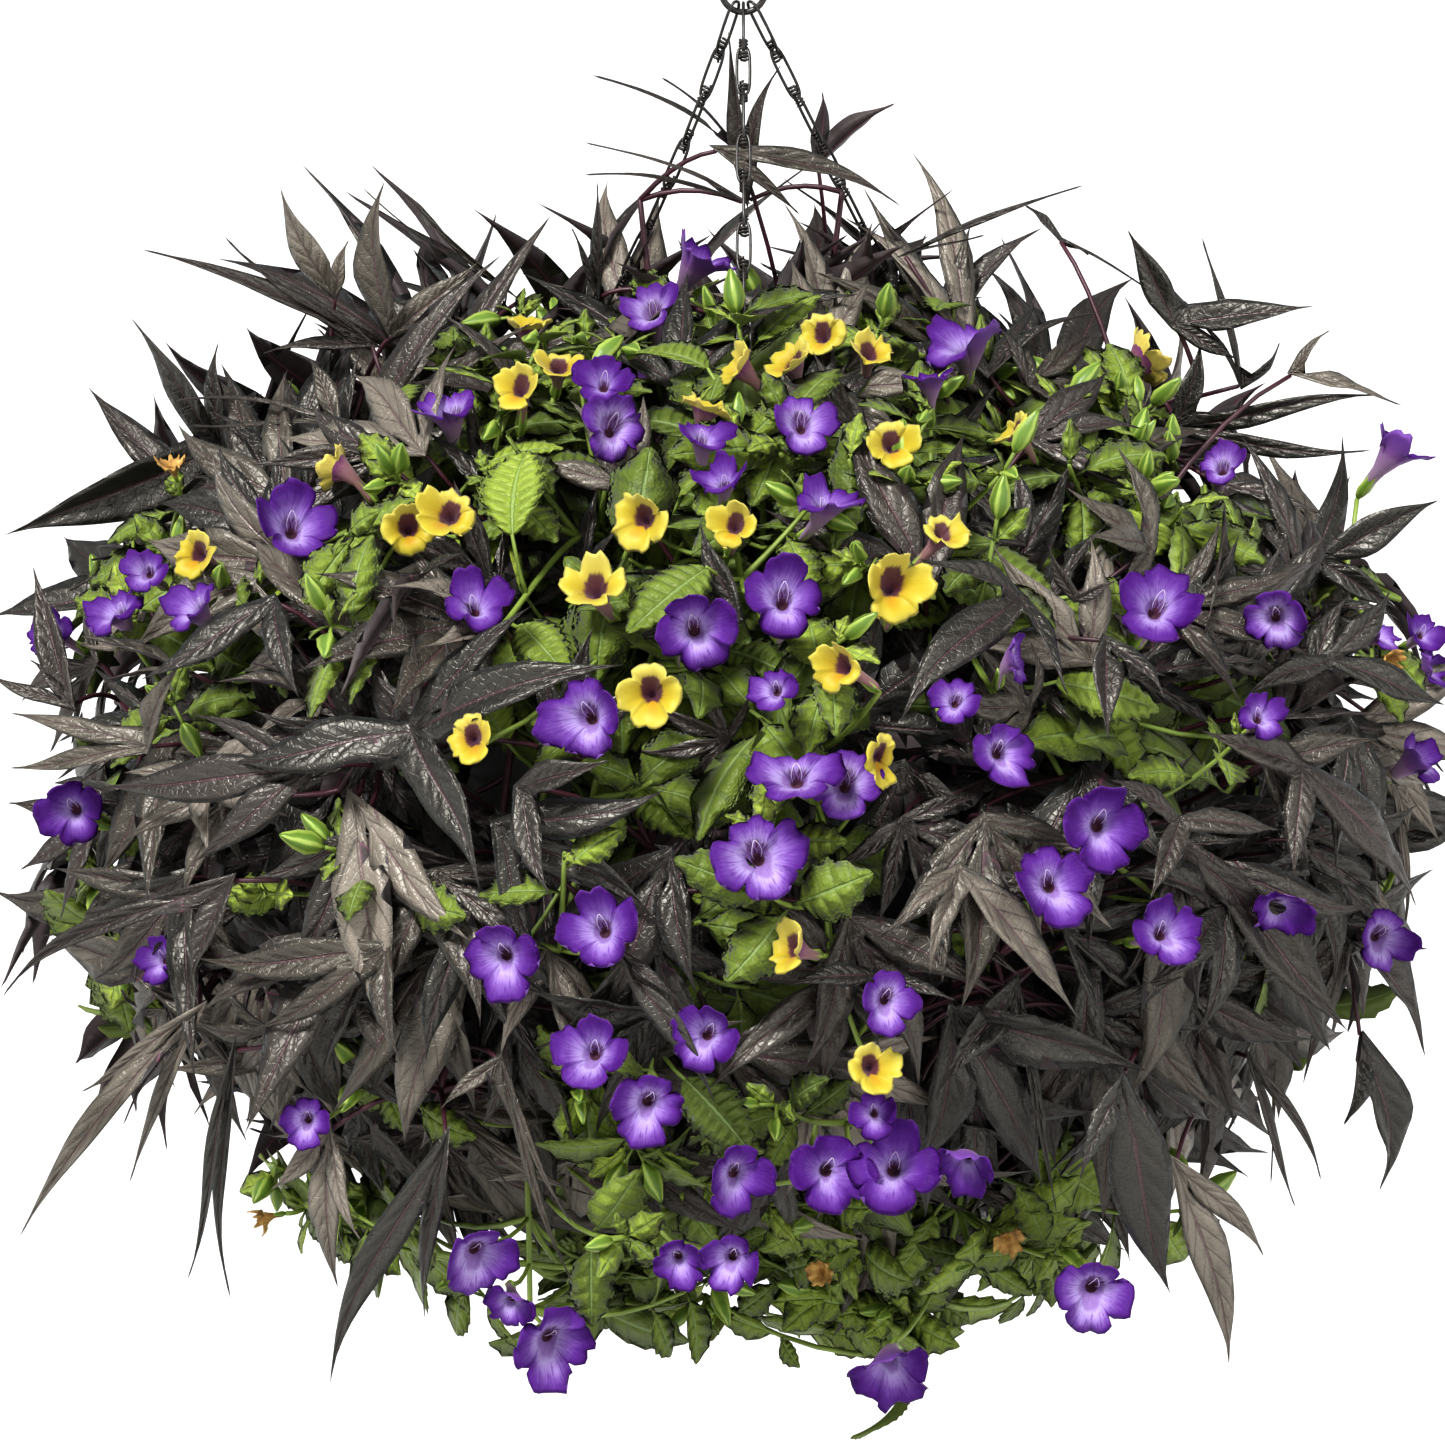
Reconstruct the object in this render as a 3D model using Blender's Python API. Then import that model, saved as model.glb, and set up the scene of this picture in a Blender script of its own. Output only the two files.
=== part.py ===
"""Mixed hanging basket: a wire hook, three chains and a pot of soil, planted with dark sweet potato
vine, purple wishbone flower and yellow wishbone flower. Metres, +Z up, seen from -Y. The origin is
the inner crown of the hook, where the basket hangs."""

import math
import random

import bmesh
import bpy
import numpy as np
from mathutils import Matrix, Vector
from mathutils.bvhtree import BVHTree

# Hook and chains
HOOK_WIRE = 0.0028
CROOK_RADIUS = 0.0125
EYE_RADIUS = 0.0085
EYE_BOTTOM = -0.062
CROOK_OPENING = math.radians(155)
EYE_START = math.radians(165)
EYE_TURN = math.radians(245)
HOOK_SIDES = 6
LINK_WIRE = 0.0016
LINK_HALF_WIDTH = 0.0031
LINK_SHOULDERS = (0.5,)
TOP_LINK_HALF_WIDTH = 0.0042
TOP_LINK_SHOULDERS = (0.10, 0.7)
RIM_LOOP_SHOULDERS = (0.35, 0.93)
TOP_LINK_RISE = 0.0029
KNOT_HALF = 0.0011
SQUARE = 0.89
# Name, degrees round from the front, sideways bow, place on the eye, and number of links
CHAINS = (
    ("chain_front", 0.0, 0.0, 0, 15),
    ("chain_left", -120.0, 0.012, -1, 14),
    ("chain_right", 120.0, 0.0, 1, 14),
)
CHAIN_SPACING = 0.0046
RIM_LOOP_HALF_WIDTH = 0.0052
RIM_LOOP_RISE = 0.012
CORNERS = [(a, u, v) for a in (-1, 1) for u in (-1, 1) for v in (-1, 1)]
RING_WAYS = ((-1, -1), (-1, 1), (1, 1), (1, -1))
KNOT_WAYS = ((-1, -1), (1, -1), (1, 1), (-1, 1))

# Pot and soil
POT_RADIUS = 0.146
POT_BASE_RADIUS = 0.110
POT_WALL = 0.002
RIM_Z = -0.332
POT_DEPTH = 0.183
LIP_WIDTH = 0.014
LIP_HOLE_AT = 0.1525
LIP_HOLE_RADIUS = 0.003
SOIL_BELOW_RIM = 0.013
POT_SIDES = 24
GAP = 0.0003

# The mound of foliage: a rounded form, wider than high, fuller below than above
MOUND_CENTRE = Vector((-0.005, 0.0, -0.400))
MOUND_WIDTH = 0.312
MOUND_UP = 0.215
MOUND_DOWN = 0.285
MOUND_POWER_UP = 2.0
MOUND_POWER_DOWN = 2.6

# The photograph's view, for the places read from it
PHOTO_SIDE = 1445
PIXEL = 0.00045
VIEW_AIM = Vector((-0.0092, 0.0, -0.3772))
VIEW_RISE = math.radians(8)
VIEW_DISTANCE = 2.3

# Stems
STEM_SIDES = 3
STEM_TAPER = 0.07
STEM_MARGIN = 0.0012
STEM_TRIES = 120
STEM_PARTS = 6
GROW_FROM = 8
ARCH_LIFT = 0.045
NECK_HEIGHT = 0.008
CROSSING_HEIGHT = 0.014
FLANK_GAP = 0.012
HOLE_DEPTH = 0.025
HOLE_CLEARANCE = 0.0005
STEM_RADIUS = {"vine": 0.0029, "purple": 0.0026, "yellow": 0.0024}
TIP_SINK = {"vine": 0.050, "purple": 0.034, "yellow": 0.030}
ROOT_RING_MIN = 0.030
ROOT_RING_MAX = 0.127
ROOT_SPACING = 0.015

# Leaves and blooms
BLADE_HALF = 0.0008
CLEARANCE = 0.0004
PETIOLE_RADIUS = 0.0011
ROOT_PART = 0.42
# A lobe of a vine leaf, as parts of its length: width, where its ridge and its widest place are, and
# how far these two rise
LOBE_WIDTH = 0.25
RIDGE_AT = 0.42
RIDGE_RISE = 0.05
WIDEST_AT = 0.45
MARGIN_RISE = 0.035
# How far out the margins of two lobes meet, where the lobes stand close and where they don't
NOTCH_REACH = 0.15
WIDE_NOTCH_REACH = 0.07
WIDE_NOTCH = 2.2
# Lobes that stand closer than this angle are narrower
CROWDED = 1.2
CROWDED_PART = 0.42
LOBE_BREADTHS = (0.9, 1.25)
SHORTEST_LOBE = 0.25
STEEPEST_LOBE = 0.75
# How far a leaf read from the photograph may slope away, as a part of its length there
MOST_SLANT = 0.6
LEAF_TILTS = 7
LEAF_END_PART = 0.9
STALK_SINK = 0.012
LOBE_SINK = -0.004
STALK_LEAN = 0.35
LONGEST_VINE_STALK = 0.17
VINE_STEM_CHOICE = 3
# How far things move back or forward along the view until they are clear of the rest
LEAF_PUSHES = (0, 0.007, -0.007, 0.014, -0.014, 0.022, 0.03, 0.04, 0.055, 0.07, 0.09)
BLOOM_PUSHES = (0, 0.006, -0.006, 0.012, 0.018, -0.012, 0.025, 0.035, 0.05)
LEAF_HALF_WIDTH = 0.31
LEAF_RIDGE_AT = 0.44
LEAF_ARCH = 0.09
LEAF_MARGIN_ARCH = 0.33
LEAF_STALK_PART = 0.8
THROAT_DEPTH = 0.12
MOUTH_DEPTH = 0.16
MOUTH_RADIUS = 0.17
BLOOM_DEPTH = 1.05
NOTCH_BACK = 0.10
FACE_LEAN = 0.05
CALYX_END_RADIUS = 0.0016
CALYX_DROOP = 0.12
LONGEST_BLOOM_STALK = 0.13
BLOOM_STEM_CHOICE = 4
STALK_SHIFTS = (0, -2, 2, -4)
BLOOM_TILTS = 3
BLOOM_TILT = 0.3
SEED = 11

# Where each stem of the near side ends, in the photograph
NEAR_STEMS = {
    "vine": (
        (640, 200), (850, 190), (330, 370), (120, 700), (340, 790), (200, 1000), (440, 1090),
        (1060, 640), (1200, 390), (1310, 740), (1010, 1010), (1210, 1110), (640, 950),
    ),
    "purple": (
        (655, 310), (420, 430), (950, 355), (760, 440), (130, 600), (490, 640), (745, 590),
        (815, 790), (1200, 560), (1010, 720), (1110, 860), (560, 950), (650, 1070), (850, 1160),
        (530, 1310), (930, 1350), (1400, 600), (1400, 860), (100, 840),
    ),
    "yellow": (
        (530, 350), (810, 370), (640, 540), (900, 580), (640, 700), (830, 950), (1130, 380),
        (400, 510),
    ),
}

# Where each stem of the far side ends: degrees round from the front, degrees above level
FAR_STEMS = {
    "vine": ((150, 52), (-138, 38), (112, 8), (-112, -22), (168, -34), (-160, 2)),
    "purple": ((180, 34), (130, -8), (-128, 6), (142, -44), (-150, -46)),
    "yellow": ((-165, 62), (158, 14), (-172, -18)),
}

# Vine leaves of the near side in the photograph: the stalk's end, then the tip of each lobe
NEAR_VINE_LEAVES = (
    ((411, 732), (531, 606), (626, 665), (480, 893), (230, 762)),
    ((309, 770), (102, 786), (193, 715), (194, 862)),
    ((1020, 597), (886, 547), (899, 726), (1068, 695)),
    ((1075, 600), (1050, 545), (1128, 575)),
    ((1105, 640), (1108, 742), (1165, 700)),
    ((1302, 768), (1289, 943), (1417, 908), (1200, 730)),
    ((620, 952), (746, 1154), (690, 1010)),
    ((905, 255), (1085, 185), (985, 235)),
    ((737, 150), (592, 75), (661, 77)),
    ((744, 202), (583, 142), (583, 175)),
    ((748, 200), (728, 30), (782, 64)),
    ((718, 150), (902, 207), (800, 215)),
    ((818, 165), (896, 103), (822, 91)),
    ((599, 296), (597, 181), (571, 227)),
    ((520, 300), (400, 188), (450, 250), (362, 187)),
    ((392, 335), (385, 180), (478, 262)),
    ((372, 345), (140, 249), (224, 236), (262, 354)),
    ((335, 297), (280, 186), (349, 240)),
    ((222, 446), (130, 317), (219, 341), (2, 536)),
    ((337, 423), (176, 400), (190, 425), (309, 358)),
    ((296, 436), (147, 538), (200, 500)),
    ((147, 553), (67, 592), (90, 560)),
    ((72, 705), (33, 566), (-12, 672), (30, 660)),
    ((273, 600), (140, 680), (300, 700)),
    ((147, 746), (10, 713), (9, 768), (184, 659)),
    ((96, 822), (7, 803), (20, 870), (60, 920)),
    ((230, 880), (2, 998), (37, 937), (190, 985)),
    ((200, 1010), (19, 1238), (81, 1092), (129, 1184)),
    ((235, 1050), (187, 1281), (231, 1300)),
    ((385, 950), (197, 958), (250, 1030), (400, 1060)),
    ((330, 1130), (338, 1288), (362, 1242), (270, 1190)),
    ((446, 1140), (330, 1385), (425, 1320), (461, 1189)),
    ((500, 1060), (572, 1224), (574, 1285), (440, 1110)),
    ((520, 790), (550, 895), (610, 760)),
    ((960, 870), (900, 925), (1080, 1020), (930, 975)),
    ((880, 975), (790, 985), (955, 1000)),
    ((1015, 985), (1030, 1176), (1057, 1214), (940, 1090)),
    ((965, 1095), (975, 1291), (905, 1200)),
    ((1120, 1080), (1171, 1295), (1080, 1180)),
    ((1175, 1165), (1229, 1366), (1264, 1257)),
    ((1248, 1056), (1321, 1181), (1296, 1209)),
    ((1360, 1037), (1379, 1192), (1344, 1125)),
    ((1175, 325), (1315, 306), (1127, 229), (1240, 360)),
    ((1240, 385), (1202, 237), (1184, 300), (1280, 342)),
    ((1177, 426), (1383, 395), (1372, 450), (1200, 338)),
    ((1292, 374), (1402, 405), (1330, 330)),
    ((1060, 240), (1025, 205), (1089, 255), (1150, 290)),
    ((1320, 560), (1440, 500), (1400, 610), (1250, 600)),
    ((1180, 820), (1280, 830), (1150, 900), (1110, 780)),
    ((1330, 660), (1445, 705), (1390, 590), (1240, 700)),
)

# Purple blooms of the near side in the photograph: centre, width across, and how far the bloom is
# turned to the right of its natural facing, in degrees
NEAR_PURPLE = (
    (702, 254, 70, 20), (649, 302, 65, 0), (446, 403, 68, 20), (604, 375, 60, 0),
    (619, 422, 72, 20), (965, 334, 82, 0), (930, 374, 50, 0), (706, 430, 55, 0),
    (804, 418, 65, 0), (721, 474, 55, 0), (830, 495, 62, 40), (295, 518, 83, 15),
    (476, 598, 65, 10), (786, 592, 80, 0), (695, 629, 78, 10), (583, 717, 80, -15),
    (1161, 598, 85, 0), (1277, 620, 65, 0), (1007, 750, 65, 0), (956, 699, 45, 0),
    (1021, 656, 50, 0), (795, 765, 85, 0), (845, 780, 70, 0), (761, 854, 86, 0),
    (1107, 825, 85, 0), (1056, 881, 80, 0), (1170, 929, 68, 0), (499, 959, 75, 0),
    (598, 925, 75, 0), (706, 1034, 65, 0), (591, 1049, 70, 0), (650, 1107, 70, 0),
    (738, 1177, 68, 0), (833, 1172, 78, 0), (893, 1162, 85, 0), (965, 1167, 62, 0),
    (873, 1112, 50, 0), (890, 1000, 60, 0), (480, 1260, 75, 0), (510, 1308, 40, 0),
    (556, 1349, 86, 0), (893, 1375, 80, 0), (1095, 1294, 80, 0), (730, 1261, 60, 0),
    (678, 1262, 50, 0), (1401, 443, 65, 20), (1222, 460, 55, 0),
    (112, 604, 60, 0), (145, 569, 45, 0), (189, 602, 60, 0),
    (48, 630, 35, 0), (72, 811, 70, 0),
    (155, 957, 50, 0), (306, 1121, 40, 0), (1263, 712, 50, 0),
    (1383, 629, 50, 0), (1427, 628, 50, 0), (1435, 664, 40, 0), (1422, 755, 60, 0),
    (1386, 938, 65, 0), (1282, 913, 60, 0), (773, 687, 40, 0),
)
NEAR_YELLOW = (
    (526, 321, 50, 0), (559, 361, 50, 0), (517, 383, 52, 0), (733, 362, 50, -50),
    (788, 356, 55, 0), (819, 331, 50, -30), (872, 347, 45, 0), (707, 401, 50, 0),
    (893, 441, 50, 0), (639, 518, 56, 0), (592, 581, 62, -15),
    (733, 522, 42, 0), (896, 582, 66, -10), (836, 665, 50, -60),
    (649, 694, 60, 0), (470, 736, 42, 0), (787, 945, 50, -30),
    (886, 757, 40, 0), (1149, 352, 62, 10), (1008, 425, 45, -60),
    (948, 527, 42, 50), (331, 464, 50, -55), (409, 527, 55, 0), (446, 510, 60, 0),
    (193, 551, 50, 0), (874, 1066, 40, 0),
)

# Blooms and leaves given by rule
FAR_BLOOM_WIDTH = {"purple": (0.028, 0.038), "yellow": (0.022, 0.027)}
FAR_BLOOMS = {"purple": 6, "yellow": 4}
FAR_VINE_LEAVES = 6
FAR_LOBES = ((0, 1.0), (0.75, 0.8), (-0.75, 0.8), (1.5, 0.5), (-1.5, 0.5))
LEAVES_PER_STEM = {"purple": 3, "yellow": 1}
LEAF_LENGTH = (0.036, 0.052)
LEAF_STALK_OUT = (0.008, 0.03)
LEAF_STALK_ALONG = (0.012, 0.03)
LEAF_TRIES = 60
LOWEST_LEAF = -0.68
FAR_TRIES = 40
FAR_BLOOM_SPREAD = 0.085
FAR_BLOOM_SINK = (-0.004, 0.02)
FAR_BLOOM_TILT = 0.45
FAR_BLOOM_START = 0.03
FAR_VINE_SPREAD = 0.09
FAR_VINE_SINK = (0.0, 0.03)
FAR_LOBE_LENGTH = (0.075, 0.105)
FAR_LOBE_CHOICE = (3, 3, 4, 5)
FAR_TWIST = 0.9
SMALL_BLOOM = 0.022
PLAIN_BLOOM = 0.0265

STEM_PAINT, LEAF_PAINT, PETAL_PAINT, MARK_PAINT, VINE_PAINT, STALK_PAINT = range(6)
PAINTS = (
    ("green_stem", (0.26, 0.40, 0.09), 0.6),
    ("green_leaf", (0.07, 0.17, 0.04), 0.55),
    ("petal", (0.20, 0.07, 0.55), 0.6),
    ("yellow_petal", (0.90, 0.66, 0.03), 0.6),
    ("vine_leaf", (0.030, 0.022, 0.026), 0.45),
    ("vine_stalk", (0.085, 0.018, 0.035), 0.5),
)

RIGHT = Vector((1, 0, 0))
UP = Vector((0, 0, 1))
VIEW_UP = Vector((0, math.sin(VIEW_RISE), math.cos(VIEW_RISE)))
TO_VIEW = Vector((0, -math.cos(VIEW_RISE), math.sin(VIEW_RISE)))
VIEW_POINT = VIEW_AIM + TO_VIEW * VIEW_DISTANCE


class Shape:
    """Triangles with a paint number each."""

    def __init__(self):
        self.points = []
        self.faces = []
        self.paints = []

    def ring(self, centre, side, rise, radius, count):
        """A ring of points round centre, by two unit vectors across its axis."""
        first = len(self.points)
        for k in range(count):
            a = math.tau * k / count
            self.points.append(centre + side * (radius * math.cos(a)) + rise * (radius * math.sin(a)))
        return list(range(first, first + count))

    def face(self, a, b, c, paint):
        self.faces.append((a, b, c))
        self.paints.append(paint)

    def band(self, one, two, paint):
        """Triangles between two rings of one count."""
        count = len(one)
        for k in range(count):
            n = (k + 1) % count
            self.face(one[k], one[n], two[n], paint)
            self.face(one[k], two[n], two[k], paint)

    def cap(self, ring, paint):
        for k in range(1, len(ring) - 1):
            self.face(ring[0], ring[k], ring[k + 1], paint)

    def zip_rings(self, outer, outer_angles, inner, inner_angles, paint):
        """Triangles between two closed rings of different counts, matched by their angles."""
        start = outer_angles[0]
        order = sorted(range(len(inner)), key=lambda k: (inner_angles[k] - start) % math.tau)
        inner = [inner[k] for k in order]
        inner_angles = [inner_angles[k] for k in order]
        turns_out = [(a - start) % math.tau for a in outer_angles] + [math.tau]
        turns_in = [(a - start) % math.tau for a in inner_angles]
        turns_in.append(turns_in[0] + math.tau)
        i = 0
        j = 0
        while i < len(outer) or j < len(inner):
            a = outer[i % len(outer)]
            b = inner[j % len(inner)]
            middle_out = (turns_out[i] + turns_out[i + 1]) / 2 if i < len(outer) else math.inf
            middle_in = (turns_in[j] + turns_in[j + 1]) / 2 if j < len(inner) else math.inf
            if middle_out <= middle_in:
                self.face(a, outer[(i + 1) % len(outer)], b, paint)
                i += 1
            else:
                self.face(a, inner[(j + 1) % len(inner)], b, paint)
                j += 1


def across(axis, near=UP):
    """Two unit vectors across an axis, the first as near as it goes to the given one."""
    one = near - axis * near.dot(axis)
    if one.length < 0.05:
        one = RIGHT - axis * RIGHT.dot(axis)
    one.normalize()
    return one, axis.cross(one).normalized()


def tube(points, radii, sides, paint, near=UP, closed=False):
    """A tube with filled ends, or a closed loop, along the points."""
    shape = Shape()
    rings = []
    count = len(points)
    side = None
    for k, point in enumerate(points):
        before = points[k - 1] if k or closed else point
        after = points[(k + 1) % count] if k < count - 1 or closed else point
        axis = (after - before).normalized()
        side, rise = across(axis, side or near)
        rings.append(shape.ring(point, side, rise, radii[k], sides))
    for one, two in zip(rings, rings[1:]):
        shape.band(one, two, paint)
    if closed:
        shape.band(rings[-1], rings[0], paint)
    else:
        shape.cap(rings[0], paint)
        shape.cap(rings[-1], paint)
    return shape


# The mound and the view


def mound_level(point, sink=0.0):
    """Below 1 inside the mound's outline, drawn in by sink."""
    d = point - MOUND_CENTRE
    flat = math.hypot(d.x, d.y) / (MOUND_WIDTH - sink)
    if d.z > 0:
        power = MOUND_POWER_UP
        high = d.z / (MOUND_UP - sink)
    else:
        power = MOUND_POWER_DOWN
        high = -d.z / (MOUND_DOWN - sink)
    return flat**power + high**power


def mound_normal(point):
    step = 0.001
    level = mound_level(point)
    slope = [mound_level(point + axis * step) - level for axis in (RIGHT, Vector((0, 1, 0)), UP)]
    return Vector(slope).normalized()


def view_ray(px, py):
    half = PHOTO_SIDE / 2
    point = VIEW_AIM + RIGHT * ((px - half) * PIXEL) + VIEW_UP * ((half - py) * PIXEL)
    return (point - VIEW_POINT).normalized()


def mound_distance(px, py, sink=0.0):
    """How far along the pixel's ray it meets the near side of the mound, or passes closest to it."""
    ray = view_ray(px, py)
    best = None
    for k in range(140):
        far = VIEW_DISTANCE - 0.36 + k * 0.003
        level = mound_level(VIEW_POINT + ray * far, sink)
        if best is None or level < best[0]:
            best = (level, far)
        if level <= 1:
            break
    return best[1]


def on_mound(px, py, sink=0.0, push=0.0):
    return VIEW_POINT + view_ray(px, py) * (mound_distance(px, py, sink) + push)


def round_mound(turn, rise, sink=0.0):
    """The mound's point at degrees round from the front and degrees above level."""
    a = math.radians(turn)
    e = math.radians(rise)
    ray = Vector((math.cos(e) * math.sin(a), -math.cos(e) * math.cos(a), math.sin(e)))
    low, high = 0.0, 0.5
    for _ in range(24):
        middle = (low + high) / 2
        if mound_level(MOUND_CENTRE + ray * middle, sink) < 1:
            low = middle
        else:
            high = middle
    return MOUND_CENTRE + ray * low


# Hook, chains, pot and soil


def hook_line():
    """The wire's middle line: an open crook, a slanting shank and an open eye."""
    half = HOOK_WIRE / 2
    crook = CROOK_RADIUS + half
    eye = EYE_RADIUS + half
    top = Vector((0, 0, -CROOK_RADIUS))
    low = Vector((0, 0, EYE_BOTTOM + half + eye))
    line = []
    for k in range(9):
        a = (math.tau - CROOK_OPENING) * (1 - k / 8)
        line.append(top + Vector((crook * math.cos(a), 0, crook * math.sin(a))))
    for k in range(11):
        a = EYE_START + EYE_TURN * k / 10
        line.append(low + Vector((eye * math.cos(a), 0, eye * math.sin(a))))
    return line


def hook_shape():
    line = hook_line()
    return tube(line, [HOOK_WIRE / 2] * len(line), HOOK_SIDES, 0, near=Vector((0, 1, 0)))


def chain_knots(turn, bow, place, links):
    """The joints of a chain, from inside the hook's eye to just under the pot's lip."""
    a = math.radians(turn)
    out = Vector((math.sin(a), -math.cos(a), 0))
    eye = EYE_RADIUS + HOOK_WIRE / 2
    x = place * CHAIN_SPACING
    sag = eye - math.sqrt(eye**2 - x**2)
    held = Vector((x, 0, EYE_BOTTOM + HOOK_WIRE / 2 + sag))
    foot = out * (LIP_HOLE_AT + RIM_LOOP_HALF_WIDTH) + UP * RIM_Z
    end = foot + UP * RIM_LOOP_RISE
    top = held - (end - held).normalized() * TOP_LINK_RISE
    side = RIGHT if turn < 0 else -RIGHT
    knots = []
    for k in range(links):
        t = k / (links - 1)
        knots.append(top.lerp(end, t) + side * (bow * 4 * t * (1 - t)))
    knots.append(foot - UP * (POT_WALL + GAP + KNOT_HALF))
    return knots, out


def chain_shape(turn, bow, place, links):
    """A chain of wire loops that alternate in facing, each joined to the next in a small knot. The
    last loop's facing is along the pot's radius, and it runs through the lip's hole."""
    knots, out = chain_knots(turn, bow, place, links)
    axis = (knots[-2] - knots[0]).normalized()
    frames = [(axis, *across(axis, out))] * links
    frames.append((-UP, *across(-UP, out)))
    shape = Shape()
    corners = []
    for knot, (down, one, two) in zip(knots, frames):
        first = len(shape.points)
        for a, u, v in CORNERS:
            offset = down * a + one * u + two * v
            shape.points.append(knot + offset * KNOT_HALF)
        corners.append({key: first + n for n, key in enumerate(CORNERS)})
        for a in (-1, 1):
            ring = [corners[-1][(a, u, v)] for u, v in KNOT_WAYS]
            shape.cap(ring, 0)
    shoulders = [TOP_LINK_SHOULDERS] + [LINK_SHOULDERS] * (links - 2) + [RIM_LOOP_SHOULDERS]
    for k in range(links):
        along_one = (links - 1 - k) % 2 == 0
        _, one, two = frames[-1] if k == links - 1 else frames[k]
        side, flat = (one, two) if along_one else (two, one)
        width = RIM_LOOP_HALF_WIDTH if k == links - 1 else LINK_HALF_WIDTH
        run = knots[k + 1] - knots[k]
        for way in (-1, 1):
            start = [corner_key(a, way, f, along_one) for a, f in RING_WAYS]
            stop = [corner_key(-a, way, f, along_one) for a, f in RING_WAYS]
            rings = [[corners[k][key] for key in start]]
            for part in shoulders[k]:
                wide = TOP_LINK_HALF_WIDTH if k == 0 and part < 0.5 else width
                middle = knots[k] + run * part + side * (way * wide)
                first = len(shape.points)
                for a, f in RING_WAYS:
                    offset = side * (-a * way) + flat * f
                    shape.points.append(middle + offset * (LINK_WIRE / 2 * SQUARE))
                rings.append(list(range(first, first + 4)))
            rings.append([corners[k + 1][key] for key in stop])
            for a, b in zip(rings, rings[1:]):
                shape.band(a, b, 0)
    for k, along_one in ((0, links % 2 == 0), (links, False)):
        for way in (-1, 1):
            ring = [corners[k][corner_key(a, way, f, along_one)] for a, f in RING_WAYS]
            shape.cap(ring, 0)
    return shape


def corner_key(along, way, flat, along_one):
    return (along, way, flat) if along_one else (along, flat, way)


def turned(profile, sides):
    """A solid turned about Z. An end of its profile that is off the axis is closed with one flat
    face."""
    shape = Shape()
    rings = []
    for radius, z in profile:
        if radius == 0:
            shape.points.append(Vector((0, 0, z)))
            rings.append([len(shape.points) - 1])
        else:
            rings.append(shape.ring(Vector((0, 0, z)), RIGHT, Vector((0, 1, 0)), radius, sides))
    for one, two in zip(rings, rings[1:]):
        if len(one) == 1 or len(two) == 1:
            tip = (one if len(one) == 1 else two)[0]
            loop = two if len(one) == 1 else one
            for k in range(sides):
                shape.face(tip, loop[k], loop[(k + 1) % sides], 0)
        else:
            shape.band(one, two, 0)
    for ring in (rings[0], rings[-1]):
        if len(ring) > 1:
            shape.faces.append(tuple(ring))
            shape.paints.append(0)
    return shape


def pot_shape():
    base = RIM_Z - POT_DEPTH
    return turned(
        (
            (0, base),
            (POT_BASE_RADIUS, base),
            (POT_RADIUS, RIM_Z - POT_WALL),
            (POT_RADIUS + LIP_WIDTH, RIM_Z - POT_WALL),
            (POT_RADIUS + LIP_WIDTH, RIM_Z),
            (POT_RADIUS - POT_WALL, RIM_Z),
            (POT_BASE_RADIUS - POT_WALL, base + POT_WALL),
            (0, base + POT_WALL),
        ),
        POT_SIDES,
    )


def inner_radius(z):
    """The pot's inner radius at a height."""
    base = RIM_Z - POT_DEPTH + POT_WALL
    t = (z - base) / (RIM_Z - base)
    return POT_BASE_RADIUS - POT_WALL + t * (POT_RADIUS - POT_BASE_RADIUS)


def soil_shape():
    base = RIM_Z - POT_DEPTH + POT_WALL + GAP
    top = RIM_Z - SOIL_BELOW_RIM
    low_radius = inner_radius(base) - 2 * GAP
    high_radius = inner_radius(top) - 2 * GAP
    return turned(((low_radius, base), (high_radius, top)), POT_SIDES)


# Stems


def stem_ends():
    """Each stem's kind and the point under the mound's surface where it ends."""
    ends = []
    for kind, places in NEAR_STEMS.items():
        for px, py in places:
            ends.append((kind, on_mound(px, py, TIP_SINK[kind]), True))
    for kind, places in FAR_STEMS.items():
        for turn, rise in places:
            ends.append((kind, round_mound(turn, rise, TIP_SINK[kind]), False))
    return ends


# Degrees of rise at which a stem stands on the inmost ring, and over how many it moves to the outmost
INNER_RISE = 65
RISE_RANGE = 90
ROOT_ROUNDS = 200
EASING = 0.5


def stem_roots(ends):
    """Where each stem stands in the soil: stems that end low stand near the rim, and none touch."""
    places = []
    for _, end, _ in ends:
        d = end - MOUND_CENTRE
        rise = math.degrees(math.atan2(d.z, math.hypot(d.x, d.y)))
        t = min(max((INNER_RISE - rise) / RISE_RANGE, 0), 1)
        ring = ROOT_RING_MIN + (ROOT_RING_MAX - ROOT_RING_MIN) * t
        a = math.atan2(end.x, -end.y)
        places.append((ring * math.sin(a), -ring * math.cos(a)))
    places = np.array(places)
    for _ in range(ROOT_ROUNDS):
        away = places[:, None] - places[None]
        far = np.hypot(away[..., 0], away[..., 1]) + np.eye(len(places))
        push = np.clip(ROOT_SPACING - far, 0, None) * EASING
        np.fill_diagonal(push, 0)
        places += (away / far[..., None] * push[..., None]).sum(1) * EASING
        ring = np.hypot(places[:, 0], places[:, 1])
        places *= (np.minimum(ring, ROOT_RING_MAX) / ring)[:, None]
    return places


# A stem that ends nearer the middle than this rises straight; one that ends farther out than
# RIM_REACH, and lower than LOW_END above the rim, crosses the rim
MIDDLE_REACH = 0.02
RIM_REACH = 0.12
LOW_END = 0.10
CROSSING_PART = 0.93
# Beside the pot: how far under the rim a stem has to end to run down there, where it passes, and the
# part of its lift that counts outward and upward
FLANK_START = 0.02
FLANK_OUT = 0.7
FLANK_DROP = 0.006
FLANK_LIFT = 0.4
# A stem that ends lower than this has one more point, which lies this much farther out
DEEP_START = 0.11
DEEP_OUT = (0.004, 0.03)
DEEP_PART = 0.55
# A stem inside the rim bends this part of its way out, at this height over the soil
INNER_PART = 0.35
INNER_HEIGHT = 0.035


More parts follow.
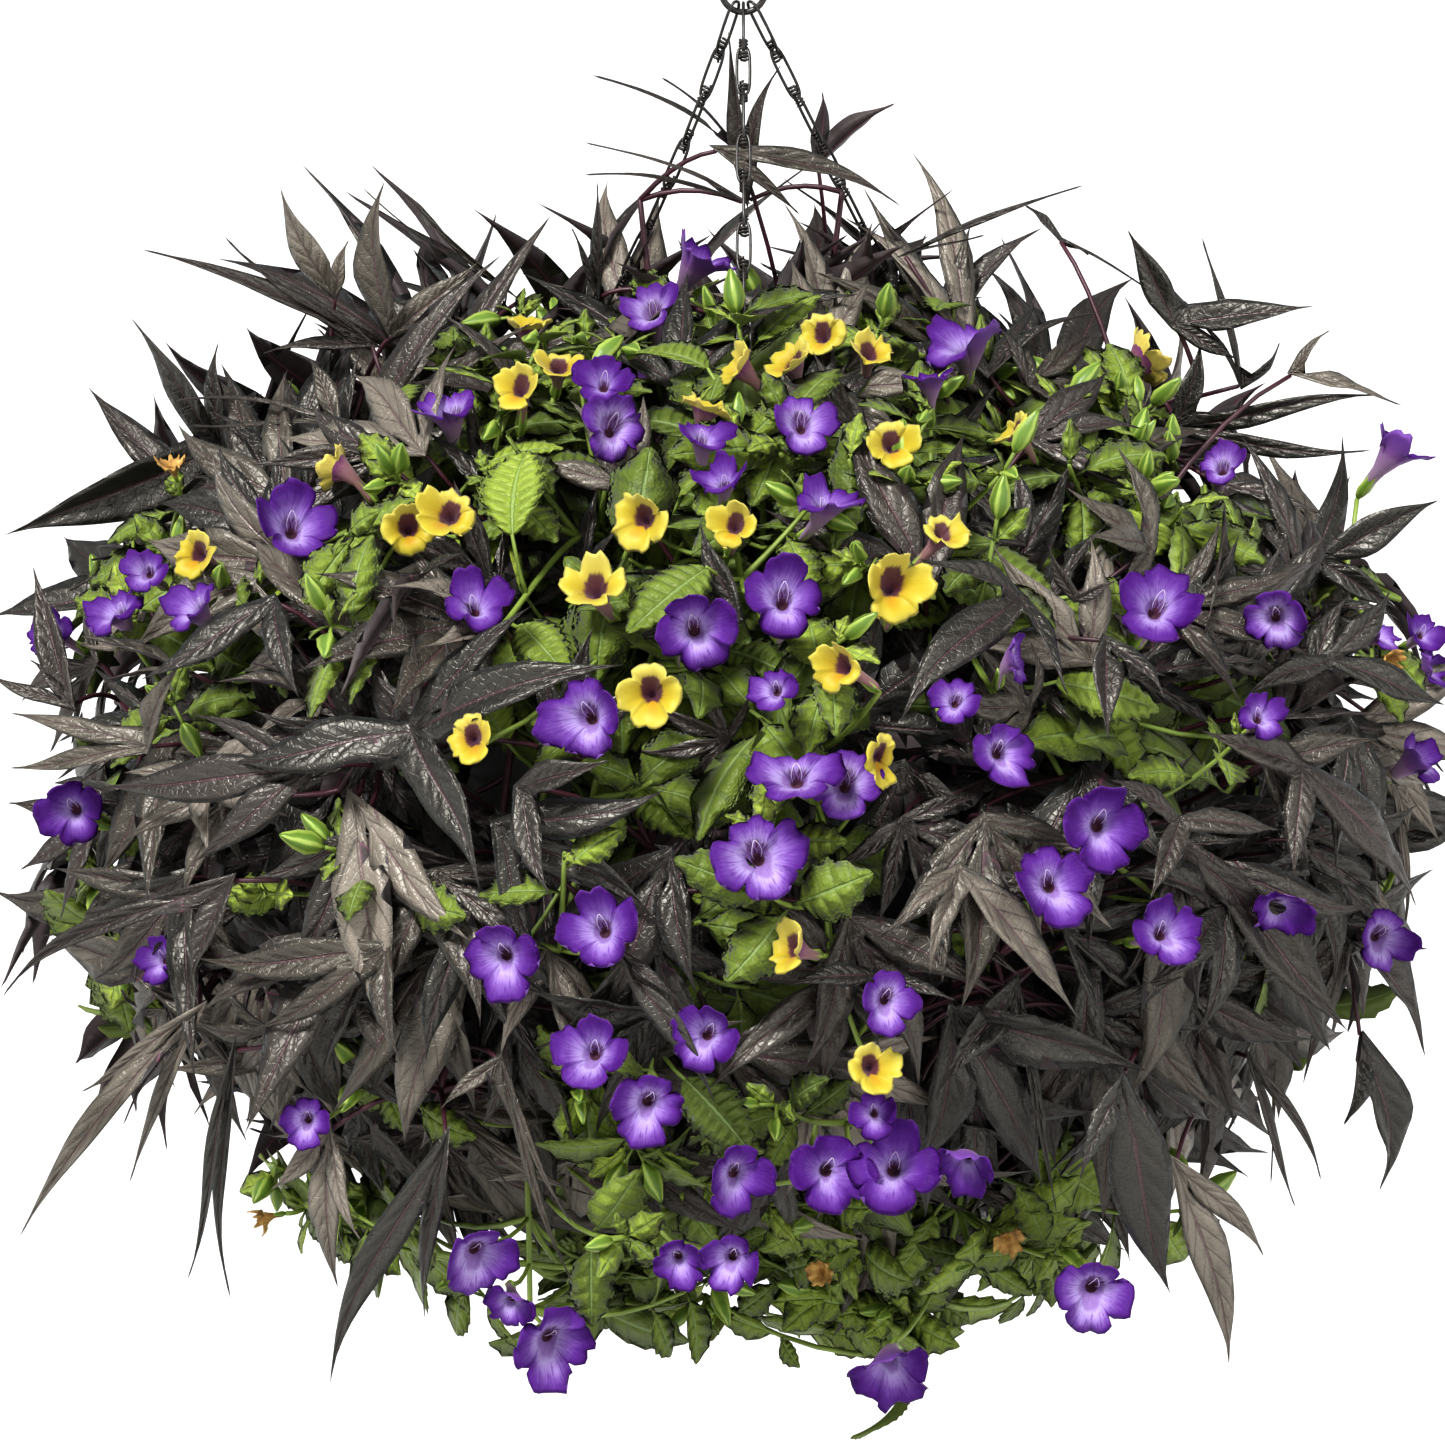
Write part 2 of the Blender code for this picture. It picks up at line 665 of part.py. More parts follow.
def stem_line(root, end, lift, sway):
    """A stem's points: up out of its hole, over the rim if it ends outside, and on to its end."""
    bend = Matrix.Rotation(sway, 3, "Z")
    soil = RIM_Z - SOIL_BELOW_RIM
    start = Vector((root[0], root[1], soil - HOLE_DEPTH + GAP * 2))
    neck = Vector((root[0], root[1], soil + NECK_HEIGHT))
    out = Vector((end.x, end.y, 0))
    reach = out.length
    out = out.normalized() if reach > MIDDLE_REACH else Vector((root[0], root[1], 0)).normalized()
    points = [start, neck]
    lip = POT_RADIUS + LIP_WIDTH
    if reach > RIM_REACH and end.z < RIM_Z + LOW_END:
        over = bend @ out * (lip * CROSSING_PART) + UP * (RIM_Z + CROSSING_HEIGHT + lift)
        points.append(over)
        if end.z < RIM_Z - FLANK_START:
            wide = lip + FLANK_GAP + lift * FLANK_OUT
            points.append(bend @ out * wide + UP * (RIM_Z - FLANK_DROP + lift * FLANK_LIFT))
            if end.z < RIM_Z - DEEP_START:
                flank = max(wide + DEEP_OUT[0], min(reach, wide + DEEP_OUT[1]))
                down = RIM_Z * (1 - DEEP_PART) + end.z * DEEP_PART
                points.append(bend @ out * flank + UP * down)
    else:
        middle = Vector((root[0], root[1], 0)).lerp(out * reach, INNER_PART)
        points.append(bend @ middle + UP * (soil + INNER_HEIGHT + lift))
    points.append(end)
    return points


# Leaves and blooms


def vine_leaf_shape(leaf):
    """A palmate leaf: long pointed lobes round the stalk's end, each ridged along its middle."""
    base, normal, tips, root = leaf["base"], leaf["normal"], leaf["tips"], leaf["root"]
    shape = Shape()
    main = (tips[0] - base).normalized()
    side = normal.cross(main).normalized()

    def angle(point):
        d = point - base
        return math.atan2(d.dot(side), d.dot(main)) % math.tau

    tips = sorted(tips, key=angle)
    count = len(tips)
    angles = [angle(t) for t in tips]
    lift = normal * BLADE_HALF
    reach = [(t - base).length for t in tips]
    lower = []
    upper_centre = len(shape.points)
    shape.points.append(base + lift)
    sinus = []
    for k in range(count):
        n = (k + 1) % count
        gap = (angles[n] - angles[k]) % math.tau
        if count == 1:
            gap = math.tau
        middle = angles[k] + gap / 2
        deep = NOTCH_REACH if gap < WIDE_NOTCH else WIDE_NOTCH_REACH
        size = deep * (reach[k] + reach[n]) / 2
        flat = main * math.cos(middle) + side * math.sin(middle)
        sinus.append((middle, base + flat * size))
    first = len(shape.points)
    shape.points.extend(p for _, p in sinus)
    sinus_ids = list(range(first, first + count))
    for k in range(count):
        tip = tips[k]
        along = tip - base
        length = along.length
        line = along.normalized()
        cross = normal.cross(line).normalized()
        ridge = base + along * RIDGE_AT + normal * (RIDGE_RISE * length)
        after = (angles[(k + 1) % count] - angles[k]) % math.tau
        room = min((angles[k] - angles[k - 1]) % math.tau, after)
        half = LOBE_WIDTH * length * leaf["breadth"] / 2
        if 0 < room < CROWDED:
            half = min(half, CROWDED_PART * length * math.tan(room / 2))
        margin = normal * (MARGIN_RISE * length)
        first = len(shape.points)
        shape.points.extend(
            (
                ridge + lift,
                ridge - lift,
                base + along * WIDEST_AT - cross * half + margin,
                base + along * WIDEST_AT + cross * half + margin,
                tip,
            )
        )
        top, bottom, right, left, point = range(first, first + 5)
        before = sinus_ids[k - 1]
        after = sinus_ids[k]
        for ridge_id in (top, bottom):
            shape.face(before, right, ridge_id, VINE_PAINT)
            shape.face(right, point, ridge_id, VINE_PAINT)
            shape.face(point, left, ridge_id, VINE_PAINT)
            shape.face(left, after, ridge_id, VINE_PAINT)
        shape.face(upper_centre, before, top, VINE_PAINT)
        shape.face(upper_centre, top, after, VINE_PAINT)
        lower.append((angles[k], bottom))
        lower.append((sinus[k][0] % math.tau, after))
    lower.sort()
    axis = (root - base).normalized()
    one = main - axis * main.dot(axis)
    one.normalize()
    rings = []
    for centre, radius in ((base - lift, LEAF_END_PART), (root, ROOT_PART)):
        first = len(shape.points)
        for k in range(3):
            a = math.tau * k / 3
            spot = one * math.cos(a) + normal.cross(one).normalized() * math.sin(a)
            shape.points.append(centre + spot * (PETIOLE_RADIUS * radius))
        rings.append([first, first + 1, first + 2])
    ring_angles = [angle(shape.points[k]) for k in rings[0]]
    order = sorted(range(3), key=lambda k: ring_angles[k])
    inner = [rings[0][k] for k in order]
    inner_angles = [ring_angles[k] for k in order]
    shape.zip_rings([i for _, i in lower], [a for a, _ in lower], inner, inner_angles, VINE_PAINT)
    shape.band(rings[0], rings[1], STALK_PAINT)
    shape.cap(rings[1], STALK_PAINT)
    return shape


# A leaf's rim: parts of its length and of its greatest half width
LEAF_TEETH = ((0.14, 0.78), (0.36, 1.0), (0.46, 0.80), (0.70, 0.68))


def leaf_shape(leaf):
    """An ovate leaf with its side teeth, on its stalk."""
    base, normal, tip, root = leaf["base"], leaf["normal"], leaf["tips"][0], leaf["root"]
    along = tip - base
    length = along.length
    line = along.normalized()
    normal = (normal - line * normal.dot(line)).normalized()
    cross = normal.cross(line)
    shape = Shape()
    half = LEAF_HALF_WIDTH * length
    size = PETIOLE_RADIUS * LEAF_STALK_PART
    arch = normal * (LEAF_ARCH * length)
    shape.points.extend((base - cross * size + normal * size, base + cross * size + normal * size))
    shape.points.append(base - normal * size)
    shape.points.append(tip)
    shape.points.append(base + along * LEAF_RIDGE_AT + arch + normal * BLADE_HALF)
    shape.points.append(base + along * LEAF_RIDGE_AT + arch - normal * BLADE_HALF)
    sides = []
    for way in (-1, 1):
        first = len(shape.points)
        for s, w in LEAF_TEETH:
            rise = normal * (LEAF_MARGIN_ARCH * length * s * (1 - s))
            shape.points.append(base + along * s + cross * (way * half * w) + rise)
        sides.append(list(range(first, first + len(LEAF_TEETH))))
    for way, ids in enumerate(sides):
        rim = [way, *ids, 3]
        for one, two in zip(rim, rim[1:]):
            shape.face(one, two, 4, LEAF_PAINT)
            shape.face(one, two, 5, LEAF_PAINT)
        shape.face(way, 2, 5, LEAF_PAINT)
    shape.face(0, 1, 4, LEAF_PAINT)
    first = len(shape.points)
    near = PETIOLE_RADIUS * ROOT_PART
    shape.points.extend((root - cross * near + normal * near, root + cross * near + normal * near))
    shape.points.append(root - normal * near)
    shape.band([0, 1, 2], [first, first + 1, first + 2], STEM_PAINT)
    shape.cap([first, first + 1, first + 2], STEM_PAINT)
    return shape


# Outlines of a bloom's face, as degrees round from the right and parts of the half width
FULL_FACE = (
    (-112, 1.0), (-68, 1.0), (-44, 0.72), (-16, 1.0), (22, 0.94), (42, 0.70), (64, 0.92),
    (116, 0.92), (138, 0.70), (158, 0.94), (196, 1.0), (224, 0.72),
)
SMALL_FACE = (
    (-110, 1.0), (-70, 1.0), (-38, 0.70), (5, 1.0), (45, 0.72), (90, 0.92), (135, 0.72),
    (175, 1.0), (218, 0.70),
)


def bloom_shape(bloom):
    """A two-lipped bloom: four lobes round a sunken throat, a tube and calyx, and a stalk."""
    centre, facing, width, root = bloom["base"], bloom["normal"], bloom["width"], bloom["root"]
    rise, left = across(facing, UP)
    paint = MARK_PAINT if bloom["kind"] == "yellow" else PETAL_PAINT
    outline = SMALL_FACE if width < PLAIN_BLOOM or bloom["kind"] == "yellow" else FULL_FACE
    shape = Shape()
    shape.points.append(centre - facing * (THROAT_DEPTH * width))
    angles = []
    for degrees, part in outline:
        a = math.radians(degrees)
        angles.append(a % math.tau)
        flat = (rise * math.sin(a) - left * math.cos(a)) * (part * width / 2)
        back = facing * (width * NOTCH_BACK * (1 - part))
        lean = facing * (width * FACE_LEAN * math.sin(a))
        shape.points.append(centre + flat - back - lean)
    rim = list(range(1, len(outline) + 1))
    for k, one in enumerate(rim):
        shape.face(one, rim[(k + 1) % len(rim)], 0, paint)
    mouth = centre - facing * (MOUTH_DEPTH * width)
    end = bloom["calyx"]
    axis = (root - end).normalized()
    rings = []
    for place, radius, axis_here in (
        (mouth, MOUTH_RADIUS * width, -facing),
        (end, CALYX_END_RADIUS, -facing),
        (root, PETIOLE_RADIUS * ROOT_PART, axis),
    ):
        up, _ = across(axis_here, rise)
        sideways = up.cross(-axis_here)
        first = len(shape.points)
        for k in range(3):
            a = math.tau * k / 3 - math.pi / 2
            shape.points.append(place + (sideways * math.cos(a) + up * math.sin(a)) * radius)
        rings.append(list(range(first, first + 3)))
    ring_angles = []
    for k in rings[0]:
        d = shape.points[k] - mouth
        ring_angles.append(math.atan2(d.dot(rise), -d.dot(left)) % math.tau)
    first = min(range(len(angles)), key=lambda k: angles[k])
    turned_rim = rim[first:] + rim[:first]
    turned_angles = angles[first:] + angles[:first]
    order = sorted(range(3), key=lambda k: ring_angles[k])
    shape.zip_rings(
        turned_rim,
        turned_angles,
        [rings[0][k] for k in order],
        [ring_angles[k] for k in order],
        paint,
    )
    shape.band(rings[0], rings[1], STEM_PAINT)
    shape.band(rings[1], rings[2], STEM_PAINT)
    shape.cap(rings[2], STEM_PAINT)
    return shape


SHAPES = {
    "vine_leaf": vine_leaf_shape,
    "leaf": leaf_shape,
    "purple": bloom_shape,
    "yellow": bloom_shape,
}


# Planting


def crosses_itself(shape, tree):
    """Whether two triangles that share no corner meet."""
    for one, two in tree.overlap(tree):
        if one < two and not set(shape.faces[one]) & set(shape.faces[two]):
            return True
    return False


def blade_faces(shape):
    return [f for f, p in zip(shape.faces, shape.paints) if p not in (STEM_PAINT, STALK_PAINT)]


def blown(shape, by):
    """The shape's points, moved outwards by a margin."""
    points = np.array([tuple(p) for p in shape.points])
    faces = np.array(shape.faces)
    a, b, c = (points[faces[:, k]] for k in range(3))
    normals = np.cross(b - a, c - a)
    size = np.linalg.norm(normals, axis=1, keepdims=True)
    normals = normals / np.maximum(size, 1e-12)
    total = np.zeros_like(points)
    for k in range(3):
        np.add.at(total, faces[:, k], normals)
    size = np.linalg.norm(total, axis=1, keepdims=True)
    return points + total / np.maximum(size, 1e-9) * by


class Planting:
    """The stems with all that grows on them, and a test that keeps each plant clear of the rest."""

    def __init__(self):
        self.plants = []
        self.lows = []
        self.highs = []
        self.trees = []
        self.blades = []
        self.owners = []

    def block(self, shape, owner):
        points = np.array([tuple(p) for p in shape.points])
        self.lows.append(points.min(0))
        self.highs.append(points.max(0))
        corners = [tuple(p) for p in points]
        self.trees.append(BVHTree.FromPolygons(corners, shape.faces))
        blades = blade_faces(shape)
        self.blades.append(BVHTree.FromPolygons(corners, blades) if blades else None)
        self.owners.append(owner)

    def clear(self, shape, owner, margin=CLEARANCE, apart=False):
        """Whether the shape keeps a margin to the other plants. With apart, its blades also miss
        whatever grows on its own stem."""
        points = blown(shape, margin)
        low = points.min(0)
        high = points.max(0)
        near = np.all((np.array(self.lows) <= high) & (np.array(self.highs) >= low), axis=1)
        own = np.array(self.owners) == owner
        corners = [tuple(p) for p in points]
        tree = BVHTree.FromPolygons(corners, shape.faces)
        for k in np.nonzero(near & ~own)[0]:
            if tree.overlap(self.trees[k]):
                return False
        if apart:
            blades = blade_faces(shape)
            blade_tree = BVHTree.FromPolygons(corners, blades)
            for k in np.nonzero(near & own)[0]:
                if blade_tree.overlap(self.trees[k]):
                    return False
                if self.blades[k] and tree.overlap(self.blades[k]):
                    return False
        exact = BVHTree.FromPolygons([tuple(p) for p in shape.points], shape.faces)
        return not crosses_itself(shape, exact)

    def nearest_stems(self, kind, point, most):
        """Places to grow from: the plants of a kind, the nearest first, with a point of each stem."""
        found = []
        for number, plant in enumerate(self.plants):
            if plant["kind"] != kind:
                continue
            line = plant["line"]
            best = min(((line[k] - point).length, k) for k in range(GROW_FROM, len(line)))
            found.append((best[0], number, best[1]))
        found.sort()
        return found[:most]


def recalculated(shape):
    """The same shape with every face turned outwards."""
    mesh = bpy.data.meshes.new("check")
    mesh.from_pydata([tuple(p) for p in shape.points], [], shape.faces)
    work = bmesh.new()
    work.from_mesh(mesh)
    bpy.data.meshes.remove(mesh)
    bmesh.ops.recalc_face_normals(work, faces=work.faces)
    work.faces.ensure_lookup_table()
    shape.faces = [tuple(v.index for v in f.verts) for f in work.faces]
    work.free()
    return shape


def fine_line(points):
    """The stem's straight runs, cut into parts, where things may grow."""
    line = []
    for one, two in zip(points, points[1:]):
        for k in range(STEM_PARTS):
            line.append(one.lerp(two, k / STEM_PARTS))
    line.append(points[-1].lerp(points[-2], 0.02))
    return line


# Bent stems rise by up to ARCH_LIFT where they end high: none this far below the rim, all of it after
# this range. A stem is shifted a little more on each try
ARCH_START = 0.30
ARCH_RANGE = 0.36
LIFT_STEP = 0.0006


def plant_stems(planting):
    """Sets the stems, the lowest first, so that the higher ones arch over them."""
    ends = stem_ends()
    roots = stem_roots(ends)
    counts = {}
    rows = []
    for (kind, end, near), root in zip(ends, roots):
        counts[kind] = counts.get(kind, 0) + 1
        rows.append((end.z, f"{kind}_spray_{counts[kind]:02d}", kind, end, near, root))
    for _, name, kind, end, near, root in sorted(rows, key=lambda row: row[0]):
        radius = STEM_RADIUS[kind]
        chosen = None
        for k in range(STEM_TRIES):
            draw = random.Random(f"{name} {k}")
            high = min(max((end.z - RIM_Z + ARCH_START) / ARCH_RANGE, 0), 1)
            lift = ARCH_LIFT * high + draw.uniform(0, LIFT_STEP * k)
            sway = draw.uniform(-1, 1) * math.radians(0.35 * k)
            shift = Vector([draw.uniform(-1, 1) for _ in range(3)]) * (0.0004 * k)
            points = stem_line(root, end + shift, lift, sway)
            radii = [radius, radius]
            radii.extend(radius * (1 - STEM_TAPER * n) for n in range(len(points) - 2))
            outward = Vector((root[0], root[1], 0)).normalized()
            shape = recalculated(tube(points, radii, STEM_SIDES, STEM_PAINT, near=outward))
            if planting.clear(shape, name, STEM_MARGIN):
                chosen = shape
                break
        if chosen is None:
            continue
        paint = STALK_PAINT if kind == "vine" else STEM_PAINT
        chosen.paints = [paint] * len(chosen.faces)
        planting.block(chosen, name)
        planting.plants.append(
            {
                "name": name,
                "kind": kind,
                "near": near,
                "points": points,
                "line": fine_line(points),
                "root": root,
                "shapes": [chosen],
                "grown": [],
            }
        )


def grow(planting, options, *given, seed):
    """Grows the first option that keeps clear of the other plants, at best of its own one too."""
    for apart in (True, False):
        draw = random.Random(f"{SEED} {seed}")
        for number, item in options(planting, *given, draw):
            plant = planting.plants[number]
            if apart and any(abs(one["spot"] - item["spot"]) < 1 for one in plant["grown"]):
                continue
            shape = recalculated(SHAPES[item["kind"]](item))
            if planting.clear(shape, plant["name"], apart=apart):
                planting.block(shape, plant["name"])
                plant["shapes"].append(shape)
                plant["grown"].append(item)
                return


# How a leaf read from the photograph faces: outward, and these parts to the viewer and up
VINE_TO_VIEW = 0.8
VINE_UP = 0.35
# How far a leaf may tilt: on the first try, and more on each one after it
FIRST_TILT = 0.2
TILT_STEP = 0.06
SIDE_PART = 0.3


def vine_leaf_options(planting, places, draw):
    """Ways to set a leaf whose stalk's end and lobe tips are read from the photograph."""
    breadth = draw.uniform(*LOBE_BREADTHS)
    stalk_x, stalk_y = places[0]
    start = mound_distance(stalk_x, stalk_y, STALK_SINK)
    for push in LEAF_PUSHES:
        base = VIEW_POINT + view_ray(stalk_x, stalk_y) * (start + push)
        tips = []
        for px, py in places[1:]:
            most = MOST_SLANT * PIXEL * math.hypot(px - stalk_x, py - stalk_y)
            depth = mound_distance(px, py, LOBE_SINK) - start
            depth = min(max(depth, -most), most)
            tips.append(VIEW_POINT + view_ray(px, py) * (start + push + depth))
        outward = (mound_normal(base) + TO_VIEW * VINE_TO_VIEW + UP * VINE_UP).normalized()
        yield from vine_leaf_ways(planting, base, tips, outward, breadth, draw)


def vine_leaf_ways(planting, base, tips, outward, breadth, draw):
    """Ways to tilt a leaf and to hang it on a stem near by."""
    lobes = sum(((t - base).normalized() for t in tips), Vector())
    main = (lobes * SIDE_PART + tips[0] - base).normalized()
    normal = (outward - main * outward.dot(main)).normalized()
    longest = max((t - base).length for t in tips)
    tips = [t for t in tips if (t - base).length > SHORTEST_LOBE * longest]
    for k in range(LEAF_TILTS):
        tilt = Vector([draw.uniform(-1, 1) for _ in range(3)]) * (FIRST_TILT + TILT_STEP * k)
        turned_normal = (normal + tilt).normalized()
        for far, number, spot in planting.nearest_stems("vine", base, VINE_STEM_CHOICE):
            if far > LONGEST_VINE_STALK:
                continue
            back = (planting.plants[number]["line"][spot] - base).normalized()
            over = max(turned_normal.dot(back) + STALK_LEAN, 0)
            turned_normal = (turned_normal - back * over).normalized()
            if any(abs((t - base).normalized().dot(turned_normal)) > STEEPEST_LOBE for t in tips):
                continue
            yield number, {
                "kind": "vine_leaf",
                "base": base,
                "normal": turned_normal,
                "tips": tips,
                "root": planting.plants[number]["line"][spot],
                "spot": spot,
                "breadth": breadth,
            }


def bloom_ways(planting, kind, centre, facing, width):
    """Ways to hang a bloom on a stem near by."""
    facing = facing.normalized()
    calyx = centre - facing * (BLOOM_DEPTH * width) - UP * (CALYX_DROOP * width)
    for far, number, spot in planting.nearest_stems(kind, calyx, BLOOM_STEM_CHOICE):
        if far > LONGEST_BLOOM_STALK:
            continue
        for shift in STALK_SHIFTS:
            at = max(spot + shift, GROW_FROM)
            if at >= len(planting.plants[number]["line"]):
                continue
            yield number, {
                "kind": kind,
                "base": centre,
                "normal": facing,
                "width": width,
                "calyx": calyx,
                "root": planting.plants[number]["line"][at],
                "spot": at,
            }


# How a bloom faces: these parts outward, to the viewer and up
BLOOM_OUT = 0.7
BLOOM_TO_VIEW = 0.75
BLOOM_UP = 0.12
FAR_BLOOM_UP = 0.2


def bloom_options(planting, kind, place, draw):
    """Ways to set a bloom whose place and width are read from the photograph."""
    px, py, across_pixels, turn = place
    width = max(across_pixels * PIXEL, SMALL_BLOOM)
    for push in BLOOM_PUSHES:
        centre = on_mound(px, py, 0.0, push)
        out = mound_normal(centre)
        for _ in range(BLOOM_TILTS):
            tilt = Vector([draw.uniform(-BLOOM_TILT, BLOOM_TILT) for _ in range(3)])
            facing = (out * BLOOM_OUT + TO_VIEW * BLOOM_TO_VIEW + UP * BLOOM_UP + tilt).normalized()
            a = math.radians(turn)
            facing = Vector(
                (
                    facing.x * math.cos(a) - facing.y * math.sin(a),
                    facing.x * math.sin(a) + facing.y * math.cos(a),
                    facing.z,
                )
            )
            yield from bloom_ways(planting, kind, centre, facing, width)


def bearing(point):
    """Degrees round from the front and degrees above level, seen from the mound's centre."""
    d = point - MOUND_CENTRE
    turn = math.degrees(math.atan2(d.x, -d.y))
    return turn, math.degrees(math.atan2(d.z, math.hypot(d.x, d.y)))


def far_bloom_options(planting, number, kind, draw):
    """Ways to set a bloom of the far side near the end of its stem."""
    end = planting.plants[number]["points"][-1]
    for _ in range(FAR_TRIES):
        spread = Vector([draw.uniform(-1, 1) for _ in range(3)]) * FAR_BLOOM_SPREAD
        turn, rise = bearing(end + spread)
        centre = round_mound(turn, rise, draw.uniform(*FAR_BLOOM_SINK))
        if centre.y < FAR_BLOOM_START:
            continue
        tilt = Vector([draw.uniform(-FAR_BLOOM_TILT, FAR_BLOOM_TILT) for _ in range(3)])
        facing = mound_normal(centre) + UP * FAR_BLOOM_UP + tilt
        width = draw.uniform(*FAR_BLOOM_WIDTH[kind])
        for way in bloom_ways(planting, kind, centre, facing, width):
            if way[0] == number:
                yield way
                break


# The leaves of the far side: above this rise they stand up a little, below it they hang
UPRIGHT_RISE = 25
UPRIGHT = 0.25
HANGING = -1.0
FAR_LEAF_OUT = 0.7
FAR_LEAF_UP = 0.2
VINE_SURFACE = -0.012


def far_vine_options(planting, number, draw):
    """Ways to set a vine leaf of the far side: upright above, hanging below."""
    end = planting.plants[number]["points"][-1]
    for _ in range(FAR_TRIES):
        spread = Vector([draw.uniform(-1, 1) for _ in range(3)]) * FAR_VINE_SPREAD
        turn, rise = bearing(end + spread)
        base = round_mound(turn, rise, draw.uniform(*FAR_VINE_SINK))
        if base.y < 0.0:
            continue
        out = mound_normal(base)
        droop = (UP * (UPRIGHT if rise > UPRIGHT_RISE else HANGING) + out * FAR_LEAF_OUT).normalized()
        side = out.cross(droop).normalized()
        length = draw.uniform(*FAR_LOBE_LENGTH)
        twist = draw.uniform(-FAR_TWIST, FAR_TWIST)
        tips = []
        for a, part in FAR_LOBES[: draw.choice(FAR_LOBE_CHOICE)]:
            way = droop * math.cos(a + twist) + side * math.sin(a + twist)
            tip = base + way * (length * part)
            level = mound_level(tip, VINE_SURFACE)
            if level > 1:
                tip = tip - mound_normal(tip) * (0.06 * min(level - 1, 1))
            tips.append(tip)
        for way in vine_leaf_ways(planting, base, tips, out + UP * FAR_LEAF_UP, 1.0, draw):
            if way[0] == number:
                yield way
                break


# How a green leaf lies: these parts along its stem, outward and down, and its face outward and up
LEAF_ALONG = 0.9
LEAF_OUT = 0.15
LEAF_DOWN = 0.25
LEAF_UP = 0.3
LEAF_SURFACE = -0.01


def green_leaf_options(planting, number, draw):
    """Leaves of the wishbone flowers: near the stem's outer half, spread over the surface."""
    plant = planting.plants[number]
    line = plant["line"]
    for _ in range(LEAF_TRIES):
        spot = draw.randrange(max(GROW_FROM, len(line) // 2), len(line))
        root = line[spot]
        out = mound_normal(root)
        way = Vector([draw.uniform(-1, 1) for _ in range(3)])
        way = (way - out * way.dot(out)).normalized()
        length = draw.uniform(*LEAF_LENGTH)
        base = root + way * draw.uniform(*LEAF_STALK_ALONG) + out * draw.uniform(*LEAF_STALK_OUT)
        lie = (way * LEAF_ALONG + out * LEAF_OUT - UP * LEAF_DOWN).normalized()
        tip = base + lie * length
        if mound_level(tip, LEAF_SURFACE) > 1 or base.z < LOWEST_LEAF:
            continue
        yield number, {
            "kind": "leaf",
            "base": base,
            "normal": (out + UP * LEAF_UP).normalized(),
            "tips": [tip],
            "root": root,
            "spot": spot,
        }


def plant_basket(planting):
    """Grows every leaf and bloom, first those that the photograph shows best."""
    plant_stems(planting)
    for kind, places in (("purple", NEAR_PURPLE), ("yellow", NEAR_YELLOW)):
        for place in sorted(places, key=lambda p: -p[2]):
            grow(planting, bloom_options, kind, place, seed=place)
    for places in NEAR_VINE_LEAVES:
        grow(planting, vine_leaf_options, places, seed=places)
    for number, plant in enumerate(planting.plants):
        kind = plant["kind"]
        if plant["near"]:
            continue
        for k in range(FAR_VINE_LEAVES if kind == "vine" else FAR_BLOOMS[kind]):
            seed = f"far {plant['name']} {k}"
            if kind == "vine":
                grow(planting, far_vine_options, number, seed=seed)
            else:
                grow(planting, far_bloom_options, number, kind, seed=seed)
    for number, plant in enumerate(planting.plants):
        for k in range(LEAVES_PER_STEM.get(plant["kind"], 0)):
            grow(planting, green_leaf_options, number, seed=f"green {plant['name']} {k}")


# Objects


def material(name, colour, roughness, metallic=0.0):
    made = bpy.data.materials.new(name)
    made.use_nodes = True
    shader = made.node_tree.nodes["Principled BSDF"]
    shader.inputs["Base Color"].default_value = (*colour, 1)
    shader.inputs["Roughness"].default_value = roughness
    shader.inputs["Metallic"].default_value = metallic
    return made


def as_object(name, shape, materials):
    mesh = bpy.data.meshes.new(name)
    mesh.from_pydata([tuple(p) for p in shape.points], [], shape.faces)
    for one in materials:
        mesh.materials.append(one)
    mesh.polygons.foreach_set("material_index", shape.paints)
    made = bpy.data.objects.new(name, mesh)
    bpy.context.scene.collection.objects.link(made)
    return made


def joined(name, shapes, materials, operation="UNION", solver="EXACT"):
    """The first shape joined with the others, or cut by them, as one solid."""
    made = as_object(name, shapes[0], materials)
    group = bpy.data.collections.new(name + "_pieces")
    for k, shape in enumerate(shapes[1:]):
        piece = as_object(f"{name}_piece_{k}", shape, materials)
        bpy.context.scene.collection.objects.unlink(piece)
        group.objects.link(piece)
    modifier = made.modifiers.new("join", "BOOLEAN")
    modifier.operation = operation
    modifier.operand_type = "COLLECTION"
    modifier.collection = group
    modifier.solver = solver
    whole = made.evaluated_get(bpy.context.evaluated_depsgraph_get())
    mesh = bpy.data.meshes.new_from_object(whole)
    made.modifiers.clear()
    old = made.data
    made.data = mesh
    mesh.name = name
    bpy.data.meshes.remove(old)
    for piece in list(group.objects):
        data = piece.data
        bpy.data.objects.remove(piece)
        bpy.data.meshes.remove(data)
    bpy.data.collections.remove(group)
    return made


def is_closed(mesh):
    work = bmesh.new()
    work.from_mesh(mesh)
    good = bool(work.faces) and all(len(e.link_faces) == 2 for e in work.edges)
    work.free()
    return good


def fused(name, shapes, materials):
    """One closed body. A loose scrap, or a hollow that the joining sealed, is dropped."""
    for solver in ("EXACT", "MANIFOLD"):
        made = joined(name, shapes, materials, solver=solver)
        if is_closed(made.data):
            break
        if solver == "EXACT":
            bpy.data.objects.remove(made)
    work = bmesh.new()
    work.from_mesh(made.data)
    left = set(work.verts)
    bodies = []
    while left:
        stack = [left.pop()]
        body = set(stack)
        while stack:
            for edge in stack.pop().link_edges:
                for vert in edge.verts:
                    if vert in left:
                        left.discard(vert)
                        body.add(vert)
                        stack.append(vert)
        bodies.append(body)
    bodies.sort(key=len, reverse=True)
    for scrap in bodies[1:]:
        bmesh.ops.delete(work, geom=list(scrap), context="VERTS")
    bmesh.ops.triangulate(work, faces=work.faces)
    work.to_mesh(made.data)
    work.free()


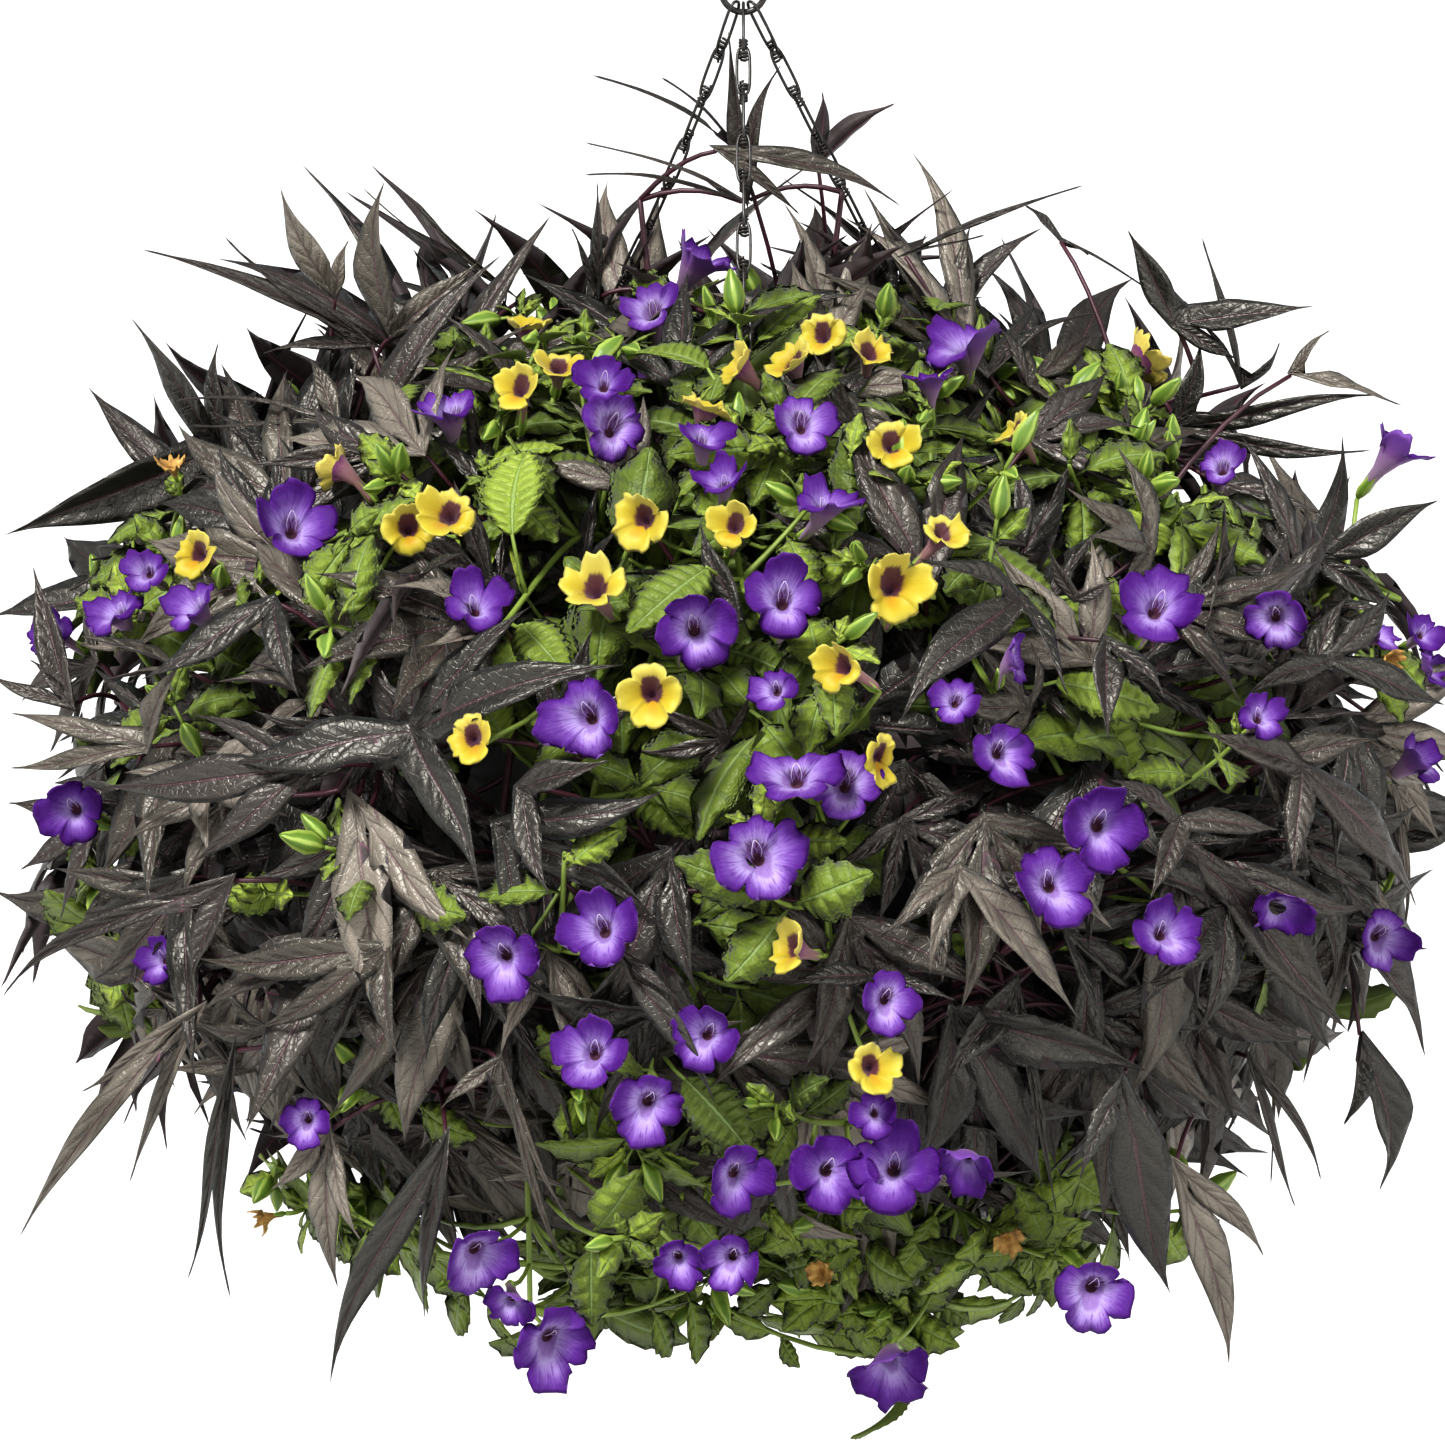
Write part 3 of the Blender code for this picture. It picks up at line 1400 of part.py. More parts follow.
# How far the cutters of the stems' holes reach past the soil and the rim
CUT_ABOVE = 0.004
CUT_PAST = 0.001


def hole_shape(plant):
    """The plain hole that a stem stands in."""
    x, y = plant["root"]
    soil = RIM_Z - SOIL_BELOW_RIM
    radius = STEM_RADIUS[plant["kind"]] + 2 * HOLE_CLEARANCE
    points = [Vector((x, y, soil - HOLE_DEPTH)), Vector((x, y, soil + CUT_ABOVE))]
    near = Vector((x, y, 0)).normalized()
    return recalculated(tube(points, [radius, radius], STEM_SIDES, 0, near=near))


def lip_hole_shape(turn):
    a = math.radians(turn)
    spot = Vector((math.sin(a), -math.cos(a), 0)) * LIP_HOLE_AT
    points = [spot + UP * (RIM_Z - POT_WALL - CUT_PAST), spot + UP * (RIM_Z + CUT_PAST)]
    return recalculated(tube(points, [LIP_HOLE_RADIUS] * 2, 6, 0, near=RIGHT))


def build():
    for old in list(bpy.data.objects):
        bpy.data.objects.remove(old, do_unlink=True)
    wire = material("black_wire", (0.022, 0.018, 0.015), 0.45, 0.8)
    planting = Planting()

    hook = recalculated(hook_shape())
    planting.block(hook, "hook")
    as_object("hook", hook, [wire]).data.shade_smooth()

    for name, *sizes in CHAINS:
        chain = recalculated(chain_shape(*sizes))
        planting.block(chain, name)
        as_object(name, chain, [wire])

    pot = recalculated(pot_shape())
    planting.block(pot, "pot")
    holes = [lip_hole_shape(chain[1]) for chain in CHAINS]
    joined("pot", [pot, *holes], [material("pot_plastic", (0.03, 0.05, 0.03), 0.5)], "DIFFERENCE")

    plant_basket(planting)
    soil = recalculated(soil_shape())
    holes = [hole_shape(plant) for plant in planting.plants]
    earth = material("potting_soil", (0.05, 0.032, 0.02), 0.95)
    joined("soil", [soil, *holes], [earth], "DIFFERENCE")
    paints = [material(*paint) for paint in PAINTS]
    for plant in planting.plants:
        fused(plant["name"], plant["shapes"], paints)


build()
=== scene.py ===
"""The looks of the mixed hanging basket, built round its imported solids: every leaf, bloom and stem in
fine form on the places that the solids have, the shoots and leaves between them, and the materials."""

import math
import random

import bmesh
import bpy
import numpy as np
from mathutils import Matrix, Vector
from mathutils.bvhtree import BVHTree


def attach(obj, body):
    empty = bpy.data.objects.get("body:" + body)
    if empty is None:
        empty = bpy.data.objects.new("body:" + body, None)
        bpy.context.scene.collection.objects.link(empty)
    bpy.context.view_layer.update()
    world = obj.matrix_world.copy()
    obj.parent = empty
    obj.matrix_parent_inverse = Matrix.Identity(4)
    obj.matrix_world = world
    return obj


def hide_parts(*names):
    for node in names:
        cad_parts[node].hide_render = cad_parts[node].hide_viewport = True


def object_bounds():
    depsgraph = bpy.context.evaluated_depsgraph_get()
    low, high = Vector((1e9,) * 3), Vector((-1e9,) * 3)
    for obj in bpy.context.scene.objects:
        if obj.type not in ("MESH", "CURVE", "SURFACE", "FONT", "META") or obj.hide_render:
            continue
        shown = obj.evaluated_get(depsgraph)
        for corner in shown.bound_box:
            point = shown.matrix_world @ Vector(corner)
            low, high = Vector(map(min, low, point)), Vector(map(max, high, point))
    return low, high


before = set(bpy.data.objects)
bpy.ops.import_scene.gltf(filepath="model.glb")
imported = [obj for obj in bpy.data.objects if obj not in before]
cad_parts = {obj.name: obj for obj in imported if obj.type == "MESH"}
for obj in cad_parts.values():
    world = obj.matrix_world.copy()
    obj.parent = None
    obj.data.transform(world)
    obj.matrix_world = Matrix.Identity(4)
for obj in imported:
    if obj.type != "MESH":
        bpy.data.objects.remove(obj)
CAD_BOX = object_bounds()

# Hook and chains
HOOK_WIRE = 0.0028
CROOK_RADIUS = 0.0125
EYE_RADIUS = 0.0085
EYE_BOTTOM = -0.062
CROOK_OPENING = math.radians(155)
EYE_START = math.radians(165)
EYE_TURN = math.radians(245)
HOOK_SIDES = 6
LINK_WIRE = 0.0016
LINK_HALF_WIDTH = 0.0031
LINK_SHOULDERS = (0.5,)
TOP_LINK_HALF_WIDTH = 0.0042
TOP_LINK_SHOULDERS = (0.10, 0.7)
RIM_LOOP_SHOULDERS = (0.35, 0.93)
TOP_LINK_RISE = 0.0029
KNOT_HALF = 0.0011
SQUARE = 0.89
# Name, degrees round from the front, sideways bow, place on the eye, and number of links
CHAINS = (
    ("chain_front", 0.0, 0.0, 0, 15),
    ("chain_left", -120.0, 0.012, -1, 14),
    ("chain_right", 120.0, 0.0, 1, 14),
)
CHAIN_SPACING = 0.0046
RIM_LOOP_HALF_WIDTH = 0.0052
RIM_LOOP_RISE = 0.012
CORNERS = [(a, u, v) for a in (-1, 1) for u in (-1, 1) for v in (-1, 1)]
RING_WAYS = ((-1, -1), (-1, 1), (1, 1), (1, -1))
KNOT_WAYS = ((-1, -1), (1, -1), (1, 1), (-1, 1))

# Pot and soil
POT_RADIUS = 0.146
POT_BASE_RADIUS = 0.110
POT_WALL = 0.002
RIM_Z = -0.332
POT_DEPTH = 0.183
LIP_WIDTH = 0.014
LIP_HOLE_AT = 0.1525
SOIL_BELOW_RIM = 0.013
POT_SIDES = 24
GAP = 0.0003

# The mound of foliage: a rounded form, wider than high, fuller below than above
MOUND_CENTRE = Vector((-0.005, 0.0, -0.400))
MOUND_WIDTH = 0.312
MOUND_UP = 0.215
MOUND_DOWN = 0.285
MOUND_POWER_UP = 2.0
MOUND_POWER_DOWN = 2.6

# The photograph's view, for the places read from it
PHOTO_SIDE = 1445
PIXEL = 0.00045
VIEW_AIM = Vector((-0.0092, 0.0, -0.3772))
VIEW_RISE = math.radians(8)
VIEW_DISTANCE = 2.3

# Stems
STEM_SIDES = 3
STEM_TAPER = 0.07
STEM_MARGIN = 0.0012
STEM_TRIES = 120
STEM_PARTS = 6
GROW_FROM = 8
ARCH_LIFT = 0.045
NECK_HEIGHT = 0.008
CROSSING_HEIGHT = 0.014
FLANK_GAP = 0.012
HOLE_DEPTH = 0.025
STEM_RADIUS = {"vine": 0.0029, "purple": 0.0026, "yellow": 0.0024}
TIP_SINK = {"vine": 0.050, "purple": 0.034, "yellow": 0.030}
ROOT_RING_MIN = 0.030
ROOT_RING_MAX = 0.127
ROOT_SPACING = 0.015

# Leaves and blooms
BLADE_HALF = 0.0008
CLEARANCE = 0.0004
PETIOLE_RADIUS = 0.0011
ROOT_PART = 0.42
# A lobe of a vine leaf, as parts of its length: width, where its ridge and its widest place are, and
# how far these two rise
LOBE_WIDTH = 0.25
RIDGE_AT = 0.42
RIDGE_RISE = 0.05
WIDEST_AT = 0.45
MARGIN_RISE = 0.035
# How far out the margins of two lobes meet, where the lobes stand close and where they don't
NOTCH_REACH = 0.15
WIDE_NOTCH_REACH = 0.07
WIDE_NOTCH = 2.2
# Lobes that stand closer than this angle are narrower
CROWDED = 1.2
CROWDED_PART = 0.42
LOBE_BREADTHS = (0.9, 1.25)
SHORTEST_LOBE = 0.25
STEEPEST_LOBE = 0.75
# How far a leaf read from the photograph may slope away, as a part of its length there
MOST_SLANT = 0.6
LEAF_TILTS = 7
LEAF_END_PART = 0.9
STALK_SINK = 0.012
LOBE_SINK = -0.004
STALK_LEAN = 0.35
LONGEST_VINE_STALK = 0.17
VINE_STEM_CHOICE = 3
# How far things move back or forward along the view until they are clear of the rest
LEAF_PUSHES = (0, 0.007, -0.007, 0.014, -0.014, 0.022, 0.03, 0.04, 0.055, 0.07, 0.09)
BLOOM_PUSHES = (0, 0.006, -0.006, 0.012, 0.018, -0.012, 0.025, 0.035, 0.05)
LEAF_HALF_WIDTH = 0.31
LEAF_RIDGE_AT = 0.44
LEAF_ARCH = 0.09
LEAF_MARGIN_ARCH = 0.33
LEAF_STALK_PART = 0.8
THROAT_DEPTH = 0.12
MOUTH_DEPTH = 0.16
MOUTH_RADIUS = 0.17
BLOOM_DEPTH = 1.05
NOTCH_BACK = 0.10
FACE_LEAN = 0.05
CALYX_END_RADIUS = 0.0016
CALYX_DROOP = 0.12
LONGEST_BLOOM_STALK = 0.13
BLOOM_STEM_CHOICE = 4
STALK_SHIFTS = (0, -2, 2, -4)
BLOOM_TILTS = 3
BLOOM_TILT = 0.3
SEED = 11

# Where each stem of the near side ends, in the photograph
NEAR_STEMS = {
    "vine": (
        (640, 200), (850, 190), (330, 370), (120, 700), (340, 790), (200, 1000), (440, 1090),
        (1060, 640), (1200, 390), (1310, 740), (1010, 1010), (1210, 1110), (640, 950),
    ),
    "purple": (
        (655, 310), (420, 430), (950, 355), (760, 440), (130, 600), (490, 640), (745, 590),
        (815, 790), (1200, 560), (1010, 720), (1110, 860), (560, 950), (650, 1070), (850, 1160),
        (530, 1310), (930, 1350), (1400, 600), (1400, 860), (100, 840),
    ),
    "yellow": (
        (530, 350), (810, 370), (640, 540), (900, 580), (640, 700), (830, 950), (1130, 380),
        (400, 510),
    ),
}

# Where each stem of the far side ends: degrees round from the front, degrees above level
FAR_STEMS = {
    "vine": ((150, 52), (-138, 38), (112, 8), (-112, -22), (168, -34), (-160, 2)),
    "purple": ((180, 34), (130, -8), (-128, 6), (142, -44), (-150, -46)),
    "yellow": ((-165, 62), (158, 14), (-172, -18)),
}

# Vine leaves of the near side in the photograph: the stalk's end, then the tip of each lobe
NEAR_VINE_LEAVES = (
    ((411, 732), (531, 606), (626, 665), (480, 893), (230, 762)),
    ((309, 770), (102, 786), (193, 715), (194, 862)),
    ((1020, 597), (886, 547), (899, 726), (1068, 695)),
    ((1075, 600), (1050, 545), (1128, 575)),
    ((1105, 640), (1108, 742), (1165, 700)),
    ((1302, 768), (1289, 943), (1417, 908), (1200, 730)),
    ((620, 952), (746, 1154), (690, 1010)),
    ((905, 255), (1085, 185), (985, 235)),
    ((737, 150), (592, 75), (661, 77)),
    ((744, 202), (583, 142), (583, 175)),
    ((748, 200), (728, 30), (782, 64)),
    ((718, 150), (902, 207), (800, 215)),
    ((818, 165), (896, 103), (822, 91)),
    ((599, 296), (597, 181), (571, 227)),
    ((520, 300), (400, 188), (450, 250), (362, 187)),
    ((392, 335), (385, 180), (478, 262)),
    ((372, 345), (140, 249), (224, 236), (262, 354)),
    ((335, 297), (280, 186), (349, 240)),
    ((222, 446), (130, 317), (219, 341), (2, 536)),
    ((337, 423), (176, 400), (190, 425), (309, 358)),
    ((296, 436), (147, 538), (200, 500)),
    ((147, 553), (67, 592), (90, 560)),
    ((72, 705), (33, 566), (-12, 672), (30, 660)),
    ((273, 600), (140, 680), (300, 700)),
    ((147, 746), (10, 713), (9, 768), (184, 659)),
    ((96, 822), (7, 803), (20, 870), (60, 920)),
    ((230, 880), (2, 998), (37, 937), (190, 985)),
    ((200, 1010), (19, 1238), (81, 1092), (129, 1184)),
    ((235, 1050), (187, 1281), (231, 1300)),
    ((385, 950), (197, 958), (250, 1030), (400, 1060)),
    ((330, 1130), (338, 1288), (362, 1242), (270, 1190)),
    ((446, 1140), (330, 1385), (425, 1320), (461, 1189)),
    ((500, 1060), (572, 1224), (574, 1285), (440, 1110)),
    ((520, 790), (550, 895), (610, 760)),
    ((960, 870), (900, 925), (1080, 1020), (930, 975)),
    ((880, 975), (790, 985), (955, 1000)),
    ((1015, 985), (1030, 1176), (1057, 1214), (940, 1090)),
    ((965, 1095), (975, 1291), (905, 1200)),
    ((1120, 1080), (1171, 1295), (1080, 1180)),
    ((1175, 1165), (1229, 1366), (1264, 1257)),
    ((1248, 1056), (1321, 1181), (1296, 1209)),
    ((1360, 1037), (1379, 1192), (1344, 1125)),
    ((1175, 325), (1315, 306), (1127, 229), (1240, 360)),
    ((1240, 385), (1202, 237), (1184, 300), (1280, 342)),
    ((1177, 426), (1383, 395), (1372, 450), (1200, 338)),
    ((1292, 374), (1402, 405), (1330, 330)),
    ((1060, 240), (1025, 205), (1089, 255), (1150, 290)),
    ((1320, 560), (1440, 500), (1400, 610), (1250, 600)),
    ((1180, 820), (1280, 830), (1150, 900), (1110, 780)),
    ((1330, 660), (1445, 705), (1390, 590), (1240, 700)),
)

# Purple blooms of the near side in the photograph: centre, width across, and how far the bloom is
# turned to the right of its natural facing, in degrees
NEAR_PURPLE = (
    (702, 254, 70, 20), (649, 302, 65, 0), (446, 403, 68, 20), (604, 375, 60, 0),
    (619, 422, 72, 20), (965, 334, 82, 0), (930, 374, 50, 0), (706, 430, 55, 0),
    (804, 418, 65, 0), (721, 474, 55, 0), (830, 495, 62, 40), (295, 518, 83, 15),
    (476, 598, 65, 10), (786, 592, 80, 0), (695, 629, 78, 10), (583, 717, 80, -15),
    (1161, 598, 85, 0), (1277, 620, 65, 0), (1007, 750, 65, 0), (956, 699, 45, 0),
    (1021, 656, 50, 0), (795, 765, 85, 0), (845, 780, 70, 0), (761, 854, 86, 0),
    (1107, 825, 85, 0), (1056, 881, 80, 0), (1170, 929, 68, 0), (499, 959, 75, 0),
    (598, 925, 75, 0), (706, 1034, 65, 0), (591, 1049, 70, 0), (650, 1107, 70, 0),
    (738, 1177, 68, 0), (833, 1172, 78, 0), (893, 1162, 85, 0), (965, 1167, 62, 0),
    (873, 1112, 50, 0), (890, 1000, 60, 0), (480, 1260, 75, 0), (510, 1308, 40, 0),
    (556, 1349, 86, 0), (893, 1375, 80, 0), (1095, 1294, 80, 0), (730, 1261, 60, 0),
    (678, 1262, 50, 0), (1401, 443, 65, 20), (1222, 460, 55, 0),
    (112, 604, 60, 0), (145, 569, 45, 0), (189, 602, 60, 0),
    (48, 630, 35, 0), (72, 811, 70, 0),
    (155, 957, 50, 0), (306, 1121, 40, 0), (1263, 712, 50, 0),
    (1383, 629, 50, 0), (1427, 628, 50, 0), (1435, 664, 40, 0), (1422, 755, 60, 0),
    (1386, 938, 65, 0), (1282, 913, 60, 0), (773, 687, 40, 0),
)
NEAR_YELLOW = (
    (526, 321, 50, 0), (559, 361, 50, 0), (517, 383, 52, 0), (733, 362, 50, -50),
    (788, 356, 55, 0), (819, 331, 50, -30), (872, 347, 45, 0), (707, 401, 50, 0),
    (893, 441, 50, 0), (639, 518, 56, 0), (592, 581, 62, -15),
    (733, 522, 42, 0), (896, 582, 66, -10), (836, 665, 50, -60),
    (649, 694, 60, 0), (470, 736, 42, 0), (787, 945, 50, -30),
    (886, 757, 40, 0), (1149, 352, 62, 10), (1008, 425, 45, -60),
    (948, 527, 42, 50), (331, 464, 50, -55), (409, 527, 55, 0), (446, 510, 60, 0),
    (193, 551, 50, 0), (874, 1066, 40, 0),
)

# Blooms and leaves given by rule
FAR_BLOOM_WIDTH = {"purple": (0.028, 0.038), "yellow": (0.022, 0.027)}
FAR_BLOOMS = {"purple": 6, "yellow": 4}
FAR_VINE_LEAVES = 6
FAR_LOBES = ((0, 1.0), (0.75, 0.8), (-0.75, 0.8), (1.5, 0.5), (-1.5, 0.5))
LEAVES_PER_STEM = {"purple": 3, "yellow": 1}
LEAF_LENGTH = (0.036, 0.052)
LEAF_STALK_OUT = (0.008, 0.03)
LEAF_STALK_ALONG = (0.012, 0.03)
LEAF_TRIES = 60
LOWEST_LEAF = -0.68
FAR_TRIES = 40
FAR_BLOOM_SPREAD = 0.085
FAR_BLOOM_SINK = (-0.004, 0.02)
FAR_BLOOM_TILT = 0.45
FAR_BLOOM_START = 0.03
FAR_VINE_SPREAD = 0.09
FAR_VINE_SINK = (0.0, 0.03)
FAR_LOBE_LENGTH = (0.075, 0.105)
FAR_LOBE_CHOICE = (3, 3, 4, 5)
FAR_TWIST = 0.9
SMALL_BLOOM = 0.022
PLAIN_BLOOM = 0.0265

STEM_PAINT, LEAF_PAINT, PETAL_PAINT, MARK_PAINT, VINE_PAINT, STALK_PAINT = range(6)

RIGHT = Vector((1, 0, 0))
UP = Vector((0, 0, 1))
VIEW_UP = Vector((0, math.sin(VIEW_RISE), math.cos(VIEW_RISE)))
TO_VIEW = Vector((0, -math.cos(VIEW_RISE), math.sin(VIEW_RISE)))
VIEW_POINT = VIEW_AIM + TO_VIEW * VIEW_DISTANCE


class Shape:
    """Triangles with a paint number each."""

    def __init__(self):
        self.points = []
        self.faces = []
        self.paints = []

    def ring(self, centre, side, rise, radius, count):
        """A ring of points round centre, by two unit vectors across its axis."""
        first = len(self.points)
        for k in range(count):
            a = math.tau * k / count
            self.points.append(centre + side * (radius * math.cos(a)) + rise * (radius * math.sin(a)))
        return list(range(first, first + count))

    def face(self, a, b, c, paint):
        """Adds one triangle."""
        self.faces.append((a, b, c))
        self.paints.append(paint)

    def band(self, one, two, paint):
        """Triangles between two rings of one count."""
        count = len(one)
        for k in range(count):
            n = (k + 1) % count
            self.face(one[k], one[n], two[n], paint)
            self.face(one[k], two[n], two[k], paint)

    def cap(self, ring, paint):
        """Closes a ring with a fan of triangles."""
        for k in range(1, len(ring) - 1):
            self.face(ring[0], ring[k], ring[k + 1], paint)

    def zip_rings(self, outer, outer_angles, inner, inner_angles, paint):
        """Triangles between two closed rings of different counts, matched by their angles."""
        start = outer_angles[0]
        order = sorted(range(len(inner)), key=lambda k: (inner_angles[k] - start) % math.tau)
        inner = [inner[k] for k in order]
        inner_angles = [inner_angles[k] for k in order]
        turns_out = [(a - start) % math.tau for a in outer_angles] + [math.tau]
        turns_in = [(a - start) % math.tau for a in inner_angles]
        turns_in.append(turns_in[0] + math.tau)
        i = 0
        j = 0
        while i < len(outer) or j < len(inner):
            a = outer[i % len(outer)]
            b = inner[j % len(inner)]
            middle_out = (turns_out[i] + turns_out[i + 1]) / 2 if i < len(outer) else math.inf
            middle_in = (turns_in[j] + turns_in[j + 1]) / 2 if j < len(inner) else math.inf
            if middle_out <= middle_in:
                self.face(a, outer[(i + 1) % len(outer)], b, paint)
                i += 1
            else:
                self.face(a, inner[(j + 1) % len(inner)], b, paint)
                j += 1


# An axis this close to the wanted direction gets its first vector from RIGHT instead
TOO_CLOSE = 0.05


def across(axis, near=UP):
    """Two unit vectors across an axis, the first as near as it goes to the given one."""
    one = near - axis * near.dot(axis)
    if one.length < TOO_CLOSE:
        one = RIGHT - axis * RIGHT.dot(axis)
    one.normalize()
    return one, axis.cross(one).normalized()


def tube(points, radii, sides, paint, near=UP, closed=False):
    """A tube with filled ends, or a closed loop, along the points."""
    shape = Shape()
    rings = []
    count = len(points)
    side = None
    for k, point in enumerate(points):
        before = points[k - 1] if k or closed else point
        after = points[(k + 1) % count] if k < count - 1 or closed else point
        axis = (after - before).normalized()
        side, rise = across(axis, side or near)
        rings.append(shape.ring(point, side, rise, radii[k], sides))
    for one, two in zip(rings, rings[1:]):
        shape.band(one, two, paint)
    if closed:
        shape.band(rings[-1], rings[0], paint)
    else:
        shape.cap(rings[0], paint)
        shape.cap(rings[-1], paint)
    return shape


# The mound and the view


def mound_level(point, sink=0.0):
    """Below 1 inside the mound's outline, drawn in by sink."""
    d = point - MOUND_CENTRE
    flat = math.hypot(d.x, d.y) / (MOUND_WIDTH - sink)
    if d.z > 0:
        power = MOUND_POWER_UP
        high = d.z / (MOUND_UP - sink)
    else:
        power = MOUND_POWER_DOWN
        high = -d.z / (MOUND_DOWN - sink)
    return flat**power + high**power


# How the mound is measured: the step for its slope, the steps along a pixel's ray and the search
# for its surface from the centre
SLOPE_STEP = 0.001
RAY_BEFORE = 0.36
RAY_STEP = 0.003
RAY_STEPS = 140
SEARCH_REACH = 0.5
SEARCH_HALVINGS = 24


def mound_normal(point):
    """The way out of the mound at a point."""
    level = mound_level(point)
    ways = (RIGHT, Vector((0, 1, 0)), UP)
    slope = [mound_level(point + axis * SLOPE_STEP) - level for axis in ways]
    return Vector(slope).normalized()


def view_ray(px, py):
    """The way from the view's point through a pixel."""
    half = PHOTO_SIDE / 2
    point = VIEW_AIM + RIGHT * ((px - half) * PIXEL) + VIEW_UP * ((half - py) * PIXEL)
    return (point - VIEW_POINT).normalized()


def mound_distance(px, py, sink=0.0):
    """How far along the pixel's ray it meets the near side of the mound, or passes closest to it."""
    ray = view_ray(px, py)
    best = None
    for k in range(RAY_STEPS):
        far = VIEW_DISTANCE - RAY_BEFORE + k * RAY_STEP
        level = mound_level(VIEW_POINT + ray * far, sink)
        if best is None or level < best[0]:
            best = (level, far)
        if level <= 1:
            break
    return best[1]


def on_mound(px, py, sink=0.0, push=0.0):
    """The point on a pixel's ray where it meets the mound, pushed further back."""
    return VIEW_POINT + view_ray(px, py) * (mound_distance(px, py, sink) + push)


def round_mound(turn, rise, sink=0.0):
    """The mound's point at degrees round from the front and degrees above level."""
    a = math.radians(turn)
    e = math.radians(rise)
    ray = Vector((math.cos(e) * math.sin(a), -math.cos(e) * math.cos(a), math.sin(e)))
    low, high = 0.0, SEARCH_REACH
    for _ in range(SEARCH_HALVINGS):
        middle = (low + high) / 2
        if mound_level(MOUND_CENTRE + ray * middle, sink) < 1:
            low = middle
        else:
            high = middle
    return MOUND_CENTRE + ray * low


# Hook, chains, pot and soil


def hook_line():
    """The wire's middle line: an open crook, a slanting shank and an open eye."""
    half = HOOK_WIRE / 2
    crook = CROOK_RADIUS + half
    eye = EYE_RADIUS + half
    top = Vector((0, 0, -CROOK_RADIUS))
    low = Vector((0, 0, EYE_BOTTOM + half + eye))
    line = []
    for k in range(9):
        a = (math.tau - CROOK_OPENING) * (1 - k / 8)
        line.append(top + Vector((crook * math.cos(a), 0, crook * math.sin(a))))
    for k in range(11):
        a = EYE_START + EYE_TURN * k / 10
        line.append(low + Vector((eye * math.cos(a), 0, eye * math.sin(a))))
    return line


def hook_shape():
    """The hook as one closed tube."""
    line = hook_line()
    return tube(line, [HOOK_WIRE / 2] * len(line), HOOK_SIDES, 0, near=Vector((0, 1, 0)))


def chain_knots(turn, bow, place, links):
    """The joints of a chain, from inside the hook's eye to just under the pot's lip."""
    a = math.radians(turn)
    out = Vector((math.sin(a), -math.cos(a), 0))
    eye = EYE_RADIUS + HOOK_WIRE / 2
    x = place * CHAIN_SPACING
    sag = eye - math.sqrt(eye**2 - x**2)
    held = Vector((x, 0, EYE_BOTTOM + HOOK_WIRE / 2 + sag))
    foot = out * (LIP_HOLE_AT + RIM_LOOP_HALF_WIDTH) + UP * RIM_Z
    end = foot + UP * RIM_LOOP_RISE
    top = held - (end - held).normalized() * TOP_LINK_RISE
    side = RIGHT if turn < 0 else -RIGHT
    knots = []
    for k in range(links):
        t = k / (links - 1)
        knots.append(top.lerp(end, t) + side * (bow * 4 * t * (1 - t)))
    knots.append(foot - UP * (POT_WALL + GAP + KNOT_HALF))
    return knots, out


def chain_shape(turn, bow, place, links):
    """A chain of wire loops that alternate in facing, each joined to the next in a small knot. The
    last loop's facing is along the pot's radius, and it runs through the lip's hole."""
    knots, out = chain_knots(turn, bow, place, links)
    axis = (knots[-2] - knots[0]).normalized()
    frames = [(axis, *across(axis, out))] * links
    frames.append((-UP, *across(-UP, out)))
    shape = Shape()
    corners = []
    for knot, (down, one, two) in zip(knots, frames):
        first = len(shape.points)
        for a, u, v in CORNERS:
            offset = down * a + one * u + two * v
            shape.points.append(knot + offset * KNOT_HALF)
        corners.append({key: first + n for n, key in enumerate(CORNERS)})
        for a in (-1, 1):
            ring = [corners[-1][(a, u, v)] for u, v in KNOT_WAYS]
            shape.cap(ring, 0)
    shoulders = [TOP_LINK_SHOULDERS] + [LINK_SHOULDERS] * (links - 2) + [RIM_LOOP_SHOULDERS]
    for k in range(links):
        along_one = (links - 1 - k) % 2 == 0
        _, one, two = frames[-1] if k == links - 1 else frames[k]
        side, flat = (one, two) if along_one else (two, one)
        width = RIM_LOOP_HALF_WIDTH if k == links - 1 else LINK_HALF_WIDTH
        run = knots[k + 1] - knots[k]
        for way in (-1, 1):
            start = [corner_key(a, way, f, along_one) for a, f in RING_WAYS]
            stop = [corner_key(-a, way, f, along_one) for a, f in RING_WAYS]
            rings = [[corners[k][key] for key in start]]
            for part in shoulders[k]:
                wide = TOP_LINK_HALF_WIDTH if k == 0 and part < 0.5 else width
                middle = knots[k] + run * part + side * (way * wide)
                first = len(shape.points)
                for a, f in RING_WAYS:
                    offset = side * (-a * way) + flat * f
                    shape.points.append(middle + offset * (LINK_WIRE / 2 * SQUARE))
                rings.append(list(range(first, first + 4)))
            rings.append([corners[k + 1][key] for key in stop])
            for a, b in zip(rings, rings[1:]):
                shape.band(a, b, 0)
    for k, along_one in ((0, links % 2 == 0), (links, False)):
        for way in (-1, 1):
            ring = [corners[k][corner_key(a, way, f, along_one)] for a, f in RING_WAYS]
            shape.cap(ring, 0)
    return shape


def corner_key(along, way, flat, along_one):
    """The corner's key: its way along the axis, then its ways along the two cross lines."""
    return (along, way, flat) if along_one else (along, flat, way)


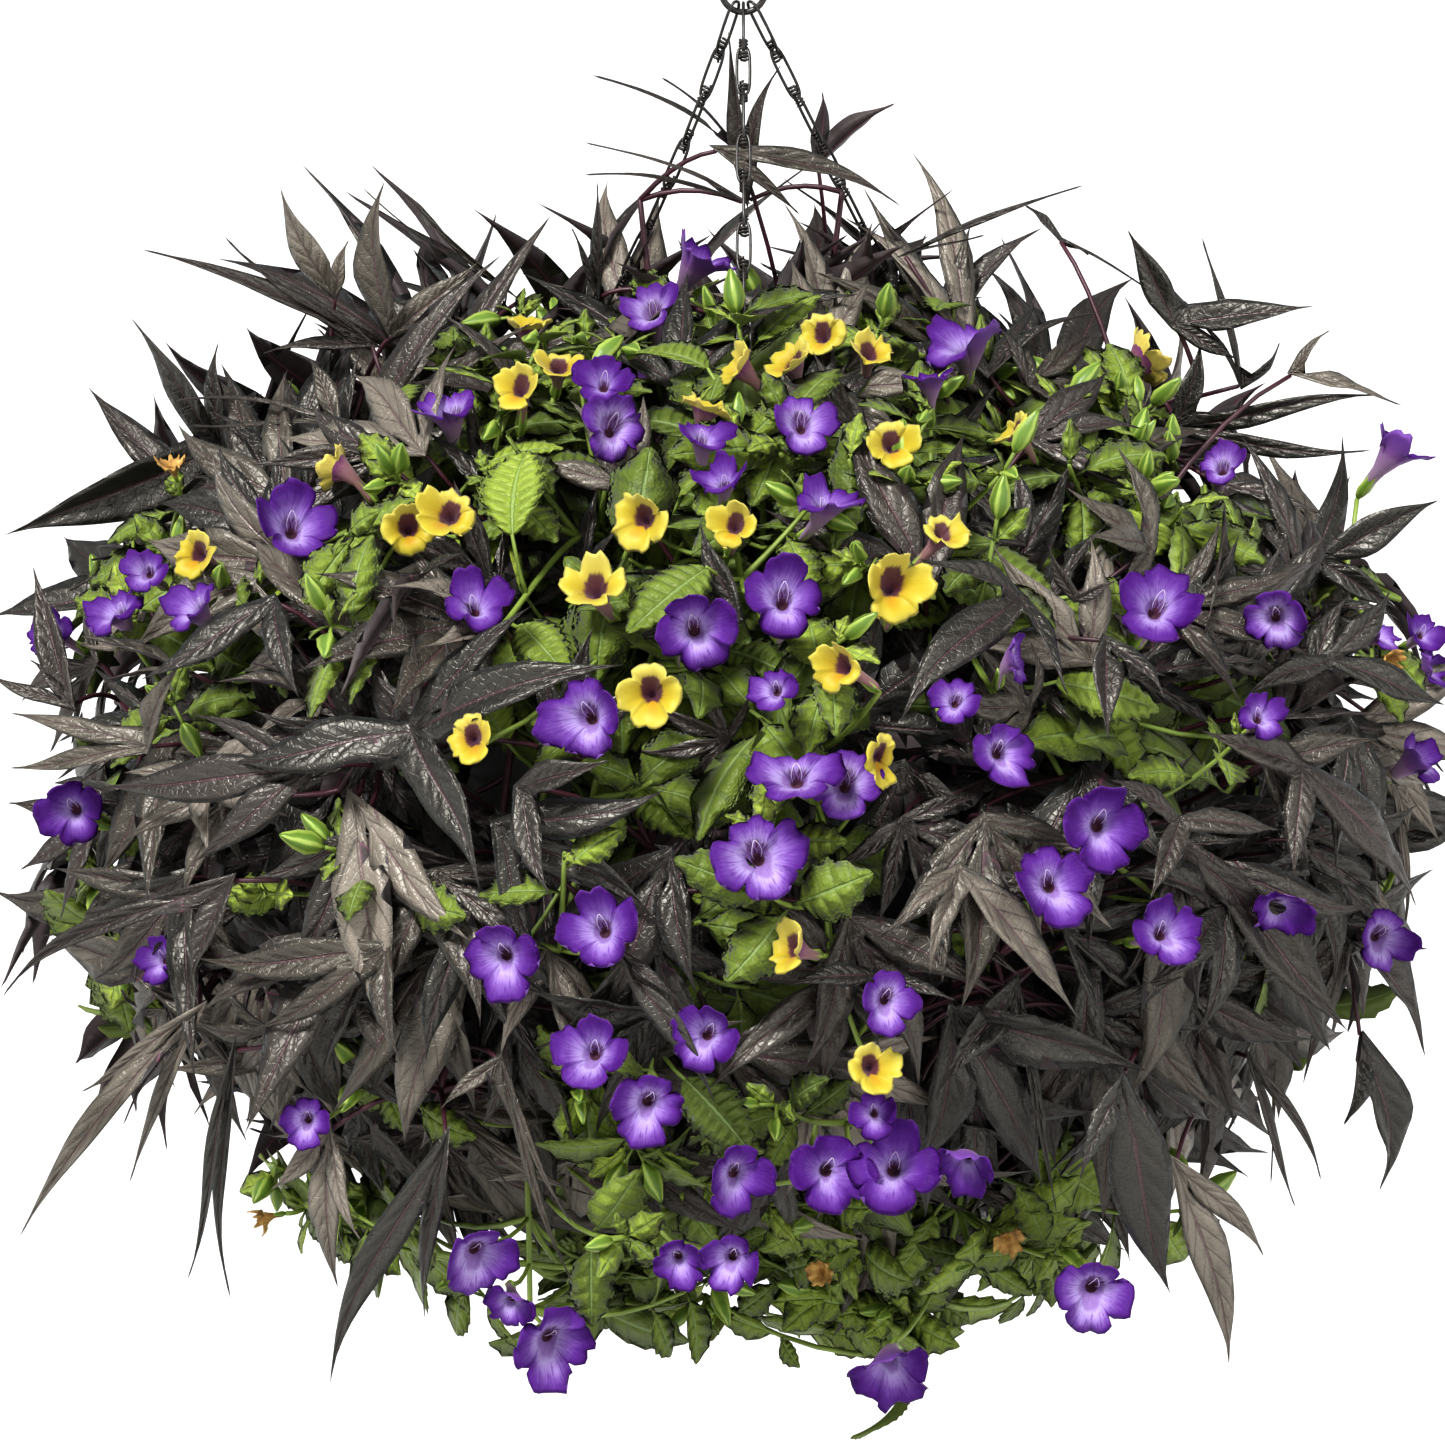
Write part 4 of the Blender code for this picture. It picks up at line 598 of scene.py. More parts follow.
def turned(profile, sides):
    """A solid turned about Z. An end of its profile that is off the axis is closed with one flat
    face."""
    shape = Shape()
    rings = []
    for radius, z in profile:
        if radius == 0:
            shape.points.append(Vector((0, 0, z)))
            rings.append([len(shape.points) - 1])
        else:
            rings.append(shape.ring(Vector((0, 0, z)), RIGHT, Vector((0, 1, 0)), radius, sides))
    for one, two in zip(rings, rings[1:]):
        if len(one) == 1 or len(two) == 1:
            tip = (one if len(one) == 1 else two)[0]
            loop = two if len(one) == 1 else one
            for k in range(sides):
                shape.face(tip, loop[k], loop[(k + 1) % sides], 0)
        else:
            shape.band(one, two, 0)
    for ring in (rings[0], rings[-1]):
        if len(ring) > 1:
            shape.faces.append(tuple(ring))
            shape.paints.append(0)
    return shape


def pot_shape():
    """The pot's wall, floor and lip, turned round its axis."""
    base = RIM_Z - POT_DEPTH
    return turned(
        (
            (0, base),
            (POT_BASE_RADIUS, base),
            (POT_RADIUS, RIM_Z - POT_WALL),
            (POT_RADIUS + LIP_WIDTH, RIM_Z - POT_WALL),
            (POT_RADIUS + LIP_WIDTH, RIM_Z),
            (POT_RADIUS - POT_WALL, RIM_Z),
            (POT_BASE_RADIUS - POT_WALL, base + POT_WALL),
            (0, base + POT_WALL),
        ),
        POT_SIDES,
    )


# Stems


def stem_ends():
    """Each stem's kind and the point under the mound's surface where it ends."""
    ends = []
    for kind, places in NEAR_STEMS.items():
        for px, py in places:
            ends.append((kind, on_mound(px, py, TIP_SINK[kind]), True))
    for kind, places in FAR_STEMS.items():
        for turn, rise in places:
            ends.append((kind, round_mound(turn, rise, TIP_SINK[kind]), False))
    return ends


# Degrees of rise at which a stem stands on the inmost ring, and over how many it moves to the outmost
INNER_RISE = 65
RISE_RANGE = 90
ROOT_ROUNDS = 200
EASING = 0.5


def stem_roots(ends):
    """Where each stem stands in the soil: stems that end low stand near the rim, and none touch."""
    places = []
    for _, end, _ in ends:
        d = end - MOUND_CENTRE
        rise = math.degrees(math.atan2(d.z, math.hypot(d.x, d.y)))
        t = min(max((INNER_RISE - rise) / RISE_RANGE, 0), 1)
        ring = ROOT_RING_MIN + (ROOT_RING_MAX - ROOT_RING_MIN) * t
        a = math.atan2(end.x, -end.y)
        places.append((ring * math.sin(a), -ring * math.cos(a)))
    places = np.array(places)
    for _ in range(ROOT_ROUNDS):
        away = places[:, None] - places[None]
        far = np.hypot(away[..., 0], away[..., 1]) + np.eye(len(places))
        push = np.clip(ROOT_SPACING - far, 0, None) * EASING
        np.fill_diagonal(push, 0)
        places += (away / far[..., None] * push[..., None]).sum(1) * EASING
        ring = np.hypot(places[:, 0], places[:, 1])
        places *= (np.minimum(ring, ROOT_RING_MAX) / ring)[:, None]
    return places


# A stem that ends nearer the middle than this rises straight; one that ends farther out than
# RIM_REACH, and lower than LOW_END above the rim, crosses the rim
MIDDLE_REACH = 0.02
RIM_REACH = 0.12
LOW_END = 0.10
CROSSING_PART = 0.93
# Beside the pot: how far under the rim a stem has to end to run down there, where it passes, and the
# part of its lift that counts outward and upward
FLANK_START = 0.02
FLANK_OUT = 0.7
FLANK_DROP = 0.006
FLANK_LIFT = 0.4
# A stem that ends lower than this has one more point, which lies this much farther out
DEEP_START = 0.11
DEEP_OUT = (0.004, 0.03)
DEEP_PART = 0.55
# A stem inside the rim bends this part of its way out, at this height over the soil
INNER_PART = 0.35
INNER_HEIGHT = 0.035


def stem_line(root, end, lift, sway):
    """A stem's points: up out of its hole, over the rim if it ends outside, and on to its end."""
    bend = Matrix.Rotation(sway, 3, "Z")
    soil = RIM_Z - SOIL_BELOW_RIM
    start = Vector((root[0], root[1], soil - HOLE_DEPTH + GAP * 2))
    neck = Vector((root[0], root[1], soil + NECK_HEIGHT))
    out = Vector((end.x, end.y, 0))
    reach = out.length
    out = out.normalized() if reach > MIDDLE_REACH else Vector((root[0], root[1], 0)).normalized()
    points = [start, neck]
    lip = POT_RADIUS + LIP_WIDTH
    if reach > RIM_REACH and end.z < RIM_Z + LOW_END:
        over = bend @ out * (lip * CROSSING_PART) + UP * (RIM_Z + CROSSING_HEIGHT + lift)
        points.append(over)
        if end.z < RIM_Z - FLANK_START:
            wide = lip + FLANK_GAP + lift * FLANK_OUT
            points.append(bend @ out * wide + UP * (RIM_Z - FLANK_DROP + lift * FLANK_LIFT))
            if end.z < RIM_Z - DEEP_START:
                flank = max(wide + DEEP_OUT[0], min(reach, wide + DEEP_OUT[1]))
                down = RIM_Z * (1 - DEEP_PART) + end.z * DEEP_PART
                points.append(bend @ out * flank + UP * down)
    else:
        middle = Vector((root[0], root[1], 0)).lerp(out * reach, INNER_PART)
        points.append(bend @ middle + UP * (soil + INNER_HEIGHT + lift))
    points.append(end)
    return points


# Leaves and blooms


def vine_leaf_shape(leaf):
    """A palmate leaf: long pointed lobes round the stalk's end, each ridged along its middle."""
    base, normal, tips, root = leaf["base"], leaf["normal"], leaf["tips"], leaf["root"]
    shape = Shape()
    main = (tips[0] - base).normalized()
    side = normal.cross(main).normalized()

    def angle(point):
        d = point - base
        return math.atan2(d.dot(side), d.dot(main)) % math.tau

    tips = sorted(tips, key=angle)
    count = len(tips)
    angles = [angle(t) for t in tips]
    lift = normal * BLADE_HALF
    reach = [(t - base).length for t in tips]
    lower = []
    upper_centre = len(shape.points)
    shape.points.append(base + lift)
    sinus = []
    for k in range(count):
        n = (k + 1) % count
        gap = (angles[n] - angles[k]) % math.tau
        if count == 1:
            gap = math.tau
        middle = angles[k] + gap / 2
        deep = NOTCH_REACH if gap < WIDE_NOTCH else WIDE_NOTCH_REACH
        size = deep * (reach[k] + reach[n]) / 2
        flat = main * math.cos(middle) + side * math.sin(middle)
        sinus.append((middle, base + flat * size))
    first = len(shape.points)
    shape.points.extend(p for _, p in sinus)
    sinus_ids = list(range(first, first + count))
    for k in range(count):
        tip = tips[k]
        along = tip - base
        length = along.length
        line = along.normalized()
        cross = normal.cross(line).normalized()
        ridge = base + along * RIDGE_AT + normal * (RIDGE_RISE * length)
        after = (angles[(k + 1) % count] - angles[k]) % math.tau
        room = min((angles[k] - angles[k - 1]) % math.tau, after)
        half = LOBE_WIDTH * length * leaf["breadth"] / 2
        if 0 < room < CROWDED:
            half = min(half, CROWDED_PART * length * math.tan(room / 2))
        margin = normal * (MARGIN_RISE * length)
        first = len(shape.points)
        shape.points.extend(
            (
                ridge + lift,
                ridge - lift,
                base + along * WIDEST_AT - cross * half + margin,
                base + along * WIDEST_AT + cross * half + margin,
                tip,
            )
        )
        top, bottom, right, left, point = range(first, first + 5)
        before = sinus_ids[k - 1]
        after = sinus_ids[k]
        for ridge_id in (top, bottom):
            shape.face(before, right, ridge_id, VINE_PAINT)
            shape.face(right, point, ridge_id, VINE_PAINT)
            shape.face(point, left, ridge_id, VINE_PAINT)
            shape.face(left, after, ridge_id, VINE_PAINT)
        shape.face(upper_centre, before, top, VINE_PAINT)
        shape.face(upper_centre, top, after, VINE_PAINT)
        lower.append((angles[k], bottom))
        lower.append((sinus[k][0] % math.tau, after))
    lower.sort()
    axis = (root - base).normalized()
    one = main - axis * main.dot(axis)
    one.normalize()
    rings = []
    for centre, radius in ((base - lift, LEAF_END_PART), (root, ROOT_PART)):
        first = len(shape.points)
        for k in range(3):
            a = math.tau * k / 3
            spot = one * math.cos(a) + normal.cross(one).normalized() * math.sin(a)
            shape.points.append(centre + spot * (PETIOLE_RADIUS * radius))
        rings.append([first, first + 1, first + 2])
    ring_angles = [angle(shape.points[k]) for k in rings[0]]
    order = sorted(range(3), key=lambda k: ring_angles[k])
    inner = [rings[0][k] for k in order]
    inner_angles = [ring_angles[k] for k in order]
    shape.zip_rings([i for _, i in lower], [a for a, _ in lower], inner, inner_angles, VINE_PAINT)
    shape.band(rings[0], rings[1], STALK_PAINT)
    shape.cap(rings[1], STALK_PAINT)
    return shape


# A leaf's rim: parts of its length and of its greatest half width
LEAF_TEETH = ((0.14, 0.78), (0.36, 1.0), (0.46, 0.80), (0.70, 0.68))


def leaf_shape(leaf):
    """An ovate leaf with its side teeth, on its stalk."""
    base, normal, tip, root = leaf["base"], leaf["normal"], leaf["tips"][0], leaf["root"]
    along = tip - base
    length = along.length
    line = along.normalized()
    normal = (normal - line * normal.dot(line)).normalized()
    cross = normal.cross(line)
    shape = Shape()
    half = LEAF_HALF_WIDTH * length
    size = PETIOLE_RADIUS * LEAF_STALK_PART
    arch = normal * (LEAF_ARCH * length)
    shape.points.extend((base - cross * size + normal * size, base + cross * size + normal * size))
    shape.points.append(base - normal * size)
    shape.points.append(tip)
    shape.points.append(base + along * LEAF_RIDGE_AT + arch + normal * BLADE_HALF)
    shape.points.append(base + along * LEAF_RIDGE_AT + arch - normal * BLADE_HALF)
    sides = []
    for way in (-1, 1):
        first = len(shape.points)
        for s, w in LEAF_TEETH:
            rise = normal * (LEAF_MARGIN_ARCH * length * s * (1 - s))
            shape.points.append(base + along * s + cross * (way * half * w) + rise)
        sides.append(list(range(first, first + len(LEAF_TEETH))))
    for way, ids in enumerate(sides):
        rim = [way, *ids, 3]
        for one, two in zip(rim, rim[1:]):
            shape.face(one, two, 4, LEAF_PAINT)
            shape.face(one, two, 5, LEAF_PAINT)
        shape.face(way, 2, 5, LEAF_PAINT)
    shape.face(0, 1, 4, LEAF_PAINT)
    first = len(shape.points)
    near = PETIOLE_RADIUS * ROOT_PART
    shape.points.extend((root - cross * near + normal * near, root + cross * near + normal * near))
    shape.points.append(root - normal * near)
    shape.band([0, 1, 2], [first, first + 1, first + 2], STEM_PAINT)
    shape.cap([first, first + 1, first + 2], STEM_PAINT)
    return shape


# Outlines of a bloom's face, as degrees round from the right and parts of the half width
FULL_FACE = (
    (-112, 1.0), (-68, 1.0), (-44, 0.72), (-16, 1.0), (22, 0.94), (42, 0.70), (64, 0.92),
    (116, 0.92), (138, 0.70), (158, 0.94), (196, 1.0), (224, 0.72),
)
SMALL_FACE = (
    (-110, 1.0), (-70, 1.0), (-38, 0.70), (5, 1.0), (45, 0.72), (90, 0.92), (135, 0.72),
    (175, 1.0), (218, 0.70),
)


def bloom_shape(bloom):
    """A two-lipped bloom: four lobes round a sunken throat, a tube and calyx, and a stalk."""
    centre, facing, width, root = bloom["base"], bloom["normal"], bloom["width"], bloom["root"]
    rise, left = across(facing, UP)
    paint = MARK_PAINT if bloom["kind"] == "yellow" else PETAL_PAINT
    outline = SMALL_FACE if width < PLAIN_BLOOM or bloom["kind"] == "yellow" else FULL_FACE
    shape = Shape()
    shape.points.append(centre - facing * (THROAT_DEPTH * width))
    angles = []
    for degrees, part in outline:
        a = math.radians(degrees)
        angles.append(a % math.tau)
        flat = (rise * math.sin(a) - left * math.cos(a)) * (part * width / 2)
        back = facing * (width * NOTCH_BACK * (1 - part))
        lean = facing * (width * FACE_LEAN * math.sin(a))
        shape.points.append(centre + flat - back - lean)
    rim = list(range(1, len(outline) + 1))
    for k, one in enumerate(rim):
        shape.face(one, rim[(k + 1) % len(rim)], 0, paint)
    mouth = centre - facing * (MOUTH_DEPTH * width)
    end = bloom["calyx"]
    axis = (root - end).normalized()
    rings = []
    for place, radius, axis_here in (
        (mouth, MOUTH_RADIUS * width, -facing),
        (end, CALYX_END_RADIUS, -facing),
        (root, PETIOLE_RADIUS * ROOT_PART, axis),
    ):
        up, _ = across(axis_here, rise)
        sideways = up.cross(-axis_here)
        first = len(shape.points)
        for k in range(3):
            a = math.tau * k / 3 - math.pi / 2
            shape.points.append(place + (sideways * math.cos(a) + up * math.sin(a)) * radius)
        rings.append(list(range(first, first + 3)))
    ring_angles = []
    for k in rings[0]:
        d = shape.points[k] - mouth
        ring_angles.append(math.atan2(d.dot(rise), -d.dot(left)) % math.tau)
    first = min(range(len(angles)), key=lambda k: angles[k])
    turned_rim = rim[first:] + rim[:first]
    turned_angles = angles[first:] + angles[:first]
    order = sorted(range(3), key=lambda k: ring_angles[k])
    shape.zip_rings(
        turned_rim,
        turned_angles,
        [rings[0][k] for k in order],
        [ring_angles[k] for k in order],
        paint,
    )
    shape.band(rings[0], rings[1], STEM_PAINT)
    shape.band(rings[1], rings[2], STEM_PAINT)
    shape.cap(rings[2], STEM_PAINT)
    return shape


SHAPES = {
    "vine_leaf": vine_leaf_shape,
    "leaf": leaf_shape,
    "purple": bloom_shape,
    "yellow": bloom_shape,
}


# Planting


def crosses_itself(shape, tree):
    """Whether two triangles that share no corner meet."""
    for one, two in tree.overlap(tree):
        if one < two and not set(shape.faces[one]) & set(shape.faces[two]):
            return True
    return False


def blade_faces(shape):
    """The faces of a shape that aren't of stems or stalks."""
    return [f for f, p in zip(shape.faces, shape.paints) if p not in (STEM_PAINT, STALK_PAINT)]


def blown(shape, by):
    """The shape's points, moved outwards by a margin."""
    points = np.array([tuple(p) for p in shape.points])
    faces = np.array(shape.faces)
    a, b, c = (points[faces[:, k]] for k in range(3))
    normals = np.cross(b - a, c - a)
    size = np.linalg.norm(normals, axis=1, keepdims=True)
    normals = normals / np.maximum(size, 1e-12)
    total = np.zeros_like(points)
    for k in range(3):
        np.add.at(total, faces[:, k], normals)
    size = np.linalg.norm(total, axis=1, keepdims=True)
    return points + total / np.maximum(size, 1e-9) * by


class Planting:
    """The stems with all that grows on them, and a test that keeps each plant clear of the rest."""

    def __init__(self):
        self.plants = []
        self.lows = []
        self.highs = []
        self.trees = []
        self.blades = []
        self.owners = []

    def block(self, shape, owner):
        """Adds a shape that the others have to keep clear of."""
        points = np.array([tuple(p) for p in shape.points])
        self.lows.append(points.min(0))
        self.highs.append(points.max(0))
        corners = [tuple(p) for p in points]
        self.trees.append(BVHTree.FromPolygons(corners, shape.faces))
        blades = blade_faces(shape)
        self.blades.append(BVHTree.FromPolygons(corners, blades) if blades else None)
        self.owners.append(owner)

    def clear(self, shape, owner, margin=CLEARANCE, apart=False):
        """Whether the shape keeps a margin to the other plants. With apart, its blades also miss
        whatever grows on its own stem."""
        points = blown(shape, margin)
        low = points.min(0)
        high = points.max(0)
        near = np.all((np.array(self.lows) <= high) & (np.array(self.highs) >= low), axis=1)
        own = np.array(self.owners) == owner
        corners = [tuple(p) for p in points]
        tree = BVHTree.FromPolygons(corners, shape.faces)
        for k in np.nonzero(near & ~own)[0]:
            if tree.overlap(self.trees[k]):
                return False
        if apart:
            blades = blade_faces(shape)
            blade_tree = BVHTree.FromPolygons(corners, blades)
            for k in np.nonzero(near & own)[0]:
                if blade_tree.overlap(self.trees[k]):
                    return False
                if self.blades[k] and tree.overlap(self.blades[k]):
                    return False
        exact = BVHTree.FromPolygons([tuple(p) for p in shape.points], shape.faces)
        return not crosses_itself(shape, exact)

    def nearest_stems(self, kind, point, most):
        """Places to grow from: the plants of a kind, the nearest first, with a point of each stem."""
        found = []
        for number, plant in enumerate(self.plants):
            if plant["kind"] != kind:
                continue
            line = plant["line"]
            best = min(((line[k] - point).length, k) for k in range(GROW_FROM, len(line)))
            found.append((best[0], number, best[1]))
        found.sort()
        return found[:most]


def recalculated(shape):
    """The same shape with every face turned outwards."""
    mesh = bpy.data.meshes.new("check")
    mesh.from_pydata([tuple(p) for p in shape.points], [], shape.faces)
    work = bmesh.new()
    work.from_mesh(mesh)
    bpy.data.meshes.remove(mesh)
    bmesh.ops.recalc_face_normals(work, faces=work.faces)
    work.faces.ensure_lookup_table()
    shape.faces = [tuple(v.index for v in f.verts) for f in work.faces]
    work.free()
    return shape


# The last place on a stem is this far back from its end, as a part of its last straight run
END_BACK = 0.02


def fine_line(points):
    """The stem's straight runs, cut into parts, where things may grow."""
    line = []
    for one, two in zip(points, points[1:]):
        for k in range(STEM_PARTS):
            line.append(one.lerp(two, k / STEM_PARTS))
    line.append(points[-1].lerp(points[-2], END_BACK))
    return line


# Bent stems rise by up to ARCH_LIFT where they end high: none this far below the rim, all of it after
# this range. A stem is lifted, swayed by degrees and shifted a little more on each try
ARCH_START = 0.30
ARCH_RANGE = 0.36
LIFT_STEP = 0.0006
SWAY_STEP = 0.35
SHIFT_STEP = 0.0004


def plant_stems(planting):
    """Sets the stems, the lowest first, so that the higher ones arch over them."""
    ends = stem_ends()
    roots = stem_roots(ends)
    counts = {}
    rows = []
    for (kind, end, near), root in zip(ends, roots):
        counts[kind] = counts.get(kind, 0) + 1
        rows.append((end.z, f"{kind}_spray_{counts[kind]:02d}", kind, end, near, root))
    for _, name, kind, end, near, root in sorted(rows, key=lambda row: row[0]):
        radius = STEM_RADIUS[kind]
        chosen = None
        for k in range(STEM_TRIES):
            draw = random.Random(f"{name} {k}")
            high = min(max((end.z - RIM_Z + ARCH_START) / ARCH_RANGE, 0), 1)
            lift = ARCH_LIFT * high + draw.uniform(0, LIFT_STEP * k)
            sway = draw.uniform(-1, 1) * math.radians(SWAY_STEP * k)
            shift = Vector([draw.uniform(-1, 1) for _ in range(3)]) * (SHIFT_STEP * k)
            points = stem_line(root, end + shift, lift, sway)
            radii = [radius, radius]
            radii.extend(radius * (1 - STEM_TAPER * n) for n in range(len(points) - 2))
            outward = Vector((root[0], root[1], 0)).normalized()
            shape = recalculated(tube(points, radii, STEM_SIDES, STEM_PAINT, near=outward))
            if planting.clear(shape, name, STEM_MARGIN):
                chosen = shape
                break
        if chosen is None:
            continue
        paint = STALK_PAINT if kind == "vine" else STEM_PAINT
        chosen.paints = [paint] * len(chosen.faces)
        planting.block(chosen, name)
        planting.plants.append(
            {
                "name": name,
                "kind": kind,
                "near": near,
                "points": points,
                "line": fine_line(points),
                "root": root,
                "shapes": [chosen],
                "grown": [],
            }
        )


def grow(planting, options, *given, seed):
    """Grows the first option that keeps clear of the other plants, at best of its own one too."""
    for apart in (True, False):
        draw = random.Random(f"{SEED} {seed}")
        for number, item in options(planting, *given, draw):
            plant = planting.plants[number]
            if apart and any(abs(one["spot"] - item["spot"]) < 1 for one in plant["grown"]):
                continue
            shape = recalculated(SHAPES[item["kind"]](item))
            if planting.clear(shape, plant["name"], apart=apart):
                planting.block(shape, plant["name"])
                plant["shapes"].append(shape)
                plant["grown"].append(item)
                return


# How a leaf read from the photograph faces: outward, and these parts to the viewer and up
VINE_TO_VIEW = 0.8
VINE_UP = 0.35
# How far a leaf may tilt: on the first try, and more on each one after it
FIRST_TILT = 0.2
TILT_STEP = 0.06
SIDE_PART = 0.3


def vine_leaf_options(planting, places, draw):
    """Ways to set a leaf whose stalk's end and lobe tips are read from the photograph."""
    breadth = draw.uniform(*LOBE_BREADTHS)
    stalk_x, stalk_y = places[0]
    start = mound_distance(stalk_x, stalk_y, STALK_SINK)
    for push in LEAF_PUSHES:
        base = VIEW_POINT + view_ray(stalk_x, stalk_y) * (start + push)
        tips = []
        for px, py in places[1:]:
            most = MOST_SLANT * PIXEL * math.hypot(px - stalk_x, py - stalk_y)
            depth = mound_distance(px, py, LOBE_SINK) - start
            depth = min(max(depth, -most), most)
            tips.append(VIEW_POINT + view_ray(px, py) * (start + push + depth))
        outward = (mound_normal(base) + TO_VIEW * VINE_TO_VIEW + UP * VINE_UP).normalized()
        yield from vine_leaf_ways(planting, base, tips, outward, breadth, draw)


def vine_leaf_ways(planting, base, tips, outward, breadth, draw):
    """Ways to tilt a leaf and to hang it on a stem near by."""
    lobes = sum(((t - base).normalized() for t in tips), Vector())
    main = (lobes * SIDE_PART + tips[0] - base).normalized()
    normal = (outward - main * outward.dot(main)).normalized()
    longest = max((t - base).length for t in tips)
    tips = [t for t in tips if (t - base).length > SHORTEST_LOBE * longest]
    for k in range(LEAF_TILTS):
        tilt = Vector([draw.uniform(-1, 1) for _ in range(3)]) * (FIRST_TILT + TILT_STEP * k)
        turned_normal = (normal + tilt).normalized()
        for far, number, spot in planting.nearest_stems("vine", base, VINE_STEM_CHOICE):
            if far > LONGEST_VINE_STALK:
                continue
            back = (planting.plants[number]["line"][spot] - base).normalized()
            over = max(turned_normal.dot(back) + STALK_LEAN, 0)
            turned_normal = (turned_normal - back * over).normalized()
            if any(abs((t - base).normalized().dot(turned_normal)) > STEEPEST_LOBE for t in tips):
                continue
            yield number, {
                "kind": "vine_leaf",
                "base": base,
                "normal": turned_normal,
                "tips": tips,
                "root": planting.plants[number]["line"][spot],
                "spot": spot,
                "breadth": breadth,
            }


def bloom_ways(planting, kind, centre, facing, width):
    """Ways to hang a bloom on a stem near by."""
    facing = facing.normalized()
    calyx = centre - facing * (BLOOM_DEPTH * width) - UP * (CALYX_DROOP * width)
    for far, number, spot in planting.nearest_stems(kind, calyx, BLOOM_STEM_CHOICE):
        if far > LONGEST_BLOOM_STALK:
            continue
        for shift in STALK_SHIFTS:
            at = max(spot + shift, GROW_FROM)
            if at >= len(planting.plants[number]["line"]):
                continue
            yield number, {
                "kind": kind,
                "base": centre,
                "normal": facing,
                "width": width,
                "calyx": calyx,
                "root": planting.plants[number]["line"][at],
                "spot": at,
            }


# How a bloom faces: these parts outward, to the viewer and up
BLOOM_OUT = 0.7
BLOOM_TO_VIEW = 0.75
BLOOM_UP = 0.12
FAR_BLOOM_UP = 0.2


def bloom_options(planting, kind, place, draw):
    """Ways to set a bloom whose place and width are read from the photograph."""
    px, py, across_pixels, turn = place
    width = max(across_pixels * PIXEL, SMALL_BLOOM)
    for push in BLOOM_PUSHES:
        centre = on_mound(px, py, 0.0, push)
        out = mound_normal(centre)
        for _ in range(BLOOM_TILTS):
            tilt = Vector([draw.uniform(-BLOOM_TILT, BLOOM_TILT) for _ in range(3)])
            facing = (out * BLOOM_OUT + TO_VIEW * BLOOM_TO_VIEW + UP * BLOOM_UP + tilt).normalized()
            a = math.radians(turn)
            facing = Vector(
                (
                    facing.x * math.cos(a) - facing.y * math.sin(a),
                    facing.x * math.sin(a) + facing.y * math.cos(a),
                    facing.z,
                )
            )
            yield from bloom_ways(planting, kind, centre, facing, width)


def bearing(point):
    """Degrees round from the front and degrees above level, seen from the mound's centre."""
    d = point - MOUND_CENTRE
    turn = math.degrees(math.atan2(d.x, -d.y))
    return turn, math.degrees(math.atan2(d.z, math.hypot(d.x, d.y)))


def far_bloom_options(planting, number, kind, draw):
    """Ways to set a bloom of the far side near the end of its stem."""
    end = planting.plants[number]["points"][-1]
    for _ in range(FAR_TRIES):
        spread = Vector([draw.uniform(-1, 1) for _ in range(3)]) * FAR_BLOOM_SPREAD
        turn, rise = bearing(end + spread)
        centre = round_mound(turn, rise, draw.uniform(*FAR_BLOOM_SINK))
        if centre.y < FAR_BLOOM_START:
            continue
        tilt = Vector([draw.uniform(-FAR_BLOOM_TILT, FAR_BLOOM_TILT) for _ in range(3)])
        facing = mound_normal(centre) + UP * FAR_BLOOM_UP + tilt
        width = draw.uniform(*FAR_BLOOM_WIDTH[kind])
        for way in bloom_ways(planting, kind, centre, facing, width):
            if way[0] == number:
                yield way
                break


# The leaves of the far side: above this rise they stand up a little, below it they hang. A tip
# outside the mound is drawn in by up to PULL_BACK
UPRIGHT_RISE = 25
UPRIGHT = 0.25
HANGING = -1.0
FAR_LEAF_OUT = 0.7
FAR_LEAF_UP = 0.2
PULL_BACK = 0.06
VINE_SURFACE = -0.012


def far_vine_options(planting, number, draw):
    """Ways to set a vine leaf of the far side: upright above, hanging below."""
    end = planting.plants[number]["points"][-1]
    for _ in range(FAR_TRIES):
        spread = Vector([draw.uniform(-1, 1) for _ in range(3)]) * FAR_VINE_SPREAD
        turn, rise = bearing(end + spread)
        base = round_mound(turn, rise, draw.uniform(*FAR_VINE_SINK))
        if base.y < 0.0:
            continue
        out = mound_normal(base)
        droop = (UP * (UPRIGHT if rise > UPRIGHT_RISE else HANGING) + out * FAR_LEAF_OUT).normalized()
        side = out.cross(droop).normalized()
        length = draw.uniform(*FAR_LOBE_LENGTH)
        twist = draw.uniform(-FAR_TWIST, FAR_TWIST)
        tips = []
        for a, part in FAR_LOBES[: draw.choice(FAR_LOBE_CHOICE)]:
            way = droop * math.cos(a + twist) + side * math.sin(a + twist)
            tip = base + way * (length * part)
            level = mound_level(tip, VINE_SURFACE)
            if level > 1:
                tip = tip - mound_normal(tip) * (PULL_BACK * min(level - 1, 1))
            tips.append(tip)
        for way in vine_leaf_ways(planting, base, tips, out + UP * FAR_LEAF_UP, 1.0, draw):
            if way[0] == number:
                yield way
                break


# How a green leaf lies: these parts along its stem, outward and down, and its face outward and up
LEAF_ALONG = 0.9
LEAF_OUT = 0.15
LEAF_DOWN = 0.25
LEAF_UP = 0.3
LEAF_SURFACE = -0.01


